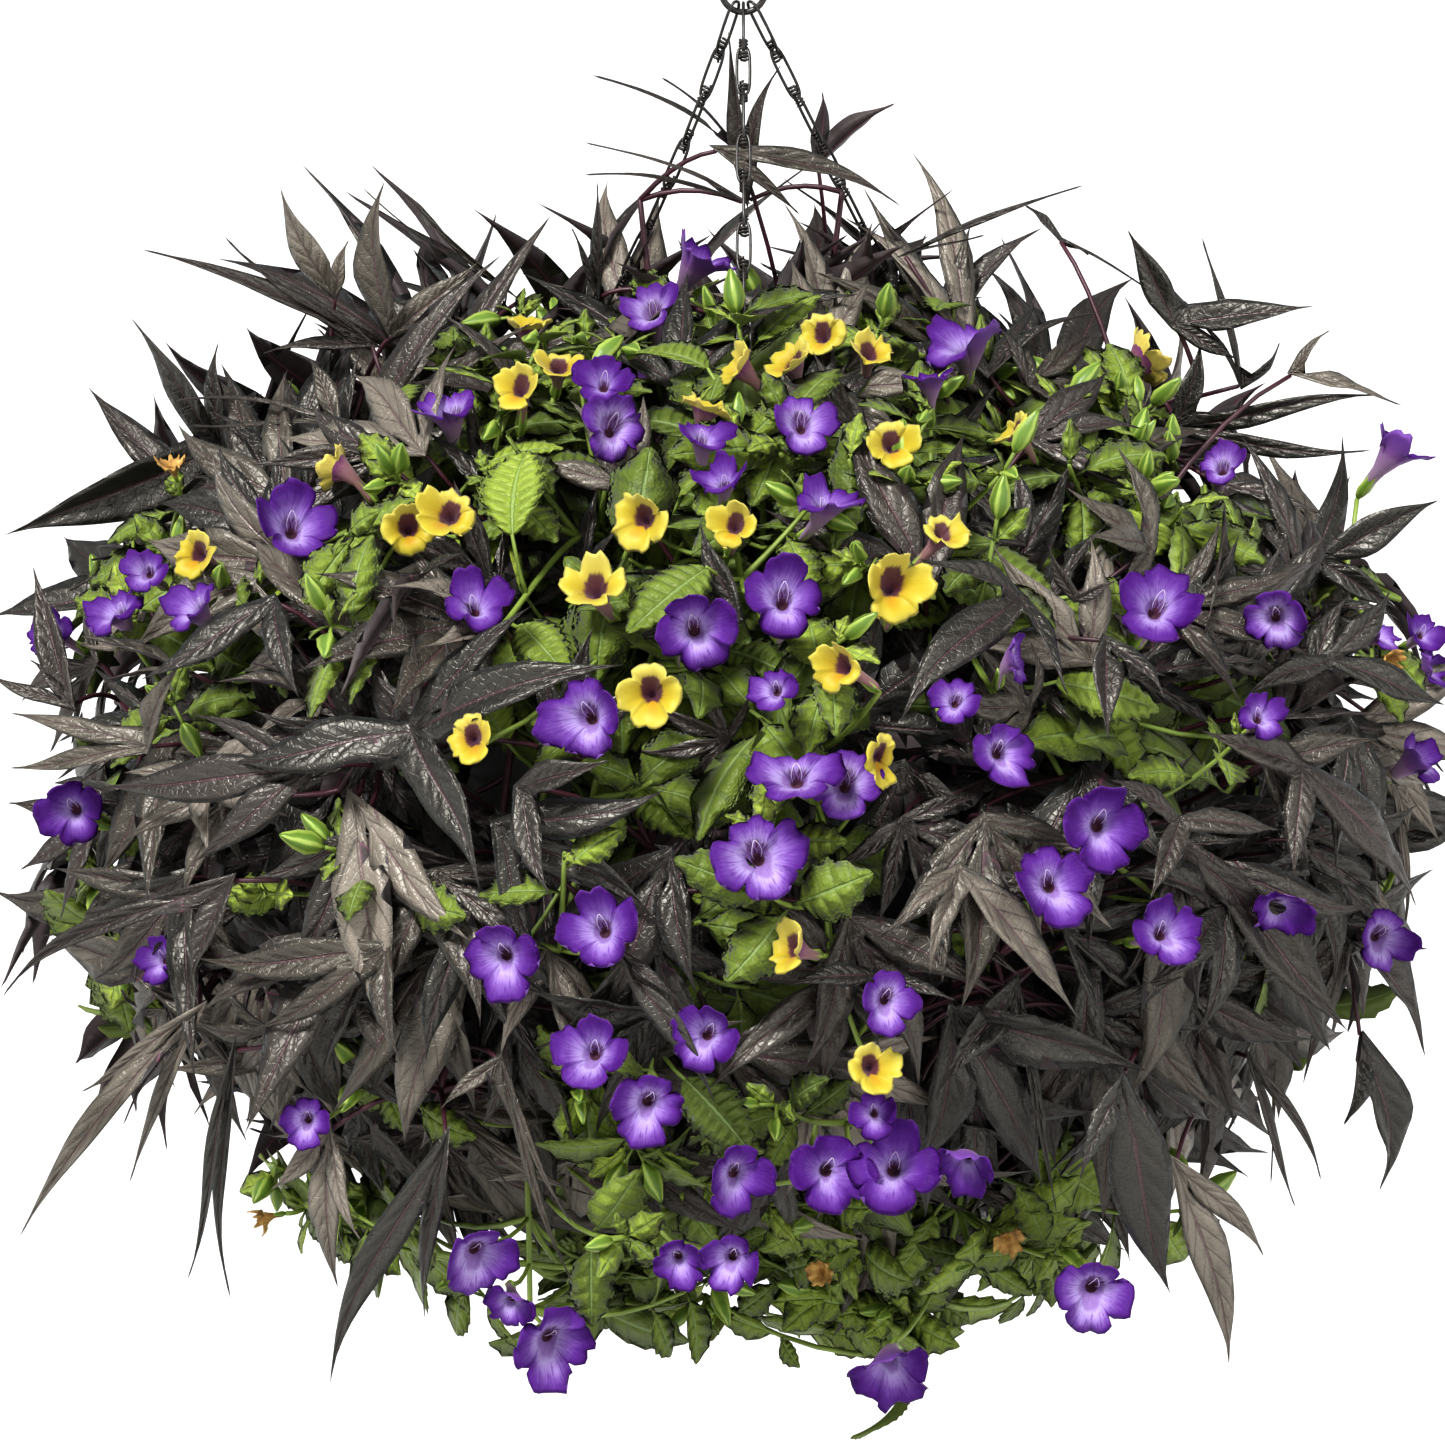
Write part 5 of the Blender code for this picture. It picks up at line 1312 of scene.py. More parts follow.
def green_leaf_options(planting, number, draw):
    """Leaves of the wishbone flowers: near the stem's outer half, spread over the surface."""
    plant = planting.plants[number]
    line = plant["line"]
    for _ in range(LEAF_TRIES):
        spot = draw.randrange(max(GROW_FROM, len(line) // 2), len(line))
        root = line[spot]
        out = mound_normal(root)
        way = Vector([draw.uniform(-1, 1) for _ in range(3)])
        way = (way - out * way.dot(out)).normalized()
        length = draw.uniform(*LEAF_LENGTH)
        base = root + way * draw.uniform(*LEAF_STALK_ALONG) + out * draw.uniform(*LEAF_STALK_OUT)
        lie = (way * LEAF_ALONG + out * LEAF_OUT - UP * LEAF_DOWN).normalized()
        tip = base + lie * length
        if mound_level(tip, LEAF_SURFACE) > 1 or base.z < LOWEST_LEAF:
            continue
        yield number, {
            "kind": "leaf",
            "base": base,
            "normal": (out + UP * LEAF_UP).normalized(),
            "tips": [tip],
            "root": root,
            "spot": spot,
        }


def plant_basket(planting):
    """Grows every leaf and bloom, first those that the photograph shows best."""
    plant_stems(planting)
    for kind, places in (("purple", NEAR_PURPLE), ("yellow", NEAR_YELLOW)):
        for place in sorted(places, key=lambda p: -p[2]):
            grow(planting, bloom_options, kind, place, seed=place)
    for places in NEAR_VINE_LEAVES:
        grow(planting, vine_leaf_options, places, seed=places)
    for number, plant in enumerate(planting.plants):
        kind = plant["kind"]
        if plant["near"]:
            continue
        for k in range(FAR_VINE_LEAVES if kind == "vine" else FAR_BLOOMS[kind]):
            seed = f"far {plant['name']} {k}"
            if kind == "vine":
                grow(planting, far_vine_options, number, seed=seed)
            else:
                grow(planting, far_bloom_options, number, kind, seed=seed)
    for number, plant in enumerate(planting.plants):
        for k in range(LEAVES_PER_STEM.get(plant["kind"], 0)):
            grow(planting, green_leaf_options, number, seed=f"green {plant['name']} {k}")


# Fine geometry

NO_LENGTH = 1e-9
TUBE_DOME = 0.5


class Sheet:
    """Points with a "spot" each, and faces with a paint each, gathered for one piece."""

    def __init__(self):
        self.points = []
        self.spots = []
        self.quads = []
        self.tris = []
        self.count = 0

    def add(self, points, spots, faces):
        """Adds points with their spots, and faces as (rows of three or four corners, paint)."""
        points = np.asarray(points, float).reshape(-1, 3)
        self.points.append(points)
        self.spots.append(np.asarray(spots, float).reshape(-1, 3))
        for ids, paint in faces:
            ids = np.asarray(ids)
            rows = np.broadcast_to(paint, len(ids))
            (self.quads if ids.shape[1] == 4 else self.tris).append((ids + self.count, rows))
        self.count += len(points)


def piece(name, sheet, materials, nodes=()):
    """An object from a sheet. It rides on the body and stands for the nodes."""
    quads = np.vstack([np.zeros((0, 4), int)] + [ids for ids, _ in sheet.quads])
    tris = np.vstack([np.zeros((0, 3), int)] + [ids for ids, _ in sheet.tris])
    paints = np.concatenate([rows for _, rows in sheet.quads + sheet.tris]).astype(int)
    used = sorted(set(paints.tolist()))
    points = np.vstack(sheet.points)
    mesh = bpy.data.meshes.new(name)
    mesh.vertices.add(len(points))
    mesh.vertices.foreach_set("co", points.astype(np.float32).ravel())
    corners = np.concatenate((quads.ravel(), tris.ravel())).astype(np.int32)
    mesh.loops.add(len(corners))
    mesh.loops.foreach_set("vertex_index", corners)
    starts = np.concatenate((np.arange(len(quads)) * 4, len(quads) * 4 + np.arange(len(tris)) * 3))
    mesh.polygons.add(len(starts))
    mesh.polygons.foreach_set("loop_start", starts.astype(np.int32))
    for paint in used:
        mesh.materials.append(materials[paint])
    index = np.searchsorted(used, paints)
    mesh.polygons.foreach_set("material_index", index.astype(np.int32))
    mesh.update(calc_edges=True)
    mesh.shade_smooth()
    spots = mesh.attributes.new("spot", "FLOAT_VECTOR", "POINT")
    spots.data.foreach_set("vector", np.vstack(sheet.spots).astype(np.float32).ravel())
    made = bpy.data.objects.new(name, mesh)
    bpy.context.scene.collection.objects.link(made)
    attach(made, "root")
    if nodes:
        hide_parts(*nodes)
    return made


def arr(v):
    """A vector as an array."""
    return np.array(tuple(v), float)


def unit(v):
    """A vector, or each of several, at length 1."""
    return v / np.maximum(np.linalg.norm(v, axis=-1, keepdims=True), NO_LENGTH)


def smooth_line(points, parts):
    """A centripetal Catmull-Rom curve through the points, in a number of parts between each two."""
    p = np.array([tuple(v) for v in points])
    p = np.vstack((2 * p[0] - p[1], p, 2 * p[-1] - p[-2]))
    runs = []
    for k in range(1, len(p) - 2):
        a, b, c, d = p[k - 1 : k + 3]
        t1 = np.linalg.norm(b - a) ** 0.5
        t2 = t1 + np.linalg.norm(c - b) ** 0.5
        t3 = t2 + np.linalg.norm(d - c) ** 0.5
        t = np.linspace(t1, t2, parts, endpoint=False)[:, None]
        ab = (a * (t1 - t) + b * t) / t1
        bc = (b * (t2 - t) + c * (t - t1)) / (t2 - t1)
        cd = (c * (t3 - t) + d * (t - t2)) / (t3 - t2)
        abc = (ab * (t2 - t) + bc * t) / t2
        bcd = (bc * (t3 - t) + cd * (t - t1)) / (t3 - t1)
        runs.append((abc * (t2 - t) + bcd * (t - t1)) / (t2 - t1))
    runs.append(p[-2][None])
    return np.vstack(runs)


def curved(start, end, bulge, parts):
    """A line from start to end that leaves the straight way by bulge in its middle."""
    t = np.linspace(0, 1, parts)[:, None]
    return start + (end - start) * t + bulge * (4 * t * (1 - t))


def ring_faces(rows, sides):
    """Faces that join rings of points in order, and the two fans that close the first and the last
    ring. The fans' middle points come after the rings."""
    ids = np.arange(rows * sides).reshape(rows, sides)
    after = np.roll(ids, -1, 1)
    quads = np.stack((ids[:-1], after[:-1], after[1:], ids[1:]), -1).reshape(-1, 4)
    low = rows * sides
    first = np.stack((np.full(sides, low), after[0], ids[0]), -1)
    last = np.stack((np.full(sides, low + 1), ids[-1], after[-1]), -1)
    return quads, first, last


def loop_faces(rows, sides):
    """Faces that join rings of points in order, and the last ring to the first."""
    ids = np.arange(rows * sides).reshape(rows, sides)
    after = np.roll(ids, -1, 1)
    return np.stack((ids, after, np.roll(after, -1, 0), np.roll(ids, -1, 0)), -1).reshape(-1, 4)


def add_tube(sheet, line, radii, sides, paint, tone=0.5, closed=False):
    """A smooth tube with domed ends, or a closed loop, along a line of points."""
    line = np.asarray(line, float)
    count = len(line)
    if closed:
        tangent = unit(np.roll(line, -1, 0) - np.roll(line, 1, 0))
    else:
        tangent = unit(np.gradient(line, axis=0))
    steady = np.eye(3)[np.argmin(np.abs(tangent).max(0))]
    side = unit(np.cross(tangent, steady))
    rise = np.cross(tangent, side)
    a = np.linspace(0, math.tau, sides, endpoint=False)
    ring = side[:, None] * np.cos(a)[None, :, None] + rise[:, None] * np.sin(a)[None, :, None]
    radii = np.broadcast_to(radii, count)
    points = (line[:, None] + ring * radii[:, None, None]).reshape(-1, 3)
    if closed:
        quads = loop_faces(count, sides)
        tris = np.zeros((0, 3), int)
    else:
        low_tip = line[0] - tangent[0] * radii[0] * TUBE_DOME
        high_tip = line[-1] + tangent[-1] * radii[-1] * TUBE_DOME
        points = np.vstack((points, low_tip, high_tip))
        quads, first, last = ring_faces(count, sides)
        tris = np.vstack((first, last))
    spots = np.zeros((len(points), 3))
    spots[: count * sides, 0] = np.tile(np.cos(a), count)
    spots[: count * sides, 1] = np.repeat(np.linspace(0, 1, count), sides)
    spots[:, 2] = tone
    sheet.add(points, spots, [(quads, paint), (tris, paint)])


# Leaves

# The numbers of the paints
GREEN_TOP, GREEN_LOW, STEM, CALYX, PETAL, PETAL_BACK, THROAT, STAMEN = range(8)
YELLOW_TOP, YELLOW_BACK, YELLOW_TUBE, VINE_TOP, VINE_LOW, VINE_STEM, WILTED = range(8, 15)

BLADE_THICK = 0.0008
MIDDLE_VEIN_HALF = 0.1
BLADE_PATTERNS = {}

# A toothed leaf: the rows of its teeth along the blade, its outline as the powers of oval, and the
# parts of a stalk at which its first row stands and by which it narrows the blade
TOOTH_FROM = 0.03
TOOTH_RUN = 0.92
TOOTH_SPACING = 1.08
TOOTH_NOTCH = 0.87
TOOTH_LEAN = 0.13
TOOTH_ROUGH = (0.95, 1.05)
GREEN_ENDS = (0.62, 0.95)
GREEN_LAST = 0.995
STALK_PARTS = (0.3, 0.5)
# Its stalk's half widths, its arch, and how far it folds, bows and droops, as parts of its length
STALK_WIDTHS = (0.0009, 0.0011)
GREEN_ARCH = 0.085
GREEN_FOLD = (-0.05, 0.28)
GREEN_BOW = (-0.05, 0.05)
GREEN_DROOP = (0.0, 0.12)
# How high it is quilted at a tooth and between two, how deep its middle vein lies, and how much of
# its length they are. The quilting fades where the blade is narrower than the last number.
GREEN_QUILT = (0.25, 1.6)
GREEN_VEIN = 0.4
GREEN_LIFT = 0.013
GREEN_NARROW = 0.004

# A vine leaf: rows that lie in the web, the web's reach between near and far lobes, and its rise
VINE_WEB = 3
WEB_WIDEST = 2.2
WEB_REACH = (0.15, 0.20)
OPEN_WEB_REACH = (0.05, 0.08)
WEB_RISE = 0.10
BACK_LOBE_AT = 0.1
BACK_LOBE_SIDE = 0.012
# A lobe's rows, its half width against its length, and its outline as the powers of oval
WEB_ROWS = (0.05, 0.105, 0.16)
LOBE_RUN = 0.82
LOBE_LAST = 0.35
LOBE_SPACING = 0.97
LOBE_BREADTH = (0.22, 0.32)
LOBE_WIDEST = 0.140
LOBE_SLIM_FROM = 0.085
LOBE_CLOSE = 1.2
LOBE_ROOM = 0.42
LOBE_ENDS = (1.2, 1.9)
LOBE_SPAN = (0.02, 0.999)
LOBE_EDGE_LAST = 0.99
LOBE_LEAN = 0.45
LOBE_NARROWEST = 0.0004
# How far a lobe bows, sags, folds and twists, and how its margins ruffle
LOBE_BOW = (-0.08, 0.08)
LOBE_BOW_RISE = 1.4
LOBE_SAG = (0.02, 0.10)
LOBE_FOLD = (-0.1, 0.75)
LOBE_TWIST = (-0.6, 0.6)
LOBE_RUFFLE = 0.10
LOBE_WAVES = 15
LOBE_QUILT = (0.1, 2.0)
LOBE_VEIN = 0.7
LOBE_LIFT = 0.0006
LOBE_LIFT_PART = 0.10


def blade_pattern(rows, cols):
    """Faces of a closed thin blade: an upper grid, an under side with a middle line, and a point at
    each end."""
    if (rows, cols) not in BLADE_PATTERNS:
        g = np.arange(rows * cols).reshape(rows, cols)
        u = rows * cols + np.arange(rows)
        base = rows * cols + rows
        tip = base + 1
        top_ends = []
        for c in range(cols - 1):
            top_ends.append((base, g[0, c + 1], g[0, c]))
            top_ends.append((g[-1, c], g[-1, c + 1], tip))
        low_ends = ((base, g[0, 0], u[0]), (base, u[0], g[0, -1]))
        low_ends += ((tip, u[-1], g[-1, 0]), (tip, g[-1, -1], u[-1]))
        low = np.vstack(under_faces(g[:, 0], g[:, -1], u))
        BLADE_PATTERNS[rows, cols] = (grid_faces(g), np.array(top_ends), low, np.array(low_ends))
    return BLADE_PATTERNS[rows, cols]


def grid_faces(g):
    """Faces of a grid of points, seen from its upper side."""
    return np.stack((g[:-1, :-1], g[:-1, 1:], g[1:, 1:], g[1:, :-1]), -1).reshape(-1, 4)


def under_faces(left, right, under):
    """Faces from a blade's two margins to the middle line of its under side."""
    one = np.stack((left[1:], under[1:], under[:-1], left[:-1]), -1)
    two = np.stack((under[1:], right[1:], right[:-1], under[:-1]), -1)
    return one, two


def blade_points(mid, left, right, lift, up):
    """The upper grid, from its middle line and margins, raised along up, and the columns' places."""
    c = np.linspace(-1, 1, lift.shape[1])
    w = np.clip(-c, 0, None)[None, :, None]
    v = np.clip(c, 0, None)[None, :, None]
    grid = mid[:, None] * (1 - w - v) + left[:, None] * w + right[:, None] * v
    return grid + up * lift[:, :, None], c


def add_blade(sheet, base, tip, mid, left, right, lift, up, phase, tone, paints):
    """A closed blade with an upper and a lower paint. Phase counts the side veins up to each row."""
    rows, cols = lift.shape
    grid, c = blade_points(mid, left, right, lift, up)
    points = np.vstack((grid.reshape(-1, 3), mid - up * BLADE_THICK, base, tip))
    spots = np.empty((len(points), 3))
    spots[: rows * cols, 0] = np.tile(c, rows)
    spots[: rows * cols, 1] = np.repeat(phase, cols)
    spots[rows * cols : -2, 0] = 0
    spots[rows * cols : -2, 1] = phase
    spots[-2:, 0] = 0
    spots[-2:, 1] = (phase[0] - 0.5, phase[-1] + 0.5)
    spots[:, 2] = tone
    top, top_ends, low, low_ends = blade_pattern(rows, cols)
    faces = [(top, paints[0]), (top_ends, paints[0]), (low, paints[1]), (low_ends, paints[1])]
    sheet.add(points, spots, faces)


def oval(s, a, b):
    """A blade's half width along its length, 1 at the widest place, by the powers of its two ends."""
    peak = a / (a + b)
    return s**a * (1 - s) ** b / (peak**a * (1 - peak) ** b)


def green_leaf(sheet, base, tip, normal, tone, draw, teeth=9, cols=5, wide=0.31, stalk=0.0):
    """An ovate, toothed leaf, quilted between its side veins. Its stalk is a part of its length."""
    along = tip - base
    length = np.linalg.norm(along)
    line = along / length
    up = unit(normal - line * normal.dot(line))
    right = np.cross(line, up)
    rows = 2 * teeth
    k = np.arange(rows)
    tooth = k % 2
    s = TOOTH_FROM + TOOTH_RUN * (k / (rows - 1)) ** TOOTH_SPACING
    half = wide * length * oval(s, *GREEN_ENDS)
    jag = np.where(tooth == 1, 1.0, TOOTH_NOTCH)
    rough = np.array([draw.uniform(*TOOTH_ROUGH) for _ in range(rows)])
    if stalk:
        s = np.concatenate(([STALK_PARTS[0] * stalk, stalk], stalk + (1 - stalk) * s))
        half = np.concatenate((STALK_WIDTHS, half * (1 - STALK_PARTS[1] * stalk)))
        jag = np.concatenate(([1, 1], jag))
        rough = np.concatenate(([1, 1], rough))
        tooth = np.concatenate(([0, 0], tooth))
    fold = draw.uniform(*GREEN_FOLD)
    bow = draw.uniform(*GREEN_BOW) * length
    droop = draw.uniform(*GREEN_DROOP)

    def middle(t):
        rise = 4 * GREEN_ARCH * length * t * (1 - t)
        return base + along * t[:, None] + up * rise[:, None] + right * (bow * 4 * t * (1 - t))[:, None]

    mid = middle(s)
    edge = middle(np.minimum(s + TOOTH_LEAN * half / length * (1 + tooth), GREEN_LAST))
    reach = (half * jag * rough)[:, None]
    raise_by = up * (fold - droop * (half / (wide * length))[:, None]) * reach
    left = edge - right * reach + raise_by
    right_edge = edge + right * reach + raise_by
    c = np.linspace(-1, 1, cols)[None]
    quilt = np.where(tooth == 1, *GREEN_QUILT)[:, None] * (1 - np.abs(c)) * np.abs(c) * 4
    narrow = np.minimum(1, half / GREEN_NARROW)[:, None]
    lift = (quilt - GREEN_VEIN * (np.abs(c) < MIDDLE_VEIN_HALF)) * GREEN_LIFT * length * narrow
    phase = (np.arange(len(s)) - (2 if stalk else 0) - 1) / 2
    paints = (GREEN_TOP, GREEN_LOW)
    add_blade(sheet, base, tip, mid, left, right_edge, lift, up, phase, tone, paints)


def ordered_lobes(base, normal, tips):
    """A vine leaf's main way, left side and upper side, and its tips in order round the base with
    the turn of each. A single lobe gets two short ones behind it."""
    tips = [np.asarray(t, float) for t in tips]
    main = unit(tips[0] - base)
    normal = unit(normal - main * normal.dot(main))
    side = np.cross(normal, main)

    def turn(point):
        d = point - base
        return math.atan2(d.dot(side), d.dot(main)) % math.tau

    if len(tips) == 1:
        back = base - main * BACK_LOBE_AT * np.linalg.norm(tips[0] - base)
        tips.append(back + side * BACK_LOBE_SIDE)
        tips.append(back - side * BACK_LOBE_SIDE)
    tips.sort(key=turn)
    return main, side, normal, tips, [turn(t) for t in tips]


def web_lines(base, main, side, normal, tips, turns, draw):
    """The points that each lobe shares with the next, from the base outward."""
    reach = [np.linalg.norm(t - base) for t in tips]
    lines = []
    for k in range(len(tips)):
        n = (k + 1) % len(tips)
        gap = (turns[n] - turns[k]) % math.tau
        at = turns[k] + gap / 2
        part = draw.uniform(*(WEB_REACH if gap < WEB_WIDEST else OPEN_WEB_REACH))
        far = part * (reach[k] + reach[n]) / 2
        way = main * math.cos(at) + side * math.sin(at)
        steps = [(r + 1) / VINE_WEB for r in range(VINE_WEB)]
        lines.append([base + way * (far * t) + normal * (WEB_RISE * far * t) for t in steps])
    return lines


def lobe_form(base, tip, normal, room, breadth, draw, outer, cols):
    """A lobe's middle line, left and right margins, the lift of its grid and its upper side."""
    along = tip - base
    length = np.linalg.norm(along)
    line = along / length
    up = unit(normal - line * normal.dot(line))
    right = np.cross(line, up)
    slim = min(1.0, LOBE_SLIM_FROM / length) ** 0.5
    half = min(draw.uniform(*LOBE_BREADTH) * breadth / 2, LOBE_WIDEST) * length * slim
    if room < LOBE_CLOSE:
        half = min(half, LOBE_ROOM * length * math.tan(room / 2))
    steps = (np.arange(1, outer + 1) / (outer + LOBE_LAST)) ** LOBE_SPACING
    s = np.concatenate((WEB_ROWS, WEB_ROWS[-1] + LOBE_RUN * steps))
    bow = draw.uniform(*LOBE_BOW)
    sag = draw.uniform(*LOBE_SAG)
    fold = draw.uniform(*LOBE_FOLD)
    twist = draw.uniform(*LOBE_TWIST)
    wave = draw.uniform(0, math.tau)

    def middle(t):
        rise = sag * length * 4 * t * (1 - t)
        sway = bow * length * np.sin(math.pi * t) * t * LOBE_BOW_RISE
        return base + along * t[:, None] + up * rise[:, None] + right * sway[:, None]

    wide = half * oval(np.clip(s, *LOBE_SPAN), *LOBE_ENDS)
    edge_s = np.minimum(s + LOBE_LEAN * wide / length, LOBE_EDGE_LAST)
    wide = np.maximum(half * oval(edge_s, *LOBE_ENDS), LOBE_NARROWEST)
    edge = middle(edge_s)
    ruffle = LOBE_RUFFLE * wide * np.sin(s * LOBE_WAVES + wave)
    tilt = twist * s
    across_left = -right[None] * np.cos(tilt)[:, None] + up[None] * (fold - np.sin(tilt))[:, None]
    across_right = right[None] * np.cos(tilt)[:, None] + up[None] * (fold + np.sin(tilt))[:, None]
    left = edge + across_left * wide[:, None] + up[None] * ruffle[:, None]
    right_edge = edge + across_right * wide[:, None] - up[None] * ruffle[:, None]
    c = np.linspace(-1, 1, cols)
    quilt = np.where(np.arange(len(s)) % 2 == 0, *LOBE_QUILT)[:, None] * np.abs(c) * (1 - np.abs(c)) * 4
    thin = np.minimum(LOBE_LIFT, wide * LOBE_LIFT_PART)[:, None]
    lift = (quilt - LOBE_VEIN * (np.abs(c) < MIDDLE_VEIN_HALF)) * thin
    return middle(s), left, right_edge, lift, up


def vine_leaf(sheet, base, normal, tips, breadth, tone, draw, outer=10, cols=7):
    """A palmate leaf: lobes that share their margins in a web round the stalk's end."""
    main, side, normal, tips, turns = ordered_lobes(base, normal, tips)
    points = [base + normal * BLADE_THICK / 2, base - normal * BLADE_THICK]
    spots = [(0, 0, tone), (0, 0, tone)]
    webs = []
    for line in web_lines(base, main, side, normal, tips, turns, draw):
        webs.append(range(len(points), len(points) + VINE_WEB))
        points += line
        spots += [(1, 0.5 * (r + 1), tone) for r in range(VINE_WEB)]
    tops = []
    tris = []
    lows = []
    low_tris = []
    rows = VINE_WEB + outer
    for k, lobe_tip in enumerate(tips):
        gap_after = (turns[(k + 1) % len(tips)] - turns[k]) % math.tau
        gap_before = (turns[k] - turns[k - 1]) % math.tau
        room = min(gap_after, gap_before)
        mid, left, right, lift, up = lobe_form(base, lobe_tip, normal, room, breadth, draw, outer, cols)
        g = np.zeros((rows, cols), int)
        for r in range(VINE_WEB):
            g[r, 0] = webs[k][r]
            g[r, -1] = webs[k - 1][r]
            left[r] = points[webs[k][r]]
            right[r] = points[webs[k - 1][r]]
        grid, c = blade_points(mid, left, right, lift, up)
        for r in range(rows):
            for n in range(cols):
                if r >= VINE_WEB or 0 < n < cols - 1:
                    g[r, n] = len(points)
                    points.append(grid[r, n])
                    spots.append((c[n], 0.5 * (r + 1), tone))
        tip = len(points)
        points.append(lobe_tip)
        spots.append((0, 0.5 * (rows + 1), tone))
        under = tip + 1 + np.arange(rows - VINE_WEB + 1)
        for r in range(VINE_WEB - 1, rows):
            points.append(mid[r] - up * BLADE_THICK)
            spots.append((0, 0.5 * (r + 1), tone))
        tops.append(grid_faces(g))
        for n in range(cols - 1):
            tris.append((0, g[0, n + 1], g[0, n]))
            tris.append((g[-1, n], g[-1, n + 1], tip))
        rim = g[VINE_WEB - 1 :]
        lows += under_faces(rim[:, 0], rim[:, -1], under)
        low_tris += [(1, rim[0, 0], under[0]), (1, under[0], rim[0, -1])]
        low_tris += [(tip, under[-1], rim[-1, 0]), (tip, rim[-1, -1], under[-1])]
    faces = [(np.vstack(tops), VINE_TOP), (np.array(tris), VINE_TOP)]
    faces += [(np.vstack(lows), VINE_LOW), (np.array(low_tris), VINE_LOW)]
    sheet.add(np.array(points), np.array(spots), faces)


# Blooms

# The bounds of the four lobes round the face, the lower one first, and their sizes and leans
LOBE_BOUNDS = np.radians((-136, -44, 42, 138, 224))
LOBE_SIZES = (1.06, 0.98, 0.86, 0.98)
LOBE_PARTS = 12
LOBE_EVEN = 0.45
LOBE_ROUND = (3.4, 0.55)
LOBE_LEANS = ((-0.22, 0.16), (-0.16, 0.28), (-0.16, 0.34), (-0.16, 0.28))
LOBE_GROWN = (0.88, 1.08)
LOBE_CUP = (-0.12, 0.12)
UPPER_LOBE = 2
UPPER_NOTCH = 0.07
UPPER_NOTCH_WIDE = 0.010
FACE_BACK = 0.02
LOBE_NOTCHES = {"purple": 0.72, "yellow": 0.78}
# How far a face turns off its given way, and how strongly it is ruffled
FACE_LOOSE = 0.58
FACE_ROLL = (-0.45, 0.45)
RUFFLES = (0.8, 1.5)
WILTED_RUFFLE = 3.2
WAVES = 9
FINE_WAVES = 15
RIM_WAVE = 0.022
RIM_FINE_WAVE = 0.018
FACE_WAVE = 0.032
FACE_FINE_WAVE = 0.018
# Sizes as parts of the bloom's width: rings of (depth, radius) in the trumpet and of the tube behind,
# the mouth's radius and the funnel's depth
TRUMPET = ((0.42, 0.040), (0.35, 0.070))
TUBE = ((0.30, 0.190), (0.54, 0.112), (0.92, 0.070))
MOUTH = 0.10
FUNNEL = 0.30
TRUMPET_END = 0.44
TRUMPET_BEND = 0.8
# The face from the mouth to the rim: how the funnel opens, how the cupping grows, how far the lower
# lobe stands before the upper and the short lobes before the long, and how the rim curls back
FUNNEL_POWER = 1.7
CUP_POWER = 2.2
LOWER_AHEAD = 0.045
SHORT_AHEAD = 0.09
CURL = 0.09
CURL_FROM = 0.72
CURL_POWER = 1.3
# The rings of the face and of its back, as parts of the way from the mouth to the rim
PETAL_RINGS = (0.12, 0.26, 0.42, 0.58, 0.74, 0.88, 1.0)
BACK_RINGS = (0.80, 0.42)
PETAL_THICK = 0.0006
BACK_WIDER = 0.0004
# A stamen's line: depth, part to the side, and part up
STAMEN_LINE = ((0.34, 0.040, 0.02), (0.22, 0.055, 0.06), (0.13, 0.030, 0.125), (0.12, 0.004, 0.165))
STAMEN_RADIUS = 0.0050
CALYX_MOUTH = 0.62
CALYX_RADIUS = 0.115
CALYX_OFF_END = 0.002
BLOOM_STALK_SAG = 0.08
BLOOM_STALK_WIDTHS = (0.0009, 0.0012)
# A calyx: its ribs, and its rings as (place, radius) where it is closed over a bud or open
CALYX_SIDES = 8
CALYX_ACROSS = (0.3, 0.2, 0.93)
CALYX_TIP = 1.04
CALYX_FLOOR = 0.8
CALYX_TONE = 0.7
RIB_LOW = 0.62
RIB_HIGH = 0.38
CALYX_TEETH = 0.14
TEETH_FROM = 0.8
TEETH_RUN = 0.2
CALYX_FOOT = 0.3
CLOSED_CALYX = ((0.0, 0.22), (0.12, 0.66), (0.36, 1.0), (0.66, 0.80), (0.90, 0.26))
OPEN_CALYX = ((0.0, 0.22), (0.12, 0.66), (0.36, 1.0), (0.68, 0.9), (0.90, 0.74), (1.0, 0.66))


def calyx(sheet, start, end, radius, tone, closed):
    """A ribbed, pointed calyx from its stalk's end to its mouth."""
    profile = CLOSED_CALYX if closed else OPEN_CALYX
    axis = end - start
    line = unit(axis)
    one = unit(np.cross(line, CALYX_ACROSS))
    two = np.cross(line, one)
    a = np.arange(CALYX_SIDES) * math.tau / CALYX_SIDES
    rib = np.where(np.arange(CALYX_SIDES) % 2 == 0, 1.0, RIB_LOW)
    points = []
    spots = []
    for t, part in profile:
        shift = CALYX_TEETH * (rib - RIB_LOW) / RIB_HIGH * max(t - TEETH_FROM, 0) / TEETH_RUN
        size = radius * part * (rib * 0.5 + 0.5 if part < CALYX_FOOT else rib)
        round_it = (one * np.cos(a)[:, None] + two * np.sin(a)[:, None]) * size[:, None]
        points.append(start + axis * (t + shift)[:, None] + round_it)
        spots.append(np.stack((rib, np.full(CALYX_SIDES, t), np.full(CALYX_SIDES, tone)), -1))
    points += [start, start + axis * (CALYX_TIP if closed else CALYX_FLOOR)]
    spots += [(CALYX_TONE, 0, tone), (CALYX_TONE, 1, tone)]
    faces = [(ids, CALYX) for ids in ring_faces(len(profile), CALYX_SIDES)]
    sheet.add(np.vstack(points), np.vstack(spots), faces)


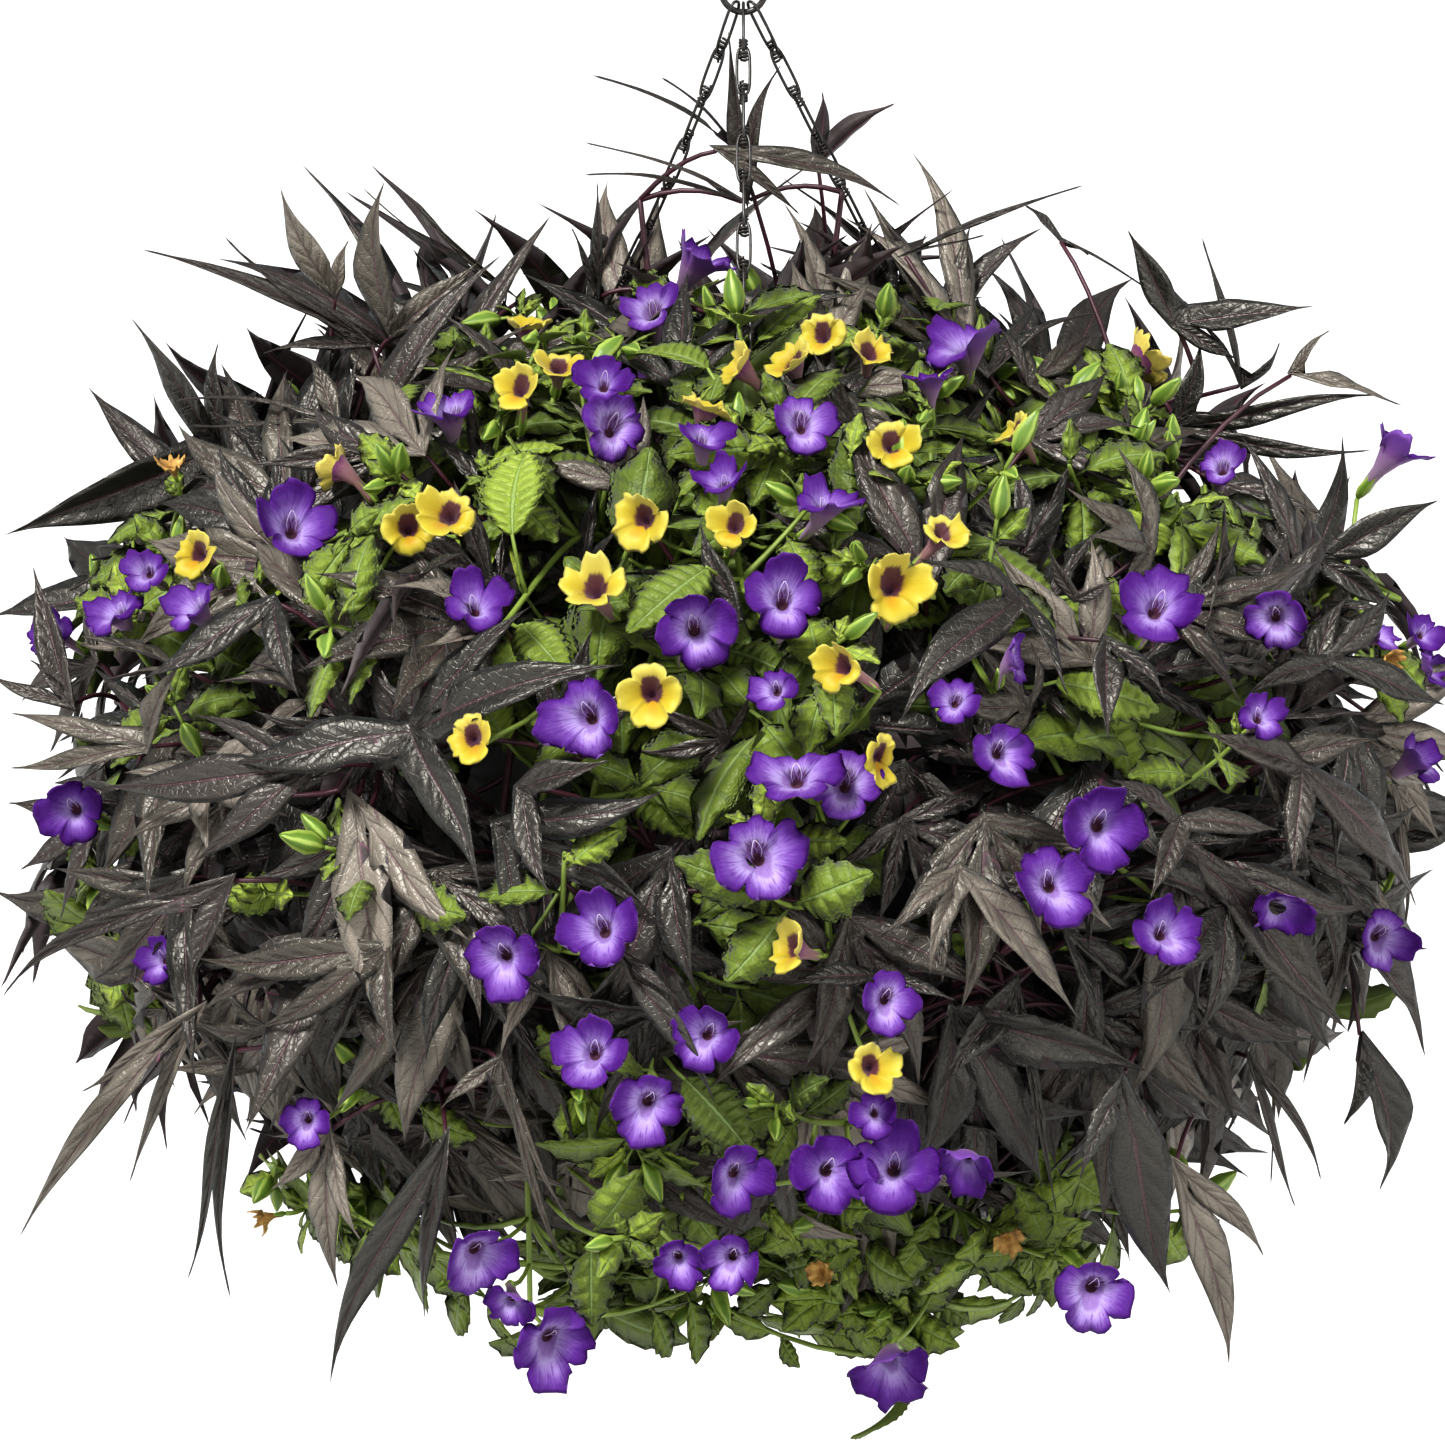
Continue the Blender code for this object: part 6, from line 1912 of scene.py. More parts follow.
class Face:
    """A bloom's face of four ruffled lobes, and the trumpet that it runs down into."""

    def __init__(self, centre, facing, width, end, kind, draw, wilted):
        self.centre = centre
        self.width = width
        self.end = end
        tilt = np.array([draw.uniform(-1, 1) for _ in range(3)]) * FACE_LOOSE
        self.facing = unit(facing + tilt)
        rise, left = across(Vector(self.facing), UP)
        roll = draw.uniform(*FACE_ROLL)
        rise, right = arr(rise), -arr(left)
        self.rise = rise * math.cos(roll) + right * math.sin(roll)
        self.right = right * math.cos(roll) - rise * math.sin(roll)
        self.angles, rim, self.cup = self.lobes(LOBE_NOTCHES[kind], draw)
        self.wave = draw.uniform(0, math.tau)
        self.fine_wave = draw.uniform(0, math.tau)
        self.ruffle = (WILTED_RUFFLE if wilted else 1.0) * draw.uniform(*RUFFLES)
        waves = RIM_WAVE * self.ruffle * np.sin(WAVES * self.angles + self.wave)
        fine = RIM_FINE_WAVE * np.sin(FINE_WAVES * self.angles + self.fine_wave)
        self.rim = rim * (1 + waves + fine)
        self.out = self.right * np.cos(self.angles)[:, None] + self.rise * np.sin(self.angles)[:, None]

    def lobes(self, notch, draw):
        """The angle, the rim and the cupping of each point round the face."""
        part = np.arange(LOBE_PARTS) / LOBE_PARTS
        part = LOBE_EVEN * part + (1 - LOBE_EVEN) * (0.5 - 0.5 * np.cos(math.pi * part))
        u = np.abs(2 * part - 1)
        angles = []
        rims = []
        cups = []
        for k, size in enumerate(LOBE_SIZES):
            low, high = LOBE_BOUNDS[k], LOBE_BOUNDS[k + 1]
            angles.append(low + (high - low) * part)
            grown = size * draw.uniform(*LOBE_GROWN)
            rim = grown * (notch + (1 - notch) * (1 - u ** LOBE_ROUND[0]) ** LOBE_ROUND[1])
            if k == UPPER_LOBE:
                rim = rim * (1 - UPPER_NOTCH * np.exp(-((part - 0.5) ** 2) / UPPER_NOTCH_WIDE))
            rims.append(rim)
            back = draw.uniform(*LOBE_LEANS[k])
            cup = draw.uniform(*LOBE_CUP)
            cups.append(back * (1 - u**2) + cup * u**2 - FACE_BACK)
        return np.concatenate(angles), np.concatenate(rims), np.concatenate(cups)

    def depth(self, q):
        """The trumpet's middle at a depth in widths: straight back at first, then to the calyx."""
        share = min(q / BLOOM_DEPTH, 1) ** TRUMPET_BEND
        straight = self.facing * (q * self.width) * (1 - share)
        return self.centre - straight + (self.end - self.centre) * (q / BLOOM_DEPTH) * share

    def tube(self, q, size):
        """A round ring at a depth."""
        return self.depth(q) + self.out * (size * self.width)

    def petals(self, rho, offset):
        """A ring of the face at a part of the way from the mouth to the rim."""
        w = self.width
        rim = self.rim
        a = self.angles
        mouth = MOUTH * w
        radius = mouth + (rim * (w / 2) - mouth) * rho
        deep = FUNNEL * (1 - rho) ** FUNNEL_POWER
        z = self.cup * w * rho**CUP_POWER - LOWER_AHEAD * w * np.sin(a) * rho
        z = z - SHORT_AHEAD * w * (1 - rim) * rho
        z = z - CURL * w * max(rho - CURL_FROM, 0) ** CURL_POWER
        z = z + FACE_WAVE * w * self.ruffle * rho**3 * np.sin(WAVES * a + self.wave)
        z = z + FACE_FINE_WAVE * w * self.ruffle * rho**4 * np.sin(FINE_WAVES * a + self.fine_wave)
        return self.depth(deep) + self.out * radius[:, None] + self.facing * (z - offset)[:, None]

    def at(self, q, aside, up):
        """A point at a depth, moved to the right and up by parts of the width."""
        return self.depth(q) + self.right * (aside * self.width) + self.rise * (up * self.width)


def bloom_paints(kind, wilted):
    """The paints of a bloom's face, back, tube and throat."""
    if wilted:
        return WILTED, WILTED, WILTED, WILTED
    if kind == "yellow":
        return YELLOW_TOP, YELLOW_BACK, YELLOW_TUBE, THROAT
    return PETAL, PETAL_BACK, PETAL_BACK, THROAT


def bloom(petals, greens, centre, facing, width, end, root, kind, tone, draw, wilted=False):
    """A two-lipped bloom: a ruffled face of four lobes that runs down into a trumpet, with its
    stamens, tube, calyx and stalk."""
    face = Face(centre, facing, width, end, kind, draw, wilted)
    top, back, tube, throat = bloom_paints(kind, wilted)
    rings = [face.tube(q, size) for q, size in TRUMPET]
    marks = [((FUNNEL - q) * 4, throat) for q, _ in TRUMPET]
    rings += [face.petals(rho, 0) for rho in PETAL_RINGS]
    marks += [(rho, top) for rho in PETAL_RINGS]
    rings += [face.petals(rho, PETAL_THICK) + face.out * BACK_WIDER for rho in BACK_RINGS]
    marks += [(rho, back) for rho in BACK_RINGS]
    rings += [face.tube(q, size) for q, size in TUBE]
    marks += [(-q, tube) for q, _ in TUBE]
    count = len(face.angles)
    rows = len(rings)
    points = np.vstack(rings + [face.depth(TRUMPET_END), end])
    spots = np.empty((len(points), 3))
    spots[: rows * count, 0] = np.repeat([mark for mark, _ in marks], count)
    spots[: rows * count, 1] = np.tile(face.angles / math.pi, rows)
    spots[-2:, 0] = (-0.4, -1)
    spots[-2:, 1] = 0
    spots[:, 2] = tone
    # The rings turn the other way round than a tube's, so each face's corners do as well
    quads, first, last = ring_faces(rows, count)
    paints = np.repeat([paint for _, paint in marks[1:]], count)
    faces = [(quads[:, (0, 3, 2, 1)], paints), (first[:, (0, 2, 1)], throat), (last[:, (0, 2, 1)], tube)]
    petals.add(points, spots, faces)
    if kind == "purple":
        for way in (-1, 1):
            line = [face.at(q, way * aside, up) for q, aside, up in STAMEN_LINE]
            add_tube(petals, smooth_line(line, 2), STAMEN_RADIUS * width, 4, STAMEN)
    foot = end + unit(root - end) * CALYX_OFF_END
    calyx(greens, foot, face.depth(CALYX_MOUTH), CALYX_RADIUS * width, tone, False)
    bend = np.array((0, 0, -BLOOM_STALK_SAG)) * np.linalg.norm(root - foot)
    add_tube(greens, curved(root, foot, bend, 5), np.linspace(*BLOOM_STALK_WIDTHS, 5), 5, STEM, tone)


# Materials


class Paint:
    """A material and short ways to add and join its nodes."""

    def __init__(self, name, roughness=0.5, **sockets):
        self.material = bpy.data.materials.new(name)
        self.material.use_nodes = True
        self.tree = self.material.node_tree
        self.shader = self.tree.nodes["Principled BSDF"]
        self.shader.inputs["Roughness"].default_value = roughness
        for socket, value in sockets.items():
            self.shader.inputs[socket.replace("_", " ")].default_value = value

    def node(self, kind, settings=None, **inputs):
        """A new node. An input goes by its name, or by i and its number."""
        made = self.tree.nodes.new("ShaderNode" + kind)
        for key, value in (settings or {}).items():
            setattr(made, key, value)
        for key, value in inputs.items():
            self.plug(made, key.replace("_", " "), value)
        return made

    def plug(self, node, key, value):
        """Gives an input its value, or joins it to another node's output."""
        socket = node.inputs[int(key[1:])] if key[0] == "i" and key[1:].isdigit() else node.inputs[key]
        if isinstance(value, bpy.types.NodeSocket):
            self.tree.links.new(value, socket)
        else:
            socket.default_value = value

    def spot(self):
        """The three numbers that each point of the mesh carries."""
        read = self.node("Attribute", {"attribute_name": "spot"})
        return tuple(self.node("SeparateXYZ", Vector=read.outputs["Vector"]).outputs)

    def place(self):
        """The place on the object."""
        return self.node("TexCoord").outputs["Object"]

    def math(self, operation, a, b=0.0, c=0.0):
        """The result of one operation."""
        return self.node("Math", {"operation": operation}, i0=a, i1=b, i2=c).outputs[0]

    def plus(self, a, b):
        """a + b"""
        return self.math("ADD", a, b)

    def minus(self, a, b):
        """a - b"""
        return self.math("SUBTRACT", a, b)

    def times(self, a, b):
        """a * b"""
        return self.math("MULTIPLY", a, b)

    def scaled(self, a, b, c):
        """a * b + c"""
        return self.math("MULTIPLY_ADD", a, b, c)

    def size(self, a):
        """a without its sign"""
        return self.math("ABSOLUTE", a)

    def rest(self, a):
        """1 - a"""
        return self.minus(1.0, a)

    def swing(self, a, amount):
        """A value from 0 to 1 as one round 0, times an amount."""
        return self.times(self.minus(a, 0.5), amount)

    def noise(self, scale, detail=3.0, roughness=0.55, vector=None):
        """A noise, by default over the places on the object."""
        if vector is None:
            vector = self.place()
        made = self.node("TexNoise", Scale=scale, Detail=detail, Roughness=roughness, Vector=vector)
        return made.outputs["Fac"]

    def ramp(self, value, *stops):
        """A colour ramp of (place, colour) stops."""
        made = self.node("ValToRGB", Fac=value)
        ramp = made.color_ramp
        while len(ramp.elements) < len(stops):
            ramp.elements.new(0.5)
        for element, (place, colour) in zip(ramp.elements, stops):
            element.position = place
            element.color = (*colour, 1)
        return made.outputs["Color"]

    def step(self, value, low, high):
        """0 below low, 1 above high and smooth between."""
        made = self.node("MapRange", {"interpolation_type": "SMOOTHSTEP"}, Value=value)
        for key, number in (("From Min", low), ("From Max", high), ("To Min", 0.0), ("To Max", 1.0)):
            made.inputs[key].default_value = number
        return made.outputs["Result"]

    def mix(self, share, a, b):
        """Colour a, with a share of colour b."""
        made = self.node("Mix", {"data_type": "RGBA", "blend_type": "MIX"})
        self.plug(made, "Factor", share)
        for socket, value in ((made.inputs[6], a), (made.inputs[7], b)):
            if isinstance(value, bpy.types.NodeSocket):
                self.tree.links.new(value, socket)
            else:
                socket.default_value = (*value, 1)
        return made.outputs[2]

    def tint(self, base, share, amount, colour):
        """The base with a colour mixed in, by a share of 0 to 1 times an amount."""
        return self.mix(self.times(share, amount), base, colour)

    def bump(self, height, strength, distance):
        """Fine relief on the surface."""
        made = self.node("Bump", Strength=strength, Distance=distance, Height=height)
        self.tree.links.new(made.outputs["Normal"], self.shader.inputs["Normal"])

    def finish(self, colour, roughness=None):
        """The material, with its colour and perhaps its roughness joined to the shader."""
        self.plug(self.shader, "Base Color", colour)
        if roughness is not None:
            self.plug(self.shader, "Roughness", roughness)
        return self.material


def side_veins(p, x, y, sharp=0.10):
    """1 on a blade's middle vein, 1 on its side veins, and its bulge between them."""
    wide = p.size(x)
    middle = p.rest(p.step(wide, 0.03, 0.10))
    off = p.size(p.minus(p.math("FRACT", p.plus(y, 0.5)), 0.5))
    side = p.rest(p.step(off, 0.02, sharp))
    side = p.times(side, p.rest(p.step(wide, 0.75, 1.0)))
    bulge = p.times(p.step(off, 0.0, 0.42), p.rest(wide))
    bulge = p.times(bulge, p.step(wide, 0.0, 0.35))
    return middle, side, bulge


def green_leaf_material():
    """Light green with darker side veins, a pale middle vein and a pale margin."""
    p = Paint("green_leaf", 0.46, Specular_IOR_Level=0.34, Sheen_Weight=0.07, Sheen_Roughness=0.5)
    x, y, tone = p.spot()
    middle, side, bulge = side_veins(p, x, y)
    patch = p.noise(55.0)
    fine = p.noise(420.0)
    # The tone differs at random by leaf, and it is lower on the leaves of inner shoots as painted shade
    base = p.ramp(
        p.plus(p.times(tone, 0.75), p.times(patch, 0.35)),
        (0.10, (0.058, 0.086, 0.011)),
        (0.42, (0.150, 0.208, 0.025)),
        (0.72, (0.245, 0.332, 0.041)),
        (1.0, (0.420, 0.520, 0.070)),
    )
    base = p.tint(base, fine, 0.14, (0.18, 0.23, 0.05))
    base = p.tint(base, side, 0.42, (0.035, 0.060, 0.012))
    base = p.tint(base, middle, 0.55, (0.24, 0.34, 0.12))
    base = p.tint(base, p.step(p.size(x), 0.90, 1.0), 0.25, (0.20, 0.30, 0.10))
    cells = p.node("TexVoronoi", Scale=700.0, Vector=p.place())
    height = p.plus(p.times(cells.outputs["Distance"], 0.35), p.times(fine, 0.5))
    height = p.scaled(bulge, 2.6, height)
    p.bump(p.minus(height, p.times(middle, 0.8)), 0.9, 0.0009)
    return p.finish(base, p.plus(0.38, p.times(fine, 0.22)))


def green_under_material():
    """A paler, duller green with a pale middle vein."""
    p = Paint("green_leaf_under", 0.62, Specular_IOR_Level=0.35)
    x, y, tone = p.spot()
    middle, _, _ = side_veins(p, x, y)
    base = p.ramp(p.noise(60.0), (0.3, (0.085, 0.120, 0.030)), (0.7, (0.145, 0.190, 0.050)))
    # The tone is lower on the leaves of inner shoots, so their undersides are darker as painted shade
    base = p.tint(base, tone, 0.35, (0.26, 0.34, 0.08))
    base = p.tint(base, middle, 0.5, (0.30, 0.40, 0.17))
    p.bump(p.noise(500.0), 0.4, 0.0004)
    return p.finish(base)


def stem_material():
    """The green of wishbone flower's stems."""
    p = Paint("green_stem", 0.48)
    _, _, tone = p.spot()
    base = p.ramp(p.noise(80.0, 2.0), (0.3, (0.14, 0.200, 0.035)), (0.7, (0.26, 0.350, 0.065)))
    base = p.tint(base, tone, 0.3, (0.26, 0.37, 0.07))
    p.bump(p.noise(600.0, 2.0), 0.3, 0.0003)
    return p.finish(base)


def calyx_material():
    """Green with pale ribs."""
    p = Paint("calyx", 0.42, Specular_IOR_Level=0.5)
    x, y, tone = p.spot()
    rib = p.step(x, 0.74, 0.92)
    base = p.ramp(
        y, (0.0, (0.11, 0.17, 0.020)), (0.45, (0.14, 0.23, 0.030)), (1.0, (0.12, 0.20, 0.03))
    )
    base = p.tint(base, rib, 0.8, (0.50, 0.62, 0.13))
    base = p.tint(base, p.noise(90.0), 0.35, (0.13, 0.25, 0.04))
    base = p.tint(base, tone, 0.25, (0.12, 0.22, 0.04))
    p.bump(p.noise(500.0, 2.0), 0.35, 0.0004)
    return p.finish(base)


def petal_veins(p, y, rho):
    """Fine rays that run out from the throat."""
    ray = p.node("CombineXYZ", X=p.times(y, 26.0), Y=p.times(rho, 1.6), Z=0.0)
    return p.noise(1.6, 4.0, 0.65, ray.outputs[0])


def purple_material():
    """Violet with a pale middle, darker rays, maroon streaks over the throat and a pale rim."""
    p = Paint("purple_petal", 0.55, Specular_IOR_Level=0.12)
    rho, y, tone = p.spot()
    rays = petal_veins(p, y, rho)
    cloud = p.noise(130.0)
    shift = p.plus(p.swing(rays, 0.28), p.swing(cloud, 0.30))
    # The lower lobe, at -0.5 turns of pi, is pale further out, and the two side lobes less far
    down = p.size(p.plus(y, 0.5))
    lower = p.rest(p.step(down, 0.06, 0.24))
    shift = p.minus(shift, p.times(lower, 0.16))
    aside = p.rest(p.step(p.size(p.minus(down, 0.5)), 0.10, 0.30))
    shift = p.plus(shift, p.times(aside, 0.12))
    shift = p.plus(shift, p.swing(tone, 0.34))
    base = p.ramp(
        p.plus(rho, shift),
        (0.0, (0.30, 0.19, 0.44)),
        (0.12, (0.43, 0.34, 0.61)),
        (0.28, (0.34, 0.225, 0.53)),
        (0.48, (0.180, 0.080, 0.340)),
        (0.70, (0.096, 0.024, 0.222)),
        (0.96, (0.052, 0.006, 0.130)),
    )
    base = p.tint(base, p.step(rays, 0.50, 0.64), 0.50, (0.095, 0.020, 0.215))
    over = p.rest(p.step(p.size(p.minus(y, 0.45)), 0.18, 0.48))
    inner = p.rest(p.step(p.plus(rho, shift), 0.06, 0.26))
    streak = p.times(p.times(over, inner), p.step(rays, 0.40, 0.56))
    base = p.tint(base, streak, 0.9, (0.070, 0.012, 0.040))
    base = p.tint(base, p.step(rho, 0.95, 1.0), 0.40, (0.22, 0.09, 0.37))
    p.bump(p.plus(rays, p.times(cloud, 0.5)), 0.45, 0.0009)
    return p.finish(base)


def purple_back_material():
    """Pale down the tube and violet towards the rim."""
    p = Paint("purple_petal_back", 0.55, Specular_IOR_Level=0.3, Sheen_Weight=0.08)
    rho, y, _ = p.spot()
    rays = petal_veins(p, y, rho)
    base = p.ramp(
        p.scaled(p.plus(rho, p.swing(rays, 0.3)), 0.5, 0.5),
        (0.08, (0.40, 0.28, 0.38)),
        (0.50, (0.22, 0.09, 0.30)),
        (0.85, (0.15, 0.05, 0.29)),
    )
    p.bump(rays, 0.4, 0.0006)
    return p.finish(base)


def yellow_material():
    """Yellow with a paler upper lip, an orange streak on the lower lobe and a burgundy ring."""
    p = Paint("yellow_petal", 0.46, Specular_IOR_Level=0.35, Sheen_Weight=0.15)
    rho, y, tone = p.spot()
    rays = petal_veins(p, y, rho)
    cloud = p.noise(140.0)
    shift = p.swing(cloud, 0.30)
    base = p.ramp(
        p.plus(p.plus(rho, shift), p.swing(tone, 0.3)),
        (0.0, (0.42, 0.26, 0.010)),
        (0.35, (0.455, 0.340, 0.016)),
        (0.72, (0.490, 0.395, 0.028)),
        (1.0, (0.530, 0.455, 0.070)),
    )
    pale = p.rest(p.step(p.size(p.minus(y, 0.5)), 0.10, 0.50))
    base = p.tint(base, pale, 0.45, (0.56, 0.49, 0.13))
    down = p.rest(p.step(p.size(p.plus(y, 0.5)), 0.04, 0.17))
    deep = p.times(down, p.rest(p.step(rho, 0.35, 0.70)))
    base = p.tint(base, deep, 0.6, (0.52, 0.25, 0.01))
    throat = p.plus(rho, p.swing(rays, 0.30))
    wide = p.minus(p.scaled(pale, 0.28, 0.09), p.times(down, 0.20))
    ring = p.rest(p.step(p.minus(throat, wide), 0.0, 0.16))
    base = p.tint(base, ring, 0.95, (0.070, 0.009, 0.036))
    p.bump(p.plus(rays, cloud), 0.4, 0.0006)
    return p.finish(base)


def plain_petal_material(name, low, high, vein):
    """A tube, throat or petal back, with rays of a second colour."""
    p = Paint(name, 0.55, Specular_IOR_Level=0.3, Sheen_Weight=0.15)
    rho, y, _ = p.spot()
    rays = petal_veins(p, y, rho)
    base = p.ramp(p.scaled(rho, 0.5, 0.5), (0.2, low), (0.6, high))
    base = p.tint(base, p.step(rays, 0.50, 0.66), 0.65, vein)
    p.bump(rays, 0.35, 0.0005)
    return p.finish(base)


def stamen_material():
    """Pale lilac."""
    p = Paint("stamen", 0.4)
    return p.finish(p.ramp(p.noise(300.0), (0.3, (0.45, 0.36, 0.56)), (0.7, (0.66, 0.58, 0.68))))


def wilted_material():
    """Dry brown to straw."""
    p = Paint("wilted_petal", 0.75)
    base = p.ramp(
        p.noise(160.0, 4.0),
        (0.30, (0.13, 0.055, 0.02)),
        (0.50, (0.42, 0.24, 0.06)),
        (0.68, (0.66, 0.46, 0.16)),
    )
    p.bump(p.noise(260.0, 4.0), 0.9, 0.0015)
    return p.finish(base)


def vine_material():
    """Near black to greyed brown by the leaf, with a purple middle vein and a fine net. The palest
    browns are partly the leaf's own greyed colour and partly painted sheen.
    """
    p = Paint(
        "vine_leaf",
        0.42,
        Specular_IOR_Level=0.86,
        Sheen_Weight=0.07,
        Sheen_Roughness=0.38,
        Specular_Tint=(1.0, 0.95, 0.86, 1),
        Sheen_Tint=(0.60, 0.72, 0.76, 1),
    )
    x, y, tone = p.spot()
    # The side veins of a lobe run forward to its margins
    slant = p.times(p.size(x), 1.1)
    middle, side, bulge = side_veins(p, x, p.minus(p.times(y, 1.4), slant), 0.09)
    patch = p.noise(34.0)
    fine = p.noise(330.0, 4.0)
    # Colour by the leaf's tone and by patches. The tone is lower on inner leaves as painted shade, and
    # the palest stop is partly the leaf's own greyed colour and partly painted sheen
    base = p.ramp(
        p.plus(p.times(tone, 0.7), p.times(patch, 0.4)),
        (0.14, (0.0045, 0.0050, 0.0042)),
        (0.36, (0.0108, 0.0098, 0.0080)),
        (0.54, (0.023, 0.0158, 0.0148)),
        (0.70, (0.041, 0.034, 0.024)),
        (0.90, (0.230, 0.198, 0.160)),
    )
    base = p.tint(base, fine, 0.25, (0.060, 0.054, 0.047))
    base = p.tint(base, side, 0.60, (0.006, 0.004, 0.005))
    base = p.tint(base, middle, 0.55, (0.080, 0.024, 0.042))
    net = p.node("TexVoronoi", {"feature": "DISTANCE_TO_EDGE"}, Scale=330.0)
    p.plug(net, "Vector", p.place())
    web = p.step(net.outputs["Distance"], 0.0, 0.12)
    height = p.plus(p.times(web, 0.30), p.times(fine, 0.30))
    height = p.scaled(bulge, 1.3, height)
    p.bump(p.minus(height, p.times(middle, 0.8)), 0.75, 0.0006)
    return p.finish(base, p.plus(0.31, p.times(fine, 0.22)))


def vine_under_material():
    """A dull dark brown with a purple middle vein."""
    p = Paint("vine_leaf_under", 0.55, Specular_IOR_Level=0.35, Sheen_Weight=0.08)
    x, y, _ = p.spot()
    middle, _, _ = side_veins(p, x, y)
    base = p.ramp(p.noise(45.0), (0.3, (0.028, 0.019, 0.020)), (0.7, (0.055, 0.038, 0.038)))
    base = p.tint(base, middle, 0.7, (0.16, 0.045, 0.085))
    p.bump(p.noise(420.0), 0.5, 0.0005)
    return p.finish(base)


def vine_stem_material():
    """Dark purple."""
    p = Paint("vine_stem", 0.45)
    base = p.ramp(p.noise(70.0), (0.3, (0.030, 0.009, 0.014)), (0.7, (0.080, 0.020, 0.034)))
    p.bump(p.noise(700.0), 0.3, 0.0003)
    return p.finish(base)


def wire_material():
    """Black enamelled wire, a little worn."""
    p = Paint("black_wire", 0.32, Metallic=0.25, Coat_Weight=0.3, Coat_Roughness=0.2)
    wear = p.noise(260.0, 4.0)
    base = p.ramp(
        wear,
        (0.35, (0.013, 0.011, 0.010)),
        (0.62, (0.030, 0.025, 0.021)),
        (0.8, (0.07, 0.05, 0.04)),
    )
    p.bump(p.noise(900.0, 2.0), 0.25, 0.0002)
    return p.finish(base, p.scaled(wear, 0.35, 0.18))


def pot_material():
    """Dark green plastic with a little dust."""
    p = Paint("pot_plastic", 0.5, Specular_IOR_Level=0.45)
    base = p.ramp(p.noise(9.0, 4.0), (0.3, (0.016, 0.024, 0.017)), (0.7, (0.034, 0.047, 0.034)))
    dust = p.step(p.noise(120.0, 5.0), 0.55, 0.75)
    base = p.tint(base, dust, 0.25, (0.16, 0.13, 0.10))
    p.bump(p.noise(380.0, 4.0), 0.35, 0.0004)
    return p.finish(base, p.scaled(dust, 0.25, 0.42))


def soil_material():
    """Dark crumbs of potting soil."""
    p = Paint("potting_soil", 0.95, Specular_IOR_Level=0.2)
    crumb = p.noise(220.0, 6.0)
    base = p.ramp(
        crumb,
        (0.3, (0.018, 0.011, 0.007)),
        (0.55, (0.055, 0.034, 0.020)),
        (0.8, (0.13, 0.09, 0.055)),
    )
    lumps = p.node("TexVoronoi", Scale=240.0, Vector=p.place())
    p.bump(p.plus(crumb, lumps.outputs["Distance"]), 1.0, 0.004)
    return p.finish(base)


def all_materials():
    """The material of each paint."""
    return {
        GREEN_TOP: green_leaf_material(),
        GREEN_LOW: green_under_material(),
        STEM: stem_material(),
        CALYX: calyx_material(),
        PETAL: purple_material(),
        PETAL_BACK: purple_back_material(),
        THROAT: plain_petal_material(
            "throat", (0.050, 0.012, 0.030), (0.110, 0.035, 0.100), (0.20, 0.060, 0.020)
        ),
        STAMEN: stamen_material(),
        YELLOW_TOP: yellow_material(),
        YELLOW_BACK: plain_petal_material(
            "yellow_petal_back", (0.56, 0.40, 0.07), (0.62, 0.50, 0.11), (0.50, 0.36, 0.05)
        ),
        YELLOW_TUBE: plain_petal_material(
            "yellow_tube", (0.30, 0.16, 0.15), (0.20, 0.055, 0.15), (0.085, 0.014, 0.065)
        ),
        VINE_TOP: vine_material(),
        VINE_LOW: vine_under_material(),
        VINE_STEM: vine_stem_material(),
        WILTED: wilted_material(),
    }


# Wire and pot

WIRE = 0
CROOK_STEPS = 34
EYE_STEPS = 44
BRIDGE_STEPS = 8
HOOK_FINE_SIDES = 14
LINK_STEPS = 20
LINK_SIDES = 7
LINK_SLIM = 0.92
LINK_PAST_JOINT = 0.0012
LINK_SQUARE = (0.75, 0.55)
# The turns of wire at a joint, with sizes as parts of the wire's
KNOT_STEPS = 16
KNOT_TURNS = 2.5
KNOT_REACH = 1.05
KNOT_LENGTH = 2.6
KNOT_WIRE = 0.42
KNOT_SIDES = 5
KNOT_OFF_JOINT = 0.0030
# The pot's outline: its bands' heights as parts of its depth, their shape, its foot and its floor
BAND_EDGES = (0.30, 0.36, 0.62, 0.68)
BAND_BELOW = 0.0015
BAND_OUT = 0.0012
BAND_ABOVE = (0.003, 0.0045)
POT_FINE_SIDES = 96
POT_MIDDLE = 0.0001


def fine_hook_line():
    """The hook's middle line as in hook_line, with more points on its two arcs."""
    half = HOOK_WIRE / 2
    crook = CROOK_RADIUS + half
    eye = EYE_RADIUS + half
    top = np.array((0, 0, -CROOK_RADIUS))
    low = np.array((0, 0, EYE_BOTTOM + half + eye))
    a = (math.tau - CROOK_OPENING) * np.linspace(1, 0, CROOK_STEPS)
    b = EYE_START + EYE_TURN * np.linspace(0, 1, EYE_STEPS)
    crook_line = top + crook * np.stack((np.cos(a), 0 * a, np.sin(a)), -1)
    eye_line = low + eye * np.stack((np.cos(b), 0 * b, np.sin(b)), -1)
    steps = np.linspace(0, 1, BRIDGE_STEPS)[1:-1, None]
    bridge = crook_line[-1] + (eye_line[0] - crook_line[-1]) * steps
    return np.vstack((crook_line, bridge, eye_line))


def add_link(sheet, top, bottom, side, half):
    """One wire loop: a long narrow ring whose ends reach past the two joints."""
    run = bottom - top
    length = np.linalg.norm(run)
    line = run / length
    a = np.linspace(0, math.tau, LINK_STEPS, endpoint=False)
    reach = length / 2 + LINK_PAST_JOINT
    aside = np.sign(np.sin(a)) * np.abs(np.sin(a)) ** LINK_SQUARE[0] * half
    along = np.sign(np.cos(a)) * np.abs(np.cos(a)) ** LINK_SQUARE[1] * reach
    ring = (top + bottom) / 2 + line * along[:, None] + side * aside[:, None]
    add_tube(sheet, ring, LINK_WIRE * LINK_SLIM / 2, LINK_SIDES, WIRE, closed=True)


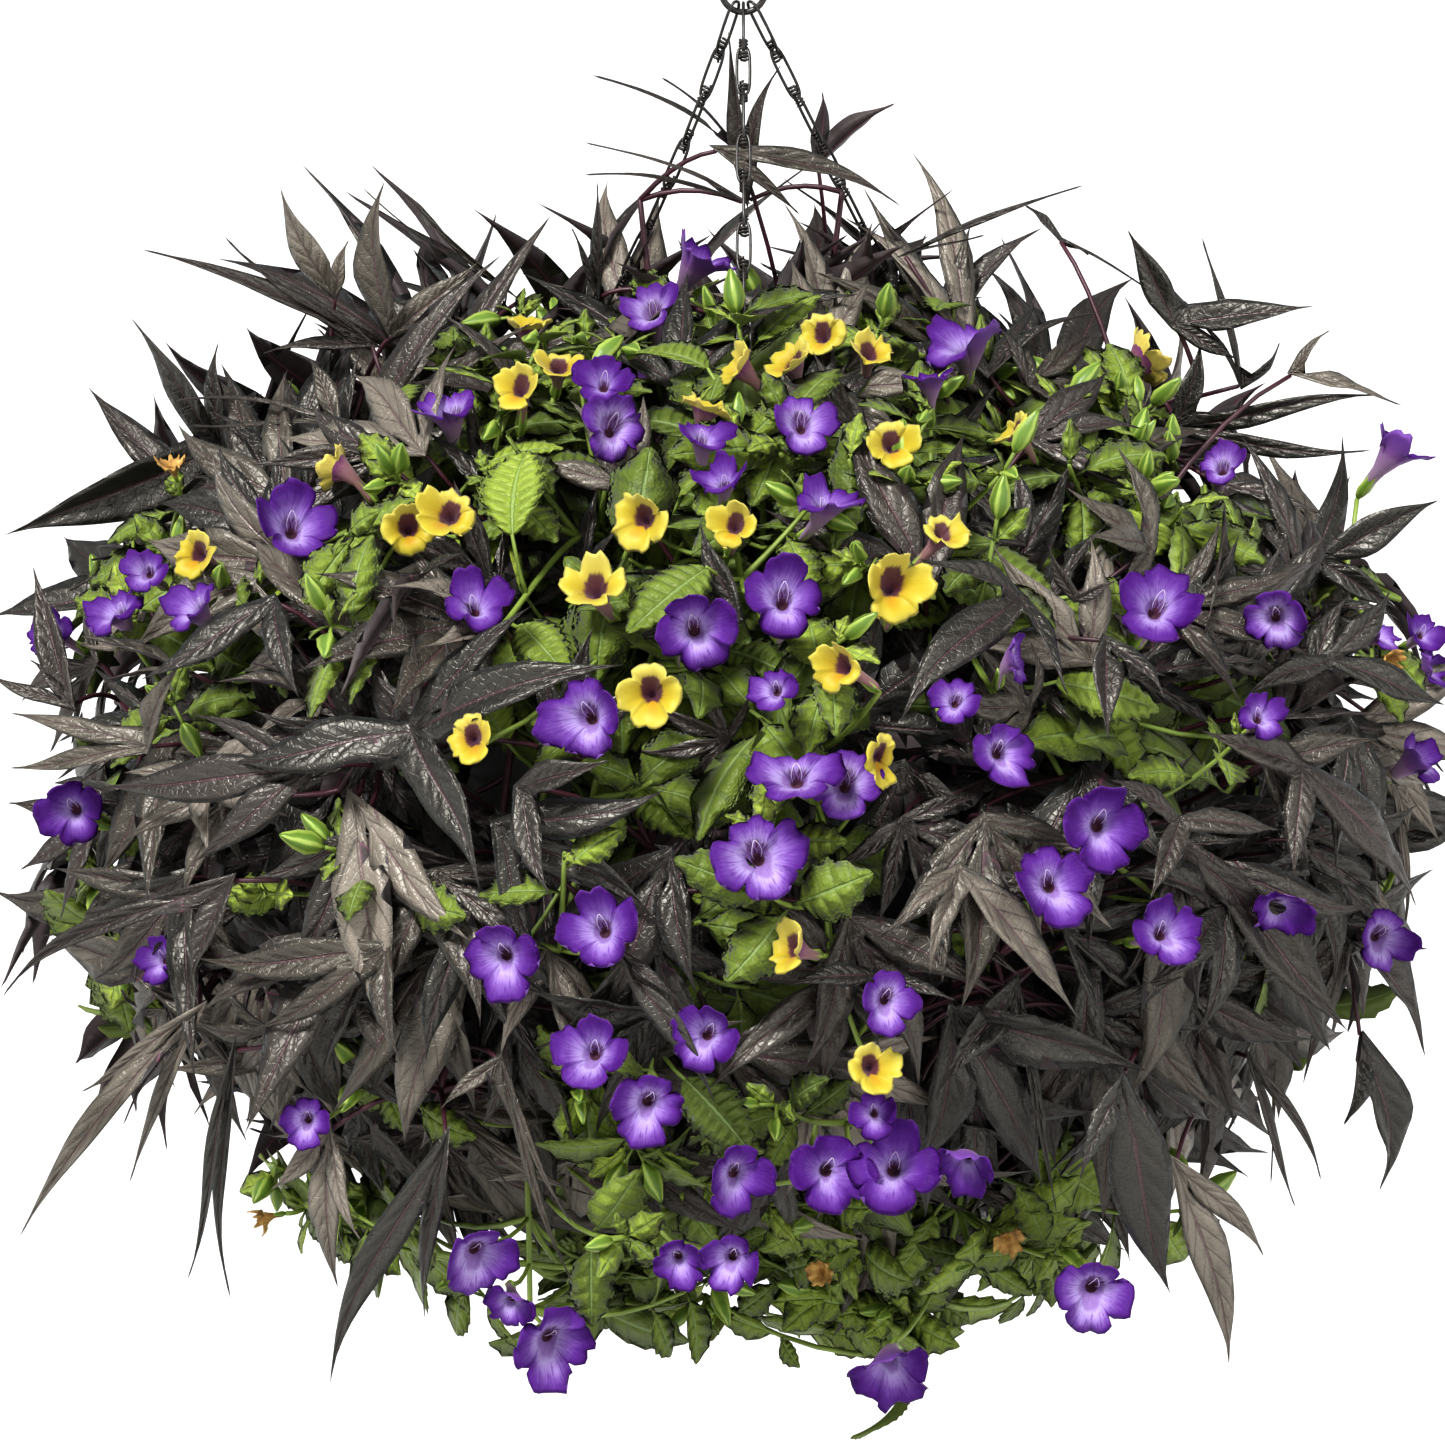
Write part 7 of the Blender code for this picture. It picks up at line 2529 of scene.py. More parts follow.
def add_knot(sheet, at, line, side):
    """The turns of wire that bind two loops at their joint."""
    other = np.cross(line, side)
    t = np.linspace(0, 1, KNOT_STEPS)
    a = t * math.tau * KNOT_TURNS
    out = (side * np.cos(a)[:, None] + other * np.sin(a)[:, None]) * (LINK_WIRE * KNOT_REACH)
    path = at + line * ((t - 0.5) * LINK_WIRE * KNOT_LENGTH)[:, None] + out
    add_tube(sheet, path, LINK_WIRE * KNOT_WIRE, KNOT_SIDES, WIRE)


def dress_wire(material):
    """The hook and the three chains in fine wire."""
    hook = Sheet()
    add_tube(hook, fine_hook_line(), HOOK_WIRE / 2, HOOK_FINE_SIDES, WIRE)
    piece("hook_wire", hook, {WIRE: material}, ["hook"])
    for name, *sizes in CHAINS:
        knots, out = chain_knots(*sizes)
        knots = [arr(k) for k in knots]
        out = arr(out)
        links = sizes[-1]
        chain = Sheet()
        line = unit(knots[-2] - knots[0])
        one = unit(out - line * out.dot(line))
        two = np.cross(line, one)
        for k in range(links):
            side = one if (links - 1 - k) % 2 == 0 else two
            half = TOP_LINK_HALF_WIDTH if k == 0 else LINK_HALF_WIDTH * LINK_SLIM
            if k == links - 1:
                side, half = out, RIM_LOOP_HALF_WIDTH
            add_link(chain, knots[k], knots[k + 1], side, half)
            if k > 0:
                add_knot(chain, knots[k] + line * KNOT_OFF_JOINT, line, side)
                add_knot(chain, knots[k] - line * KNOT_OFF_JOINT, line, side)
        piece(f"{name}_wire", chain, {WIRE: material}, [name])


def pot_profile():
    """The pot's outline as (radius, height), from under its middle, over the lip, to its floor."""
    base = RIM_Z - POT_DEPTH
    lip = POT_RADIUS + LIP_WIDTH

    def wall(z):
        return POT_BASE_RADIUS + (POT_RADIUS - POT_BASE_RADIUS) * (z - base) / POT_DEPTH

    profile = [(POT_MIDDLE, base + 0.0006), (POT_BASE_RADIUS - 0.012, base + 0.0006)]
    profile += [(POT_BASE_RADIUS - 0.010, base), (POT_BASE_RADIUS - 0.003, base)]
    profile += [(POT_BASE_RADIUS, base + 0.002)]
    for part in BAND_EDGES:
        at = base + POT_DEPTH * part
        profile += [(wall(at), at - BAND_BELOW), (wall(at) + BAND_OUT, at)]
        profile += [(wall(at + BAND_ABOVE[0]), at + BAND_ABOVE[1])]
    profile += [(wall(RIM_Z - 0.006), RIM_Z - 0.006), (POT_RADIUS + 0.001, RIM_Z - 0.0032)]
    profile += [(lip - 0.002, RIM_Z - POT_WALL - 0.0002), (lip, RIM_Z - 0.0015), (lip - 0.0012, RIM_Z)]
    profile += [(POT_RADIUS, RIM_Z), (POT_RADIUS - POT_WALL, RIM_Z - 0.002)]
    profile += [(POT_BASE_RADIUS - POT_WALL, base + 0.002), (POT_MIDDLE, base + 0.002)]
    return profile


def dress_pot(material):
    """The pot with a rolled lip, two raised bands and a foot ring, in fine turns."""
    profile = pot_profile()
    a = np.arange(POT_FINE_SIDES) * math.tau / POT_FINE_SIDES
    points = []
    for radius, z in profile:
        points.append(np.stack((radius * np.cos(a), radius * np.sin(a), np.full(POT_FINE_SIDES, z)), -1))
    points += [(0, 0, profile[0][1]), (0, 0, profile[-1][1])]
    points = np.vstack(points)
    pot = Sheet()
    faces = [(ids, WIRE) for ids in ring_faces(len(profile), POT_FINE_SIDES)]
    pot.add(points, np.zeros((len(points), 3)), faces)
    piece("pot_shell", pot, {WIRE: material}, ["pot"])


# Dressing

# A bloom's funnel, as parts of its width: how far it reaches back and forward for a leaf's tip, how
# far forward for anything else, its half width at the face, and how fast it narrows
FUNNEL_BACK = -0.42
FUNNEL_FRONT = 0.25
CLEAR_FRONT = 1.4
FUNNEL_HALF = 0.52
FUNNEL_TAPER = 0.45
# How much of a leaf is kept, in the order tried, and its half width as a part of its length
TRIMS = (1.0, 0.88, 0.76, 0.64, 0.52)
VINE_TRIM_HALF = 0.10
GREEN_TRIM_HALF = 0.26
# How far before a bloom or a leaf nothing else may stand, and the room that each of them keeps
CLEAR_AHEAD = 0.055
CLEAR_BEHIND = 0.003
KEEP_CENTRE = 0.010
KEEP_LOBE = 0.012
KEEP_TAPER = 0.005
KEEP_LOBE_AT = (0.35, 0.6, 0.85)
KEEP_TOWARD_VIEW = 0.8
KEEP_FACE = 0.54
KEEP_FACE_BEHIND = 0.34
KEEP_SEEN_FACE = 0.48
# Near vine leaves seen more edge-on than this are turned to the view by this much
EDGE_ON = 0.5
EDGE_TURN = 0.6
# How the stems taper, and the stalks' radii, their bends and how far they reach into a blade
FINE_TAPER = (0.80, 0.45)
FINE_STEM_SIDES = 8
STALK_OVERLAP = 0.001
VINE_STALK_WIDTHS = (0.0013, 0.0010)
VINE_STALK_RISE = 0.10
GREEN_STALK_WIDTHS = (0.0011, 0.0008)
GREEN_STALK_SAG = 0.002
# From how many of the nearest points of stems one is chosen
NEAREST_TRIED = 3


class Dresser:
    """The sheets of each plant, and the places that fill leaves must leave clear."""

    def __init__(self, planting):
        self.plants = planting.plants
        self.leaves = {}
        self.petals = {}
        self.lines = []
        self.clear_points = []
        self.clear_ways = []
        self.clear_radii = []
        faces = [i for p in planting.plants for i in p["grown"] if "width" in i]
        self.bloom_points = np.array([tuple(i["base"]) for i in faces])
        self.bloom_ways = unit(np.array([tuple(i["normal"]) for i in faces]))
        self.bloom_widths = np.array([i["width"] for i in faces])
        for plant in self.plants:
            self.leaves[plant["name"]] = Sheet()
            self.petals[plant["name"]] = Sheet()
            self.lines.append(smooth_line(plant["points"], STEM_PARTS))
        ids = []
        for number, line in enumerate(self.lines):
            ids += [(number, k) for k in range(GROW_FROM, len(line))]
        self.stem_ids = np.array(ids)
        self.stem_points = np.vstack([line[GROW_FROM:] for line in self.lines])
        kinds = [plant["kind"] for plant in self.plants]
        self.stem_is_vine = np.array([kinds[number] == "vine" for number, _ in ids])

    def keep(self, point, way, radius, behind=CLEAR_BEHIND):
        """Keeps a disc's front clear, and what lies close behind it."""
        self.clear_points.append(point)
        self.clear_ways.append(unit(way))
        self.clear_radii.append((radius, -behind))

    def seal(self):
        """Makes arrays of the kept places, before the first test against them."""
        self.clear_points = np.array(self.clear_points)
        self.clear_ways = np.array(self.clear_ways)
        self.clear_radii = np.array(self.clear_radii)

    def hides(self, samples):
        """Whether any of the samples would stand before a bloom or a leaf that has to show."""
        d = np.asarray(samples)[:, None] - self.clear_points[None]
        along = (d * self.clear_ways[None]).sum(-1)
        off = np.linalg.norm(d - along[..., None] * self.clear_ways[None], axis=-1)
        ahead = (along > self.clear_radii[:, 1]) & (along < CLEAR_AHEAD)
        return bool((ahead & (off < self.clear_radii[:, 0])).any())

    def out_of_blooms(self, base, tip, normal, half):
        """A leaf's tip, drawn back until the leaf ends before any bloom's funnel."""
        for part in TRIMS:
            end = base + (tip - base) * part
            samples = base + (end - base) * np.linspace(0.25, 1, 7)[:, None]
            wing = unit(np.cross(normal, end - base)) * (half * np.linalg.norm(end - base))
            samples = np.vstack((samples, samples[:5] + wing, samples[:5] - wing))
            d = samples[:, None] - self.bloom_points[None]
            along = (d * self.bloom_ways[None]).sum(-1) / self.bloom_widths
            off = np.linalg.norm(d, axis=-1) / self.bloom_widths
            off = np.sqrt(np.maximum(off**2 - along**2, 0))
            wide = FUNNEL_HALF * np.minimum(1, 1 + along / FUNNEL_TAPER)
            if not ((along > FUNNEL_BACK) & (along < FUNNEL_FRONT) & (off < wide)).any():
                break
        return end

    def in_bloom(self, samples):
        """Whether any of the samples is in a bloom's funnel or close before it."""
        d = np.asarray(samples)[:, None] - self.bloom_points[None]
        along = (d * self.bloom_ways[None]).sum(-1)
        off = np.linalg.norm(d - along[..., None] * self.bloom_ways[None], axis=-1) / self.bloom_widths
        along = along / self.bloom_widths
        wide = FUNNEL_HALF * np.clip(1 + along / FUNNEL_TAPER, 0, 1)
        return bool(((along > FUNNEL_BACK) & (along < CLEAR_FRONT) & (off < wide)).any())

    def near_stem(self, point, vine, draw):
        """A point of a stem to grow from, near the given one: its plant's number, place and distance."""
        pick = np.nonzero(self.stem_is_vine == vine)[0]
        far = np.linalg.norm(self.stem_points[pick] - point, axis=1)
        best = pick[np.argsort(far)[:NEAREST_TRIED]]
        chosen = best[draw.randrange(len(best))]
        number, k = self.stem_ids[chosen]
        return number, k, np.linalg.norm(self.stem_points[chosen] - point)


def dress_vine_leaf(dresser, leaves, item, near, root, base, normal, tone, draw):
    """A vine leaf of the solids with its stalk."""
    toward = arr(TO_VIEW)
    if near and normal.dot(toward) < EDGE_ON:
        normal = unit(normal + toward * EDGE_TURN)
    tips = [dresser.out_of_blooms(base, arr(t), normal, VINE_TRIM_HALF) for t in item["tips"]]
    vine_leaf(leaves, base, normal, tips, item["breadth"], tone, draw)
    bend = arr(UP) * (VINE_STALK_RISE * np.linalg.norm(root - base))
    stalk = curved(root, base + unit(root - base) * STALK_OVERLAP, bend, 6)
    add_tube(leaves, stalk, np.linspace(*VINE_STALK_WIDTHS, 6), 6, VINE_STEM, tone)
    way = normal + toward * (KEEP_TOWARD_VIEW if near else 0.0)
    dresser.keep(base, way, KEEP_CENTRE)
    for tip in tips:
        for t in KEEP_LOBE_AT:
            dresser.keep(base + (tip - base) * t, way, KEEP_LOBE - KEEP_TAPER * t)


def dress_green_leaf(dresser, leaves, item, root, base, normal, tone, draw):
    """A toothed leaf of the solids with its stalk."""
    tip = dresser.out_of_blooms(base, arr(item["tips"][0]), normal, GREEN_TRIM_HALF)
    green_leaf(leaves, base, tip, normal, tone, draw)
    bend = np.array((0, 0, -GREEN_STALK_SAG))
    stalk = curved(root, base + unit(base - root) * STALK_OVERLAP, bend, 4)
    add_tube(leaves, stalk, np.linspace(*GREEN_STALK_WIDTHS, 4), 5, STEM, tone)
    dresser.keep(base * 0.5 + tip * 0.5, normal, KEEP_CENTRE)


def dress_given(dresser, draw):
    """The stems and all that the solids have, in fine form."""
    toward = arr(TO_VIEW)
    for plant, line in zip(dresser.plants, dresser.lines):
        leaves = dresser.leaves[plant["name"]]
        petals = dresser.petals[plant["name"]]
        near = plant["near"]
        radius = STEM_RADIUS[plant["kind"]]
        radii = np.linspace(radius * FINE_TAPER[0], radius * FINE_TAPER[1], len(line))
        fine = smooth_line(line, 2)
        fine_radii = np.interp(np.arange(len(fine)) / 2, np.arange(len(line)), radii)
        paint = VINE_STEM if plant["kind"] == "vine" else STEM
        add_tube(leaves, fine, fine_radii, FINE_STEM_SIDES, paint, draw.random())
        for item in plant["grown"]:
            root = line[item["spot"]]
            base = arr(item["base"])
            normal = arr(item["normal"])
            tone = draw.random()
            kind = item["kind"]
            if near and "width" not in item and normal.dot(toward) < 0:
                normal = -normal
            if kind == "vine_leaf":
                dress_vine_leaf(dresser, leaves, item, near, root, base, normal, tone, draw)
            elif kind == "leaf":
                dress_green_leaf(dresser, leaves, item, root, base, normal, tone, draw)
            else:
                width = item["width"]
                bloom(petals, leaves, base, normal, width, arr(item["calyx"]), root, kind, tone, draw)
                dresser.keep(base, normal, KEEP_FACE * width, KEEP_FACE_BEHIND * width)
                if near:
                    dresser.keep(base, toward, KEEP_SEEN_FACE * width)


# Fill

# The dense part of the foliage, as half sizes round the mound's centre
TRIM_WIDTH = 0.302
TRIM_UP = 0.214
TRIM_DOWN = 0.199
# The places that are filled, from the surface to the core
FILL_POINTS = 900
FILL_LOWEST = -80.0
FILL_DEEP = 0.38
FILL_LOOSE = (0.05, 0.04)
DEEP_SINK = (0.030, 0.070)
SURFACE_SINK = (-0.004, 0.020)
CORE_POINTS = 300
CORE_TOP = 0.85
CORE_TALL = 1.8
CORE_SINK = (0.075, 0.125)
GOLDEN_TURN = math.pi * (3 - math.sqrt(5))
NEAR_SIDE = 0.05
# How often vine stands in a wishbone zone, wishbone flower outside of one, and vine alone is tried
MORE_VINE = 0.31
LESS_VINE = 0.10
VINE_ALONE = 0.7
FAR_VINE_SHARE = (0.75, 1.1)
# Leaves that stand up round the top, leaves that hang out lower down, and trailing shoots
CROWN_LEAVES = 190
CROWN_BEHIND = 0.72
CROWN_TURNS = (-0.25, math.pi + 0.25)
CROWN_RISE = (12, 80)
CROWN_SINK = (0.0, 0.020)
STRAY_LEAVES = 110
STRAY_RISE = (-58, 8)
STRAY_SINK = 0.012
TRAILERS = 60
TRAIL_RISE = (-78, -24)
TRAIL_SINK = (-0.040, -0.008)
# How far the leaves may pass the solids' box
PAST_BOX = 0.008
BOX_LOW = np.array(CAD_BOX[0]) - PAST_BOX
BOX_HIGH = np.array(CAD_BOX[1]) + PAST_BOX

# Where the photograph shows wishbone flower, as ellipses of its pixels: centre and half sizes. The
# rest of the near side is vine.
WISHBONE_ZONES = (
    (740, 440, 290, 150), (470, 480, 110, 90), (700, 740, 165, 230), (700, 1090, 125, 250),
    (690, 1290, 330, 110), (150, 560, 90, 100), (1100, 450, 120, 85), (1250, 530, 65, 60),
    (1400, 560, 70, 130), (215, 1130, 80, 90), (1215, 750, 50, 50), (1230, 1240, 60, 60),
)

# A shoot: how far from its stem it may end, and its levels of leaves as (part of its path, size)
SHOOT_REACH = 0.13
DEEP_SHOOT_REACH = 0.17
SHOOT_STEPS = 6
SHOOT_SAG = 0.12
SHOOT_LEVELS = ((0.66, 1.0), (0.86, 0.92), (0.97, 0.60), (1.0, 0.36))
SHOOT_BEND = (0.0, 0.012)
SHOOT_WIDTHS = (0.0015, 0.0009)
SHOOT_LENGTH = (0.030, 0.044)
SHOOT_SCALE = (0.72, 1.08)
INNER_LARGER = 1.25
# Its leaves: the lower levels lean out and sag, the others stand up and are a lighter green
LOW_LEVELS = 2
PAIR_LOOSE = 0.35
LOW_LEAN = (-0.15, 0.5)
HIGH_LEAN = (0.3, 1.0)
LOW_SAG = 0.25
LEAF_FOOT = 0.0005
LEAF_LONGER = 1.12
LEAF_LOOSE = 0.55
LEAF_WING = 0.25
LEAF_TEST_AT = (0.15, 0.4, 0.7, 1.0)
SHOOT_LEAF_WIDE = (0.27, 0.36)
SHOOT_LEAF_STALK = 0.12
SHOOT_TONE = 0.35
LEAF_TONE = (0.0, 0.5)
YOUNG_TONE = 0.30
# Painted shade: the tone of the leaves of inner shoots is multiplied by this, so they are darker
INNER_SHOOT_PAINTED_SHADE = 0.5
# How far its leaves may pass the trim, and up to how far back it faces the view
SHOOT_OVER = 0.014
TRAIL_OVER = 0.060
SEEN_FROM = 0.02
# What stands at its end: buds, or now and then a small wilted bloom
BUD_CHANCE = 0.74
BUD_COUNTS = (1, 2, 2, 3)
BUD_LENGTH = (0.013, 0.020)
BUD_STALK = (0.004, 0.010)
BUD_STALK_RADIUS = 0.0009
BUD_RADIUS = 0.26
BUD_LOOSE = 0.95
BUD_SAG = 0.2
BUD_STALK_TONE = 0.8
WILTED_CHANCE = 0.16
WILTED_WIDTH = 0.013
WILTED_ABOVE = 0.04
WILTED_MOUTH = 0.012
WILTED_FACE = 0.011
WILTED_TIP = 0.017

# A vine leaf of the fill: by layer, how far it may pass the trim, its length, its number of lobes,
# how far it is twisted, and its lead as parts of outward and upward
VINE_LAYERS = {
    "surface": (0.022, (0.058, 0.094), (3, 3, 4, 5, 5), 1.25, (0.9, -0.55)),
    "deep": (0.004, (0.060, 0.090), (3, 3, 4, 5, 5), 1.25, (0.9, -0.55)),
    "core": (0.004, (0.060, 0.090), (3, 3, 4, 5, 5), 1.25, (0.9, -0.55)),
    "crown": (0.110, (0.075, 0.120), (1, 2, 3, 3, 4), 0.7, (0.45, 0.9)),
    "stray": (0.058, (0.080, 0.115), (1, 2, 3, 3), 0.5, (0.9, -0.7)),
}
# Where the trim faces up more than this, the leaves of the first three layers lead up
HIGH_FROM = 0.30
HIGH_LEAD = (0.9, 0.30)
# How far the stem may be, and the least part of the allowance that a crown leaf takes
CROWN_REACH = 0.14
VINE_REACH = 0.22
CROWN_LEAST = 0.6
# Painted shade: the tone of vine leaves of the deep and core layers is multiplied by this, so they are
# darker
INNER_PAINTED_SHADE = 0.35
# The lobes' turns and lengths
VINE_SPREAD = ((0, 1.0), (0.70, 0.86), (-0.70, 0.86), (1.40, 0.60), (-1.40, 0.60))
# Each try starts a step further in and is a little shorter
VINE_TRIES = 8
VINE_FOOT = 0.006
VINE_SEEN_FROM = 0.04
VINE_LOOSE = 0.55
HEAD_FLAT = 0.85
VINE_SHORTER = 0.05
VINE_TURN = (0.85, 1.1)
VINE_LOBE_OUT = (-0.35, 0.15)
FILL_STALK_BEND = 0.10
FILL_STALK_RISE = (-0.05, 0.14)
FILL_STALK_WIDTHS = (0.0014, 0.0010)
FILL_STALK_UNDER = 0.0006
VINE_STEP_IN = 0.003
VINE_TEST_AT = (0.3, 0.5, 0.7, 0.85)
CROWN_BREADTH = (0.62, 0.95)
VINE_BREADTH = (0.80, 1.25)


def photo_place(point):
    """The photograph's pixel that a point is seen at."""
    d = point - arr(VIEW_POINT)
    scale = VIEW_DISTANCE / (-d.dot(arr(TO_VIEW))) / PIXEL
    return PHOTO_SIDE / 2 + d.dot(arr(RIGHT)) * scale, PHOTO_SIDE / 2 - d.dot(arr(VIEW_UP)) * scale


def in_wishbone_zone(point):
    """Whether the photograph shows wishbone flower where a point is seen."""
    px, py = photo_place(point)
    return any(((px - x) / a) ** 2 + ((py - y) / b) ** 2 < 1 for x, y, a, b in WISHBONE_ZONES)


def trim_sizes(out_z, over):
    """The half sizes of the trim, widened by over, above or below its centre."""
    tall = TRIM_UP if out_z > 0 else TRIM_DOWN
    return np.array((TRIM_WIDTH + over, TRIM_WIDTH + over, tall + over))


def trimmed(way, sink):
    """The point below the trim's surface in a direction from the mound's centre."""
    sizes = trim_sizes(way[2], -sink)
    return arr(MOUND_CENTRE) + way / np.linalg.norm(way / sizes)


def pulled_in(point, over):
    """The point, drawn in where it lies further outside the trim than allowed."""
    d = point - arr(MOUND_CENTRE)
    level = np.linalg.norm(d / trim_sizes(d[2], over))
    return arr(MOUND_CENTRE) + d / max(level, 1)


def trim_normal(point):
    """The way out of the trim at a point."""
    d = point - arr(MOUND_CENTRE)
    return unit(d / trim_sizes(d[2], 0) ** 2)


def way_of(turn, rise):
    """The direction with a turn round the upright and a rise above the level."""
    flat = math.cos(rise)
    return np.array((flat * math.cos(turn), flat * math.sin(turn), math.sin(rise)))


def loose(draw, most):
    """A random vector with each part up to a size."""
    return np.array([draw.uniform(-most, most) for _ in range(3)])


def fill_places(draw):
    """Evenly spread places at and under the trim's surface, and a few deep inside."""
    places = []
    for k in range(FILL_POINTS):
        z = 1 - 2 * (k + 0.5) / FILL_POINTS
        rise = math.asin(z)
        if math.degrees(rise) < FILL_LOWEST:
            continue
        turn_off, rise_off = FILL_LOOSE
        turn = k * GOLDEN_TURN + draw.uniform(-turn_off, turn_off)
        way = way_of(turn, rise + draw.uniform(-rise_off, rise_off))
        deep = draw.random() < FILL_DEEP
        sink = draw.uniform(*(DEEP_SINK if deep else SURFACE_SINK))
        places.append((trimmed(way, sink), "deep" if deep else "surface"))
    for k in range(CORE_POINTS):
        z = CORE_TOP - CORE_TALL * (k + 0.5) / CORE_POINTS
        way = way_of(k * GOLDEN_TURN, math.asin(z))
        places.append((trimmed(way, draw.uniform(*CORE_SINK)), "core"))
    return places


def shoot_leaves(dresser, path, way, tip, layer, draw):
    """The leaves of a shoot that have room, in crossed pairs, as (base, tip, normal, tone, level),
    and the shoot's tone."""
    out = trim_normal(tip)
    toward = arr(TO_VIEW) if tip[1] < SEEN_FROM else out
    outer = layer in ("surface", "trail")
    shoot_tone = draw.random()
    base_turn = draw.uniform(0, math.tau)
    scale = draw.uniform(*SHOOT_SCALE)
    found = []
    for level, (part, size) in enumerate(SHOOT_LEVELS if outer else SHOOT_LEVELS[:LOW_LEVELS]):
        low = level < LOW_LEVELS
        step = int(part * SHOOT_STEPS)
        rest = part * SHOOT_STEPS % 1
        at = path[step] * (1 - rest) + path[min(step + 1, SHOOT_STEPS)] * rest
        one, two = across(Vector(way), Vector((draw.uniform(-1, 1), draw.uniform(-1, 1), 0.3)))
        one, two = arr(one), arr(two)
        for pair in (0, 1):
            a = base_turn + level * math.pi / 2 + pair * math.pi
            a = a + draw.uniform(-PAIR_LOOSE, PAIR_LOOSE)
            side = one * math.cos(a) + two * math.sin(a)
            lean = draw.uniform(*(LOW_LEAN if low else HIGH_LEAN))
            along = unit(side + way * lean - arr(UP) * (LOW_SAG if low else 0))
            length = draw.uniform(*SHOOT_LENGTH) * size * scale
            if not outer:
                length = length * INNER_LARGER
            base = at + along * LEAF_FOOT
            over = TRAIL_OVER if layer == "trail" else SHOOT_OVER
            end = np.clip(pulled_in(at + along * length * LEAF_LONGER, over), BOX_LOW, BOX_HIGH)
            normal = unit(way + out * 0.3 + arr(UP) * 0.25 - along * 0.2 + loose(draw, LEAF_LOOSE))
            if tip[1] < SEEN_FROM and normal.dot(toward) < 0:
                normal = -normal
            wing = np.cross(normal, along) * (LEAF_WING * length)
            samples = [base + (end - base) * s for s in LEAF_TEST_AT]
            samples += [samples[1] + wing, samples[1] - wing]
            if (outer and dresser.hides(samples)) or dresser.in_bloom(samples):
                continue
            tone = shoot_tone * SHOOT_TONE + draw.uniform(*LEAF_TONE) + (0 if low else YOUNG_TONE)
            # Leaves of inner shoots get a lower tone, which is painted shade
            tone = min(tone, 1) * (1.0 if outer else INNER_SHOOT_PAINTED_SHADE)
            found.append((base, end, normal, tone, level))
    return found, shoot_tone


def shoot_end(dresser, leaves, petals, end, way, draw):
    """Buds at a shoot's end, or now and then a wilted bloom."""
    if draw.random() < BUD_CHANCE:
        for _ in range(draw.choice(BUD_COUNTS)):
            bud_way = unit(way + loose(draw, 1) * BUD_LOOSE - arr(UP) * BUD_SAG)
            length = draw.uniform(*BUD_LENGTH)
            foot = end + bud_way * draw.uniform(*BUD_STALK)
            if dresser.hides((foot, foot + bud_way * length)) or foot[2] < BOX_LOW[2] + length:
                continue
            stalk = curved(end, foot + bud_way * STALK_OVERLAP, np.zeros(3), 3)
            add_tube(leaves, stalk, BUD_STALK_RADIUS, 4, STEM, BUD_STALK_TONE)
            calyx(leaves, foot, foot + bud_way * length, length * BUD_RADIUS, draw.random(), True)
    elif end[2] > BOX_LOW[2] + WILTED_ABOVE and draw.random() < WILTED_CHANCE:
        mouth = end + way * WILTED_MOUTH
        face = mouth + way * WILTED_FACE
        if not dresser.hides((mouth, face, mouth + way * WILTED_TIP)):
            tone = draw.random()
            bloom(petals, leaves, face, way, WILTED_WIDTH, mouth, end, "yellow", tone, draw, wilted=True)


def shoot(dresser, tip, layer, draw):
    """A leafy side shoot of wishbone flower, from the nearest stem to a rosette at the surface."""
    out = trim_normal(tip)
    number, k, far = dresser.near_stem(tip, False, draw)
    if far > (SHOOT_REACH if layer == "surface" else DEEP_SHOOT_REACH):
        return False
    name = dresser.plants[number]["name"]
    leaves = dresser.leaves[name]
    start = dresser.lines[number][k]
    middle = (start + tip) / 2 + out * draw.uniform(*SHOOT_BEND) - arr(UP) * SHOOT_SAG * far
    t = np.linspace(0, 1, SHOOT_STEPS + 1)[:, None]
    path = start * (1 - t) ** 2 + middle * (2 * t * (1 - t)) + tip * t**2
    if dresser.in_bloom(path[1:]):
        return False
    toward = arr(TO_VIEW) if tip[1] < SEEN_FROM else out
    seen = unit(out * 0.6 + toward * 0.55 + arr(UP) * 0.25)
    way = unit(unit(path[-1] - path[-3]) * 0.6 + seen * 0.9)
    found, tone = shoot_leaves(dresser, path, way, tip, layer, draw)
    if len(found) < 2:
        return False
    outer = layer in ("surface", "trail")
    for base, end, normal, leaf_tone, level in found:
        teeth = 5 if level < LOW_LEVELS and outer else 3
        wide = draw.uniform(*SHOOT_LEAF_WIDE)
        green_leaf(leaves, base, end, normal, leaf_tone, draw, teeth, 3, wide, SHOOT_LEAF_STALK)
    add_tube(leaves, path, np.linspace(*SHOOT_WIDTHS, SHOOT_STEPS + 1), 4, STEM, tone)
    if outer:
        shoot_end(dresser, leaves, dresser.petals[name], path[-1], way, draw)
    return True


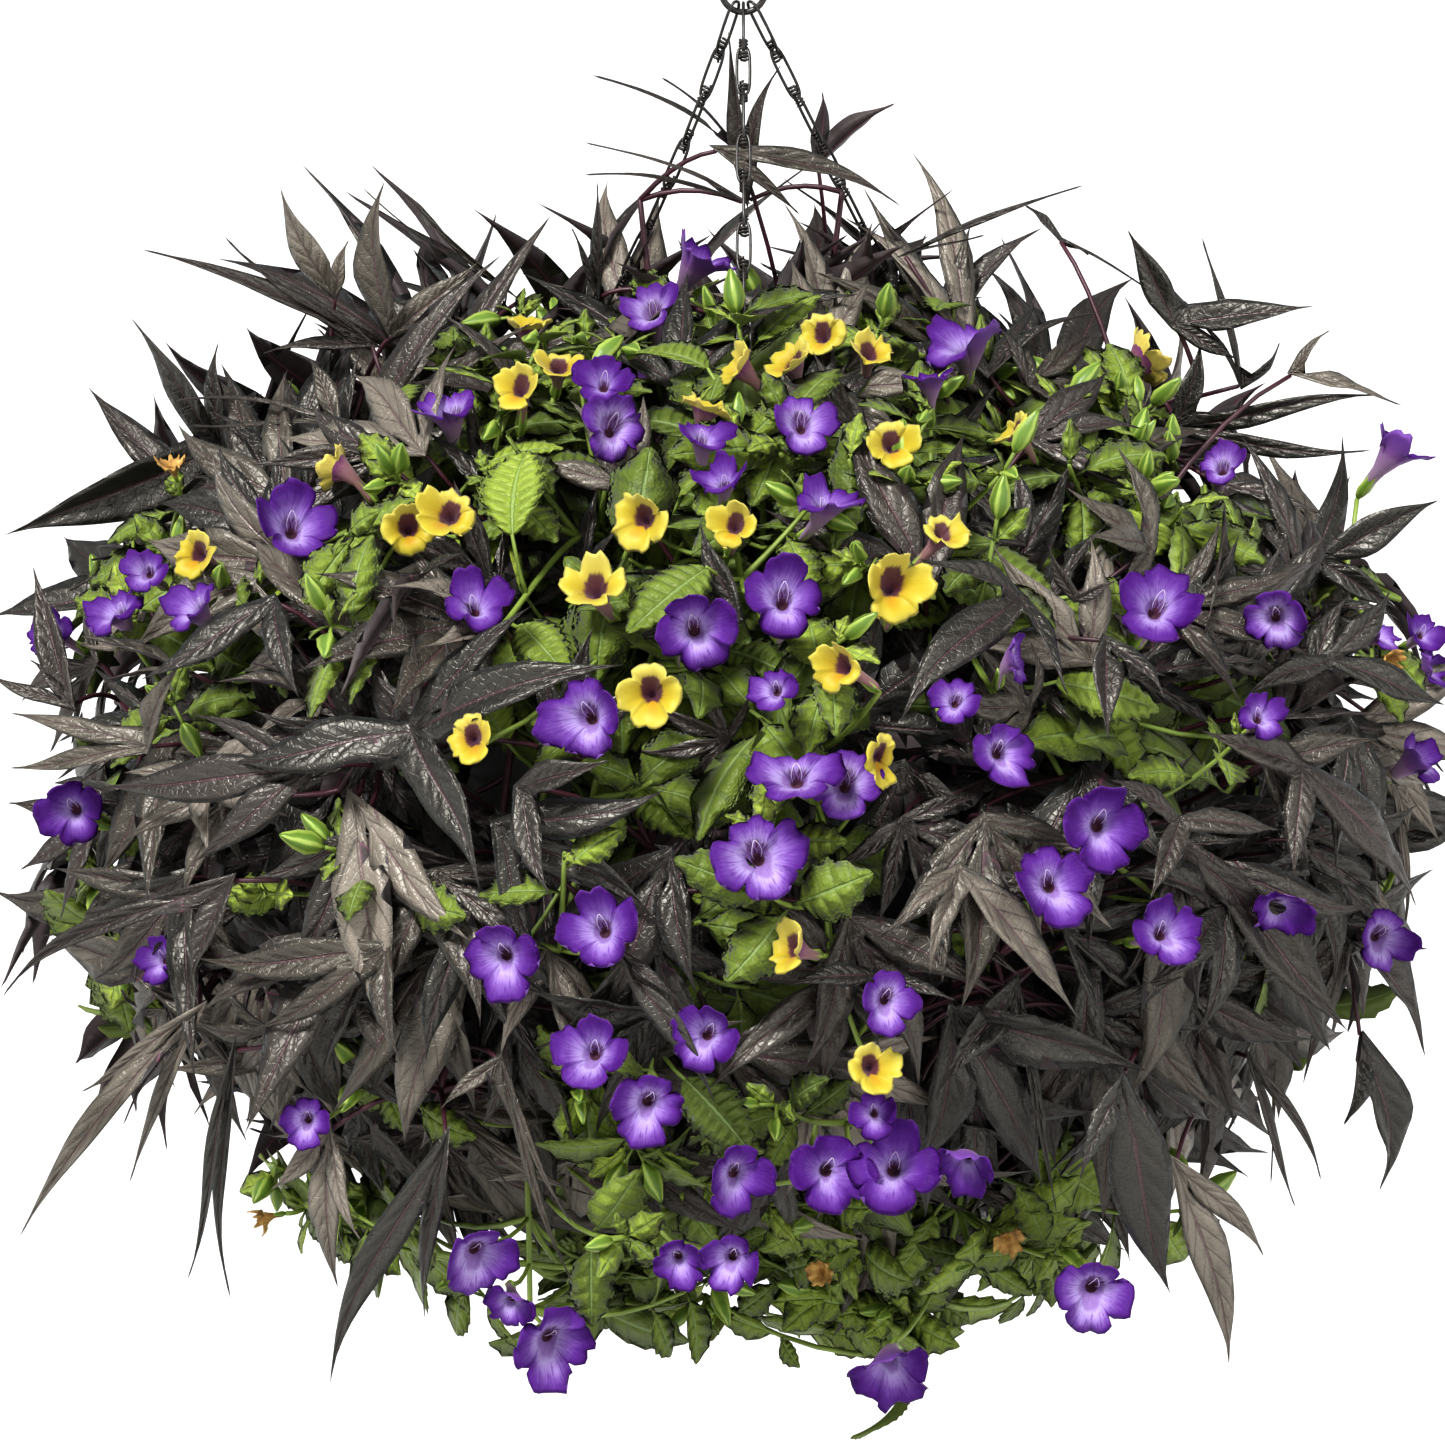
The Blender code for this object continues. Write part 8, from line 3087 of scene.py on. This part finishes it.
def vine_fill(dresser, place, layer, draw):
    """One more palmate leaf on a long stalk from the nearest vine stem."""
    out = trim_normal(place)
    up = arr(UP)
    base = place - out * VINE_FOOT
    number, k, far = dresser.near_stem(base, True, draw)
    if far > (CROWN_REACH if layer == "crown" else VINE_REACH):
        return False
    leaves = dresser.leaves[dresser.plants[number]["name"]]
    root = dresser.lines[number][k]
    toward = arr(TO_VIEW) if base[1] < VINE_SEEN_FROM else out
    inner = layer in ("deep", "core")
    over, sizes, lobes_of, twists, (outward, upward) = VINE_LAYERS[layer]
    if out[2] > HIGH_FROM and layer not in ("crown", "stray"):
        outward, upward = HIGH_LEAD
    lead = out * outward + up * upward
    for turn in range(VINE_TRIES):
        normal = unit(out * 0.6 + toward * 0.7 + up * 0.30 + loose(draw, VINE_LOOSE))
        head = unit(lead - normal * lead.dot(normal) * HEAD_FLAT)
        normal = unit(normal - head * normal.dot(head))
        side = np.cross(normal, head)
        twist = draw.uniform(-twists, twists)
        length = draw.uniform(*sizes) * (1 - VINE_SHORTER * turn)
        tips = []
        for a, part in VINE_SPREAD[: draw.choice(lobes_of)]:
            a = a * draw.uniform(*VINE_TURN) + twist
            way = head * math.cos(a) + side * math.sin(a) + normal * draw.uniform(*VINE_LOBE_OUT)
            tip = base + unit(way) * (length * part * draw.uniform(*VINE_TURN))
            tip = pulled_in(tip, over * draw.uniform(CROWN_LEAST if layer == "crown" else 0.0, 1.0))
            tips.append(np.clip(tip, BOX_LOW, BOX_HIGH))
        samples = [base + (tip - base) * t for tip in tips for t in VINE_TEST_AT]
        if not dresser.hides(samples) and not dresser.in_bloom(tips):
            break
        base = base - out * VINE_STEP_IN
    else:
        return False
    bend = -out * (FILL_STALK_BEND * far) + up * (draw.uniform(*FILL_STALK_RISE) * far)
    stalk = curved(root, base - normal * FILL_STALK_UNDER, bend, 6)
    if dresser.in_bloom(stalk[1:]):
        return False
    # Inner leaves get a lower tone, which is painted shade
    tone = draw.random() * (INNER_PAINTED_SHADE if inner else 1.0)
    cols = 3 if inner or base[1] > NEAR_SIDE else 5
    breadth = draw.uniform(*(CROWN_BREADTH if layer == "crown" else VINE_BREADTH))
    vine_leaf(leaves, base, normal, tips, breadth, tone, draw, 7, cols)
    add_tube(leaves, stalk, np.linspace(*FILL_STALK_WIDTHS, 6), 4, VINE_STEM, tone)
    return True


def fringe(dresser, draw):
    """Vine leaves that stand up round the top, most of them behind, vine leaves that hang out lower
    down, and trailing shoots."""
    for _ in range(CROWN_LEAVES):
        behind = draw.random() < CROWN_BEHIND
        turn = draw.uniform(*(CROWN_TURNS if behind else (0, math.tau)))
        rise = math.radians(draw.uniform(*CROWN_RISE))
        place = trimmed(way_of(turn, rise), draw.uniform(*CROWN_SINK))
        if place[1] >= 0 or not in_wishbone_zone(place):
            vine_fill(dresser, place, "crown", draw)
    for _ in range(STRAY_LEAVES):
        turn = draw.uniform(0, math.tau)
        place = trimmed(way_of(turn, math.radians(draw.uniform(*STRAY_RISE))), STRAY_SINK)
        if place[1] >= 0 or not in_wishbone_zone(place):
            vine_fill(dresser, place, "stray", draw)
    for _ in range(TRAILERS):
        rise = math.radians(draw.uniform(*TRAIL_RISE))
        place = trimmed(way_of(draw.uniform(0, math.tau), rise), draw.uniform(*TRAIL_SINK))
        shoot(dresser, place, "trail", draw)


def fill(dresser):
    """The shoots and leaves between those that the solids have."""
    dresser.seal()
    draw = random.Random("fill")
    for place, layer in fill_places(draw):
        near = place[1] < NEAR_SIDE
        if near:
            vine_first = not in_wishbone_zone(place)
            if draw.random() < (LESS_VINE if vine_first else MORE_VINE):
                vine_first = not vine_first
        else:
            far = np.linalg.norm(dresser.stem_points - place, axis=1)
            near_vine = far[dresser.stem_is_vine].min()
            near_green = far[~dresser.stem_is_vine].min()
            vine_first = near_vine * draw.uniform(*FAR_VINE_SHARE) < near_green
        tries = (vine_fill, shoot) if vine_first else (shoot, vine_fill)
        if near and vine_first and draw.random() < VINE_ALONE:
            tries = (vine_fill,)
        for job in tries:
            if job(dresser, place, layer, draw):
                break
    fringe(dresser, draw)


# Stage

FLOOR_Z = -1.9
FLOOR_SIZE = 900.0
# Painted shade on the floor: darker grey within the first distance from the origin, pale past the second
FLOOR_PAINTED_SHADE = (2.0, 4.2)
EXPOSURE = 0.45
HALF_SENSOR = 18
# The sky's brightness, from the first height and strength to the second
SKY = (("From Min", 0.03), ("From Max", 0.26), ("To Min", 0.76), ("To Max", 0.17))
# Name, turn, rise, softness and strength of each light, with angles in degrees
SUNS = (("key", -124, 50, 16, 3.0), ("fill", -48, 30, 40, 0.75))


def sun(name, turn, rise, soft, strength):
    """A soft, even light from a direction, in degrees."""
    light = bpy.data.lights.new(name, "SUN")
    light.angle = math.radians(soft)
    light.energy = strength
    lamp = bpy.data.objects.new(name, light)
    lamp.rotation_mode = "QUATERNION"
    way = Vector(way_of(math.radians(turn), math.radians(rise)))
    lamp.rotation_quaternion = way.to_track_quat("Z", "Y")
    bpy.context.scene.collection.objects.link(lamp)


def studio_world():
    """White near the horizon and dimmer above."""
    world = bpy.data.worlds.new("studio")
    world.use_nodes = True
    nodes = world.node_tree.nodes
    links = world.node_tree.links
    place = nodes.new("ShaderNodeTexCoord")
    parts = nodes.new("ShaderNodeSeparateXYZ")
    links.new(place.outputs["Generated"], parts.inputs[0])
    fade = nodes.new("ShaderNodeMapRange")
    fade.interpolation_type = "SMOOTHSTEP"
    links.new(parts.outputs["Z"], fade.inputs["Value"])
    for key, number in SKY:
        fade.inputs[key].default_value = number
    links.new(fade.outputs["Result"], nodes["Background"].inputs["Strength"])
    nodes["Background"].inputs["Color"].default_value = (1, 1, 1, 1)
    return world


def studio_floor():
    """A wide pale floor, painted a darker grey right below the basket as painted shade."""
    half = FLOOR_SIZE / 2
    mesh = bpy.data.meshes.new("floor")
    corners = [(x * half, y * half, FLOOR_Z) for x, y in ((-1, -1), (1, -1), (1, 1), (-1, 1))]
    mesh.from_pydata(corners, [], [(0, 1, 2, 3)])
    floor = bpy.data.objects.new("floor", mesh)
    bpy.context.scene.collection.objects.link(floor)
    paint = Paint("floor", 0.9, Specular_IOR_Level=0.0)
    far = paint.node("VectorMath", {"operation": "LENGTH"})
    paint.plug(far, "i0", paint.place())
    fade = paint.step(far.outputs["Value"], *FLOOR_PAINTED_SHADE)
    mesh.materials.append(paint.finish(paint.mix(fade, (0.46, 0.46, 0.46), (0.86, 0.86, 0.86))))
    return floor


def stage():
    """The floor, the lights, the sky and the camera at the photograph's place."""
    scene = bpy.context.scene
    scene.view_settings.view_transform = "Standard"
    scene.view_settings.look = "Medium High Contrast"
    scene.view_settings.exposure = EXPOSURE
    scene.world = studio_world()
    floor = studio_floor()
    for light in SUNS:
        sun(*light)
    camera = bpy.data.cameras.new("camera")
    camera.sensor_width = 2 * HALF_SENSOR
    camera.lens = HALF_SENSOR * VIEW_DISTANCE / (PHOTO_SIDE / 2 * PIXEL)
    camera.clip_start = 0.05
    camera.clip_end = 2000
    seen = bpy.data.objects.new("camera", camera)
    seen.location = VIEW_POINT
    seen.rotation_mode = "QUATERNION"
    seen.rotation_quaternion = (-TO_VIEW).to_track_quat("-Z", "Y")
    scene.collection.objects.link(seen)
    scene.camera = seen


def dress():
    """All that is seen in the place of the solids."""
    planting = Planting()
    planting.block(recalculated(hook_shape()), "hook")
    for name, *sizes in CHAINS:
        planting.block(recalculated(chain_shape(*sizes)), name)
    planting.block(recalculated(pot_shape()), "pot")
    plant_basket(planting)
    dresser = Dresser(planting)
    dress_given(dresser, random.Random("dress"))
    fill(dresser)
    materials = all_materials()
    for plant in planting.plants:
        name = plant["name"]
        piece(name + "_leaves", dresser.leaves[name], materials, [name])
        if dresser.petals[name].count:
            piece(name + "_petals", dresser.petals[name], materials, [name])
    dress_wire(wire_material())
    dress_pot(pot_material())
    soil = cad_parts["soil"].data
    soil.materials.clear()
    soil.materials.append(soil_material())


dress()
stage()
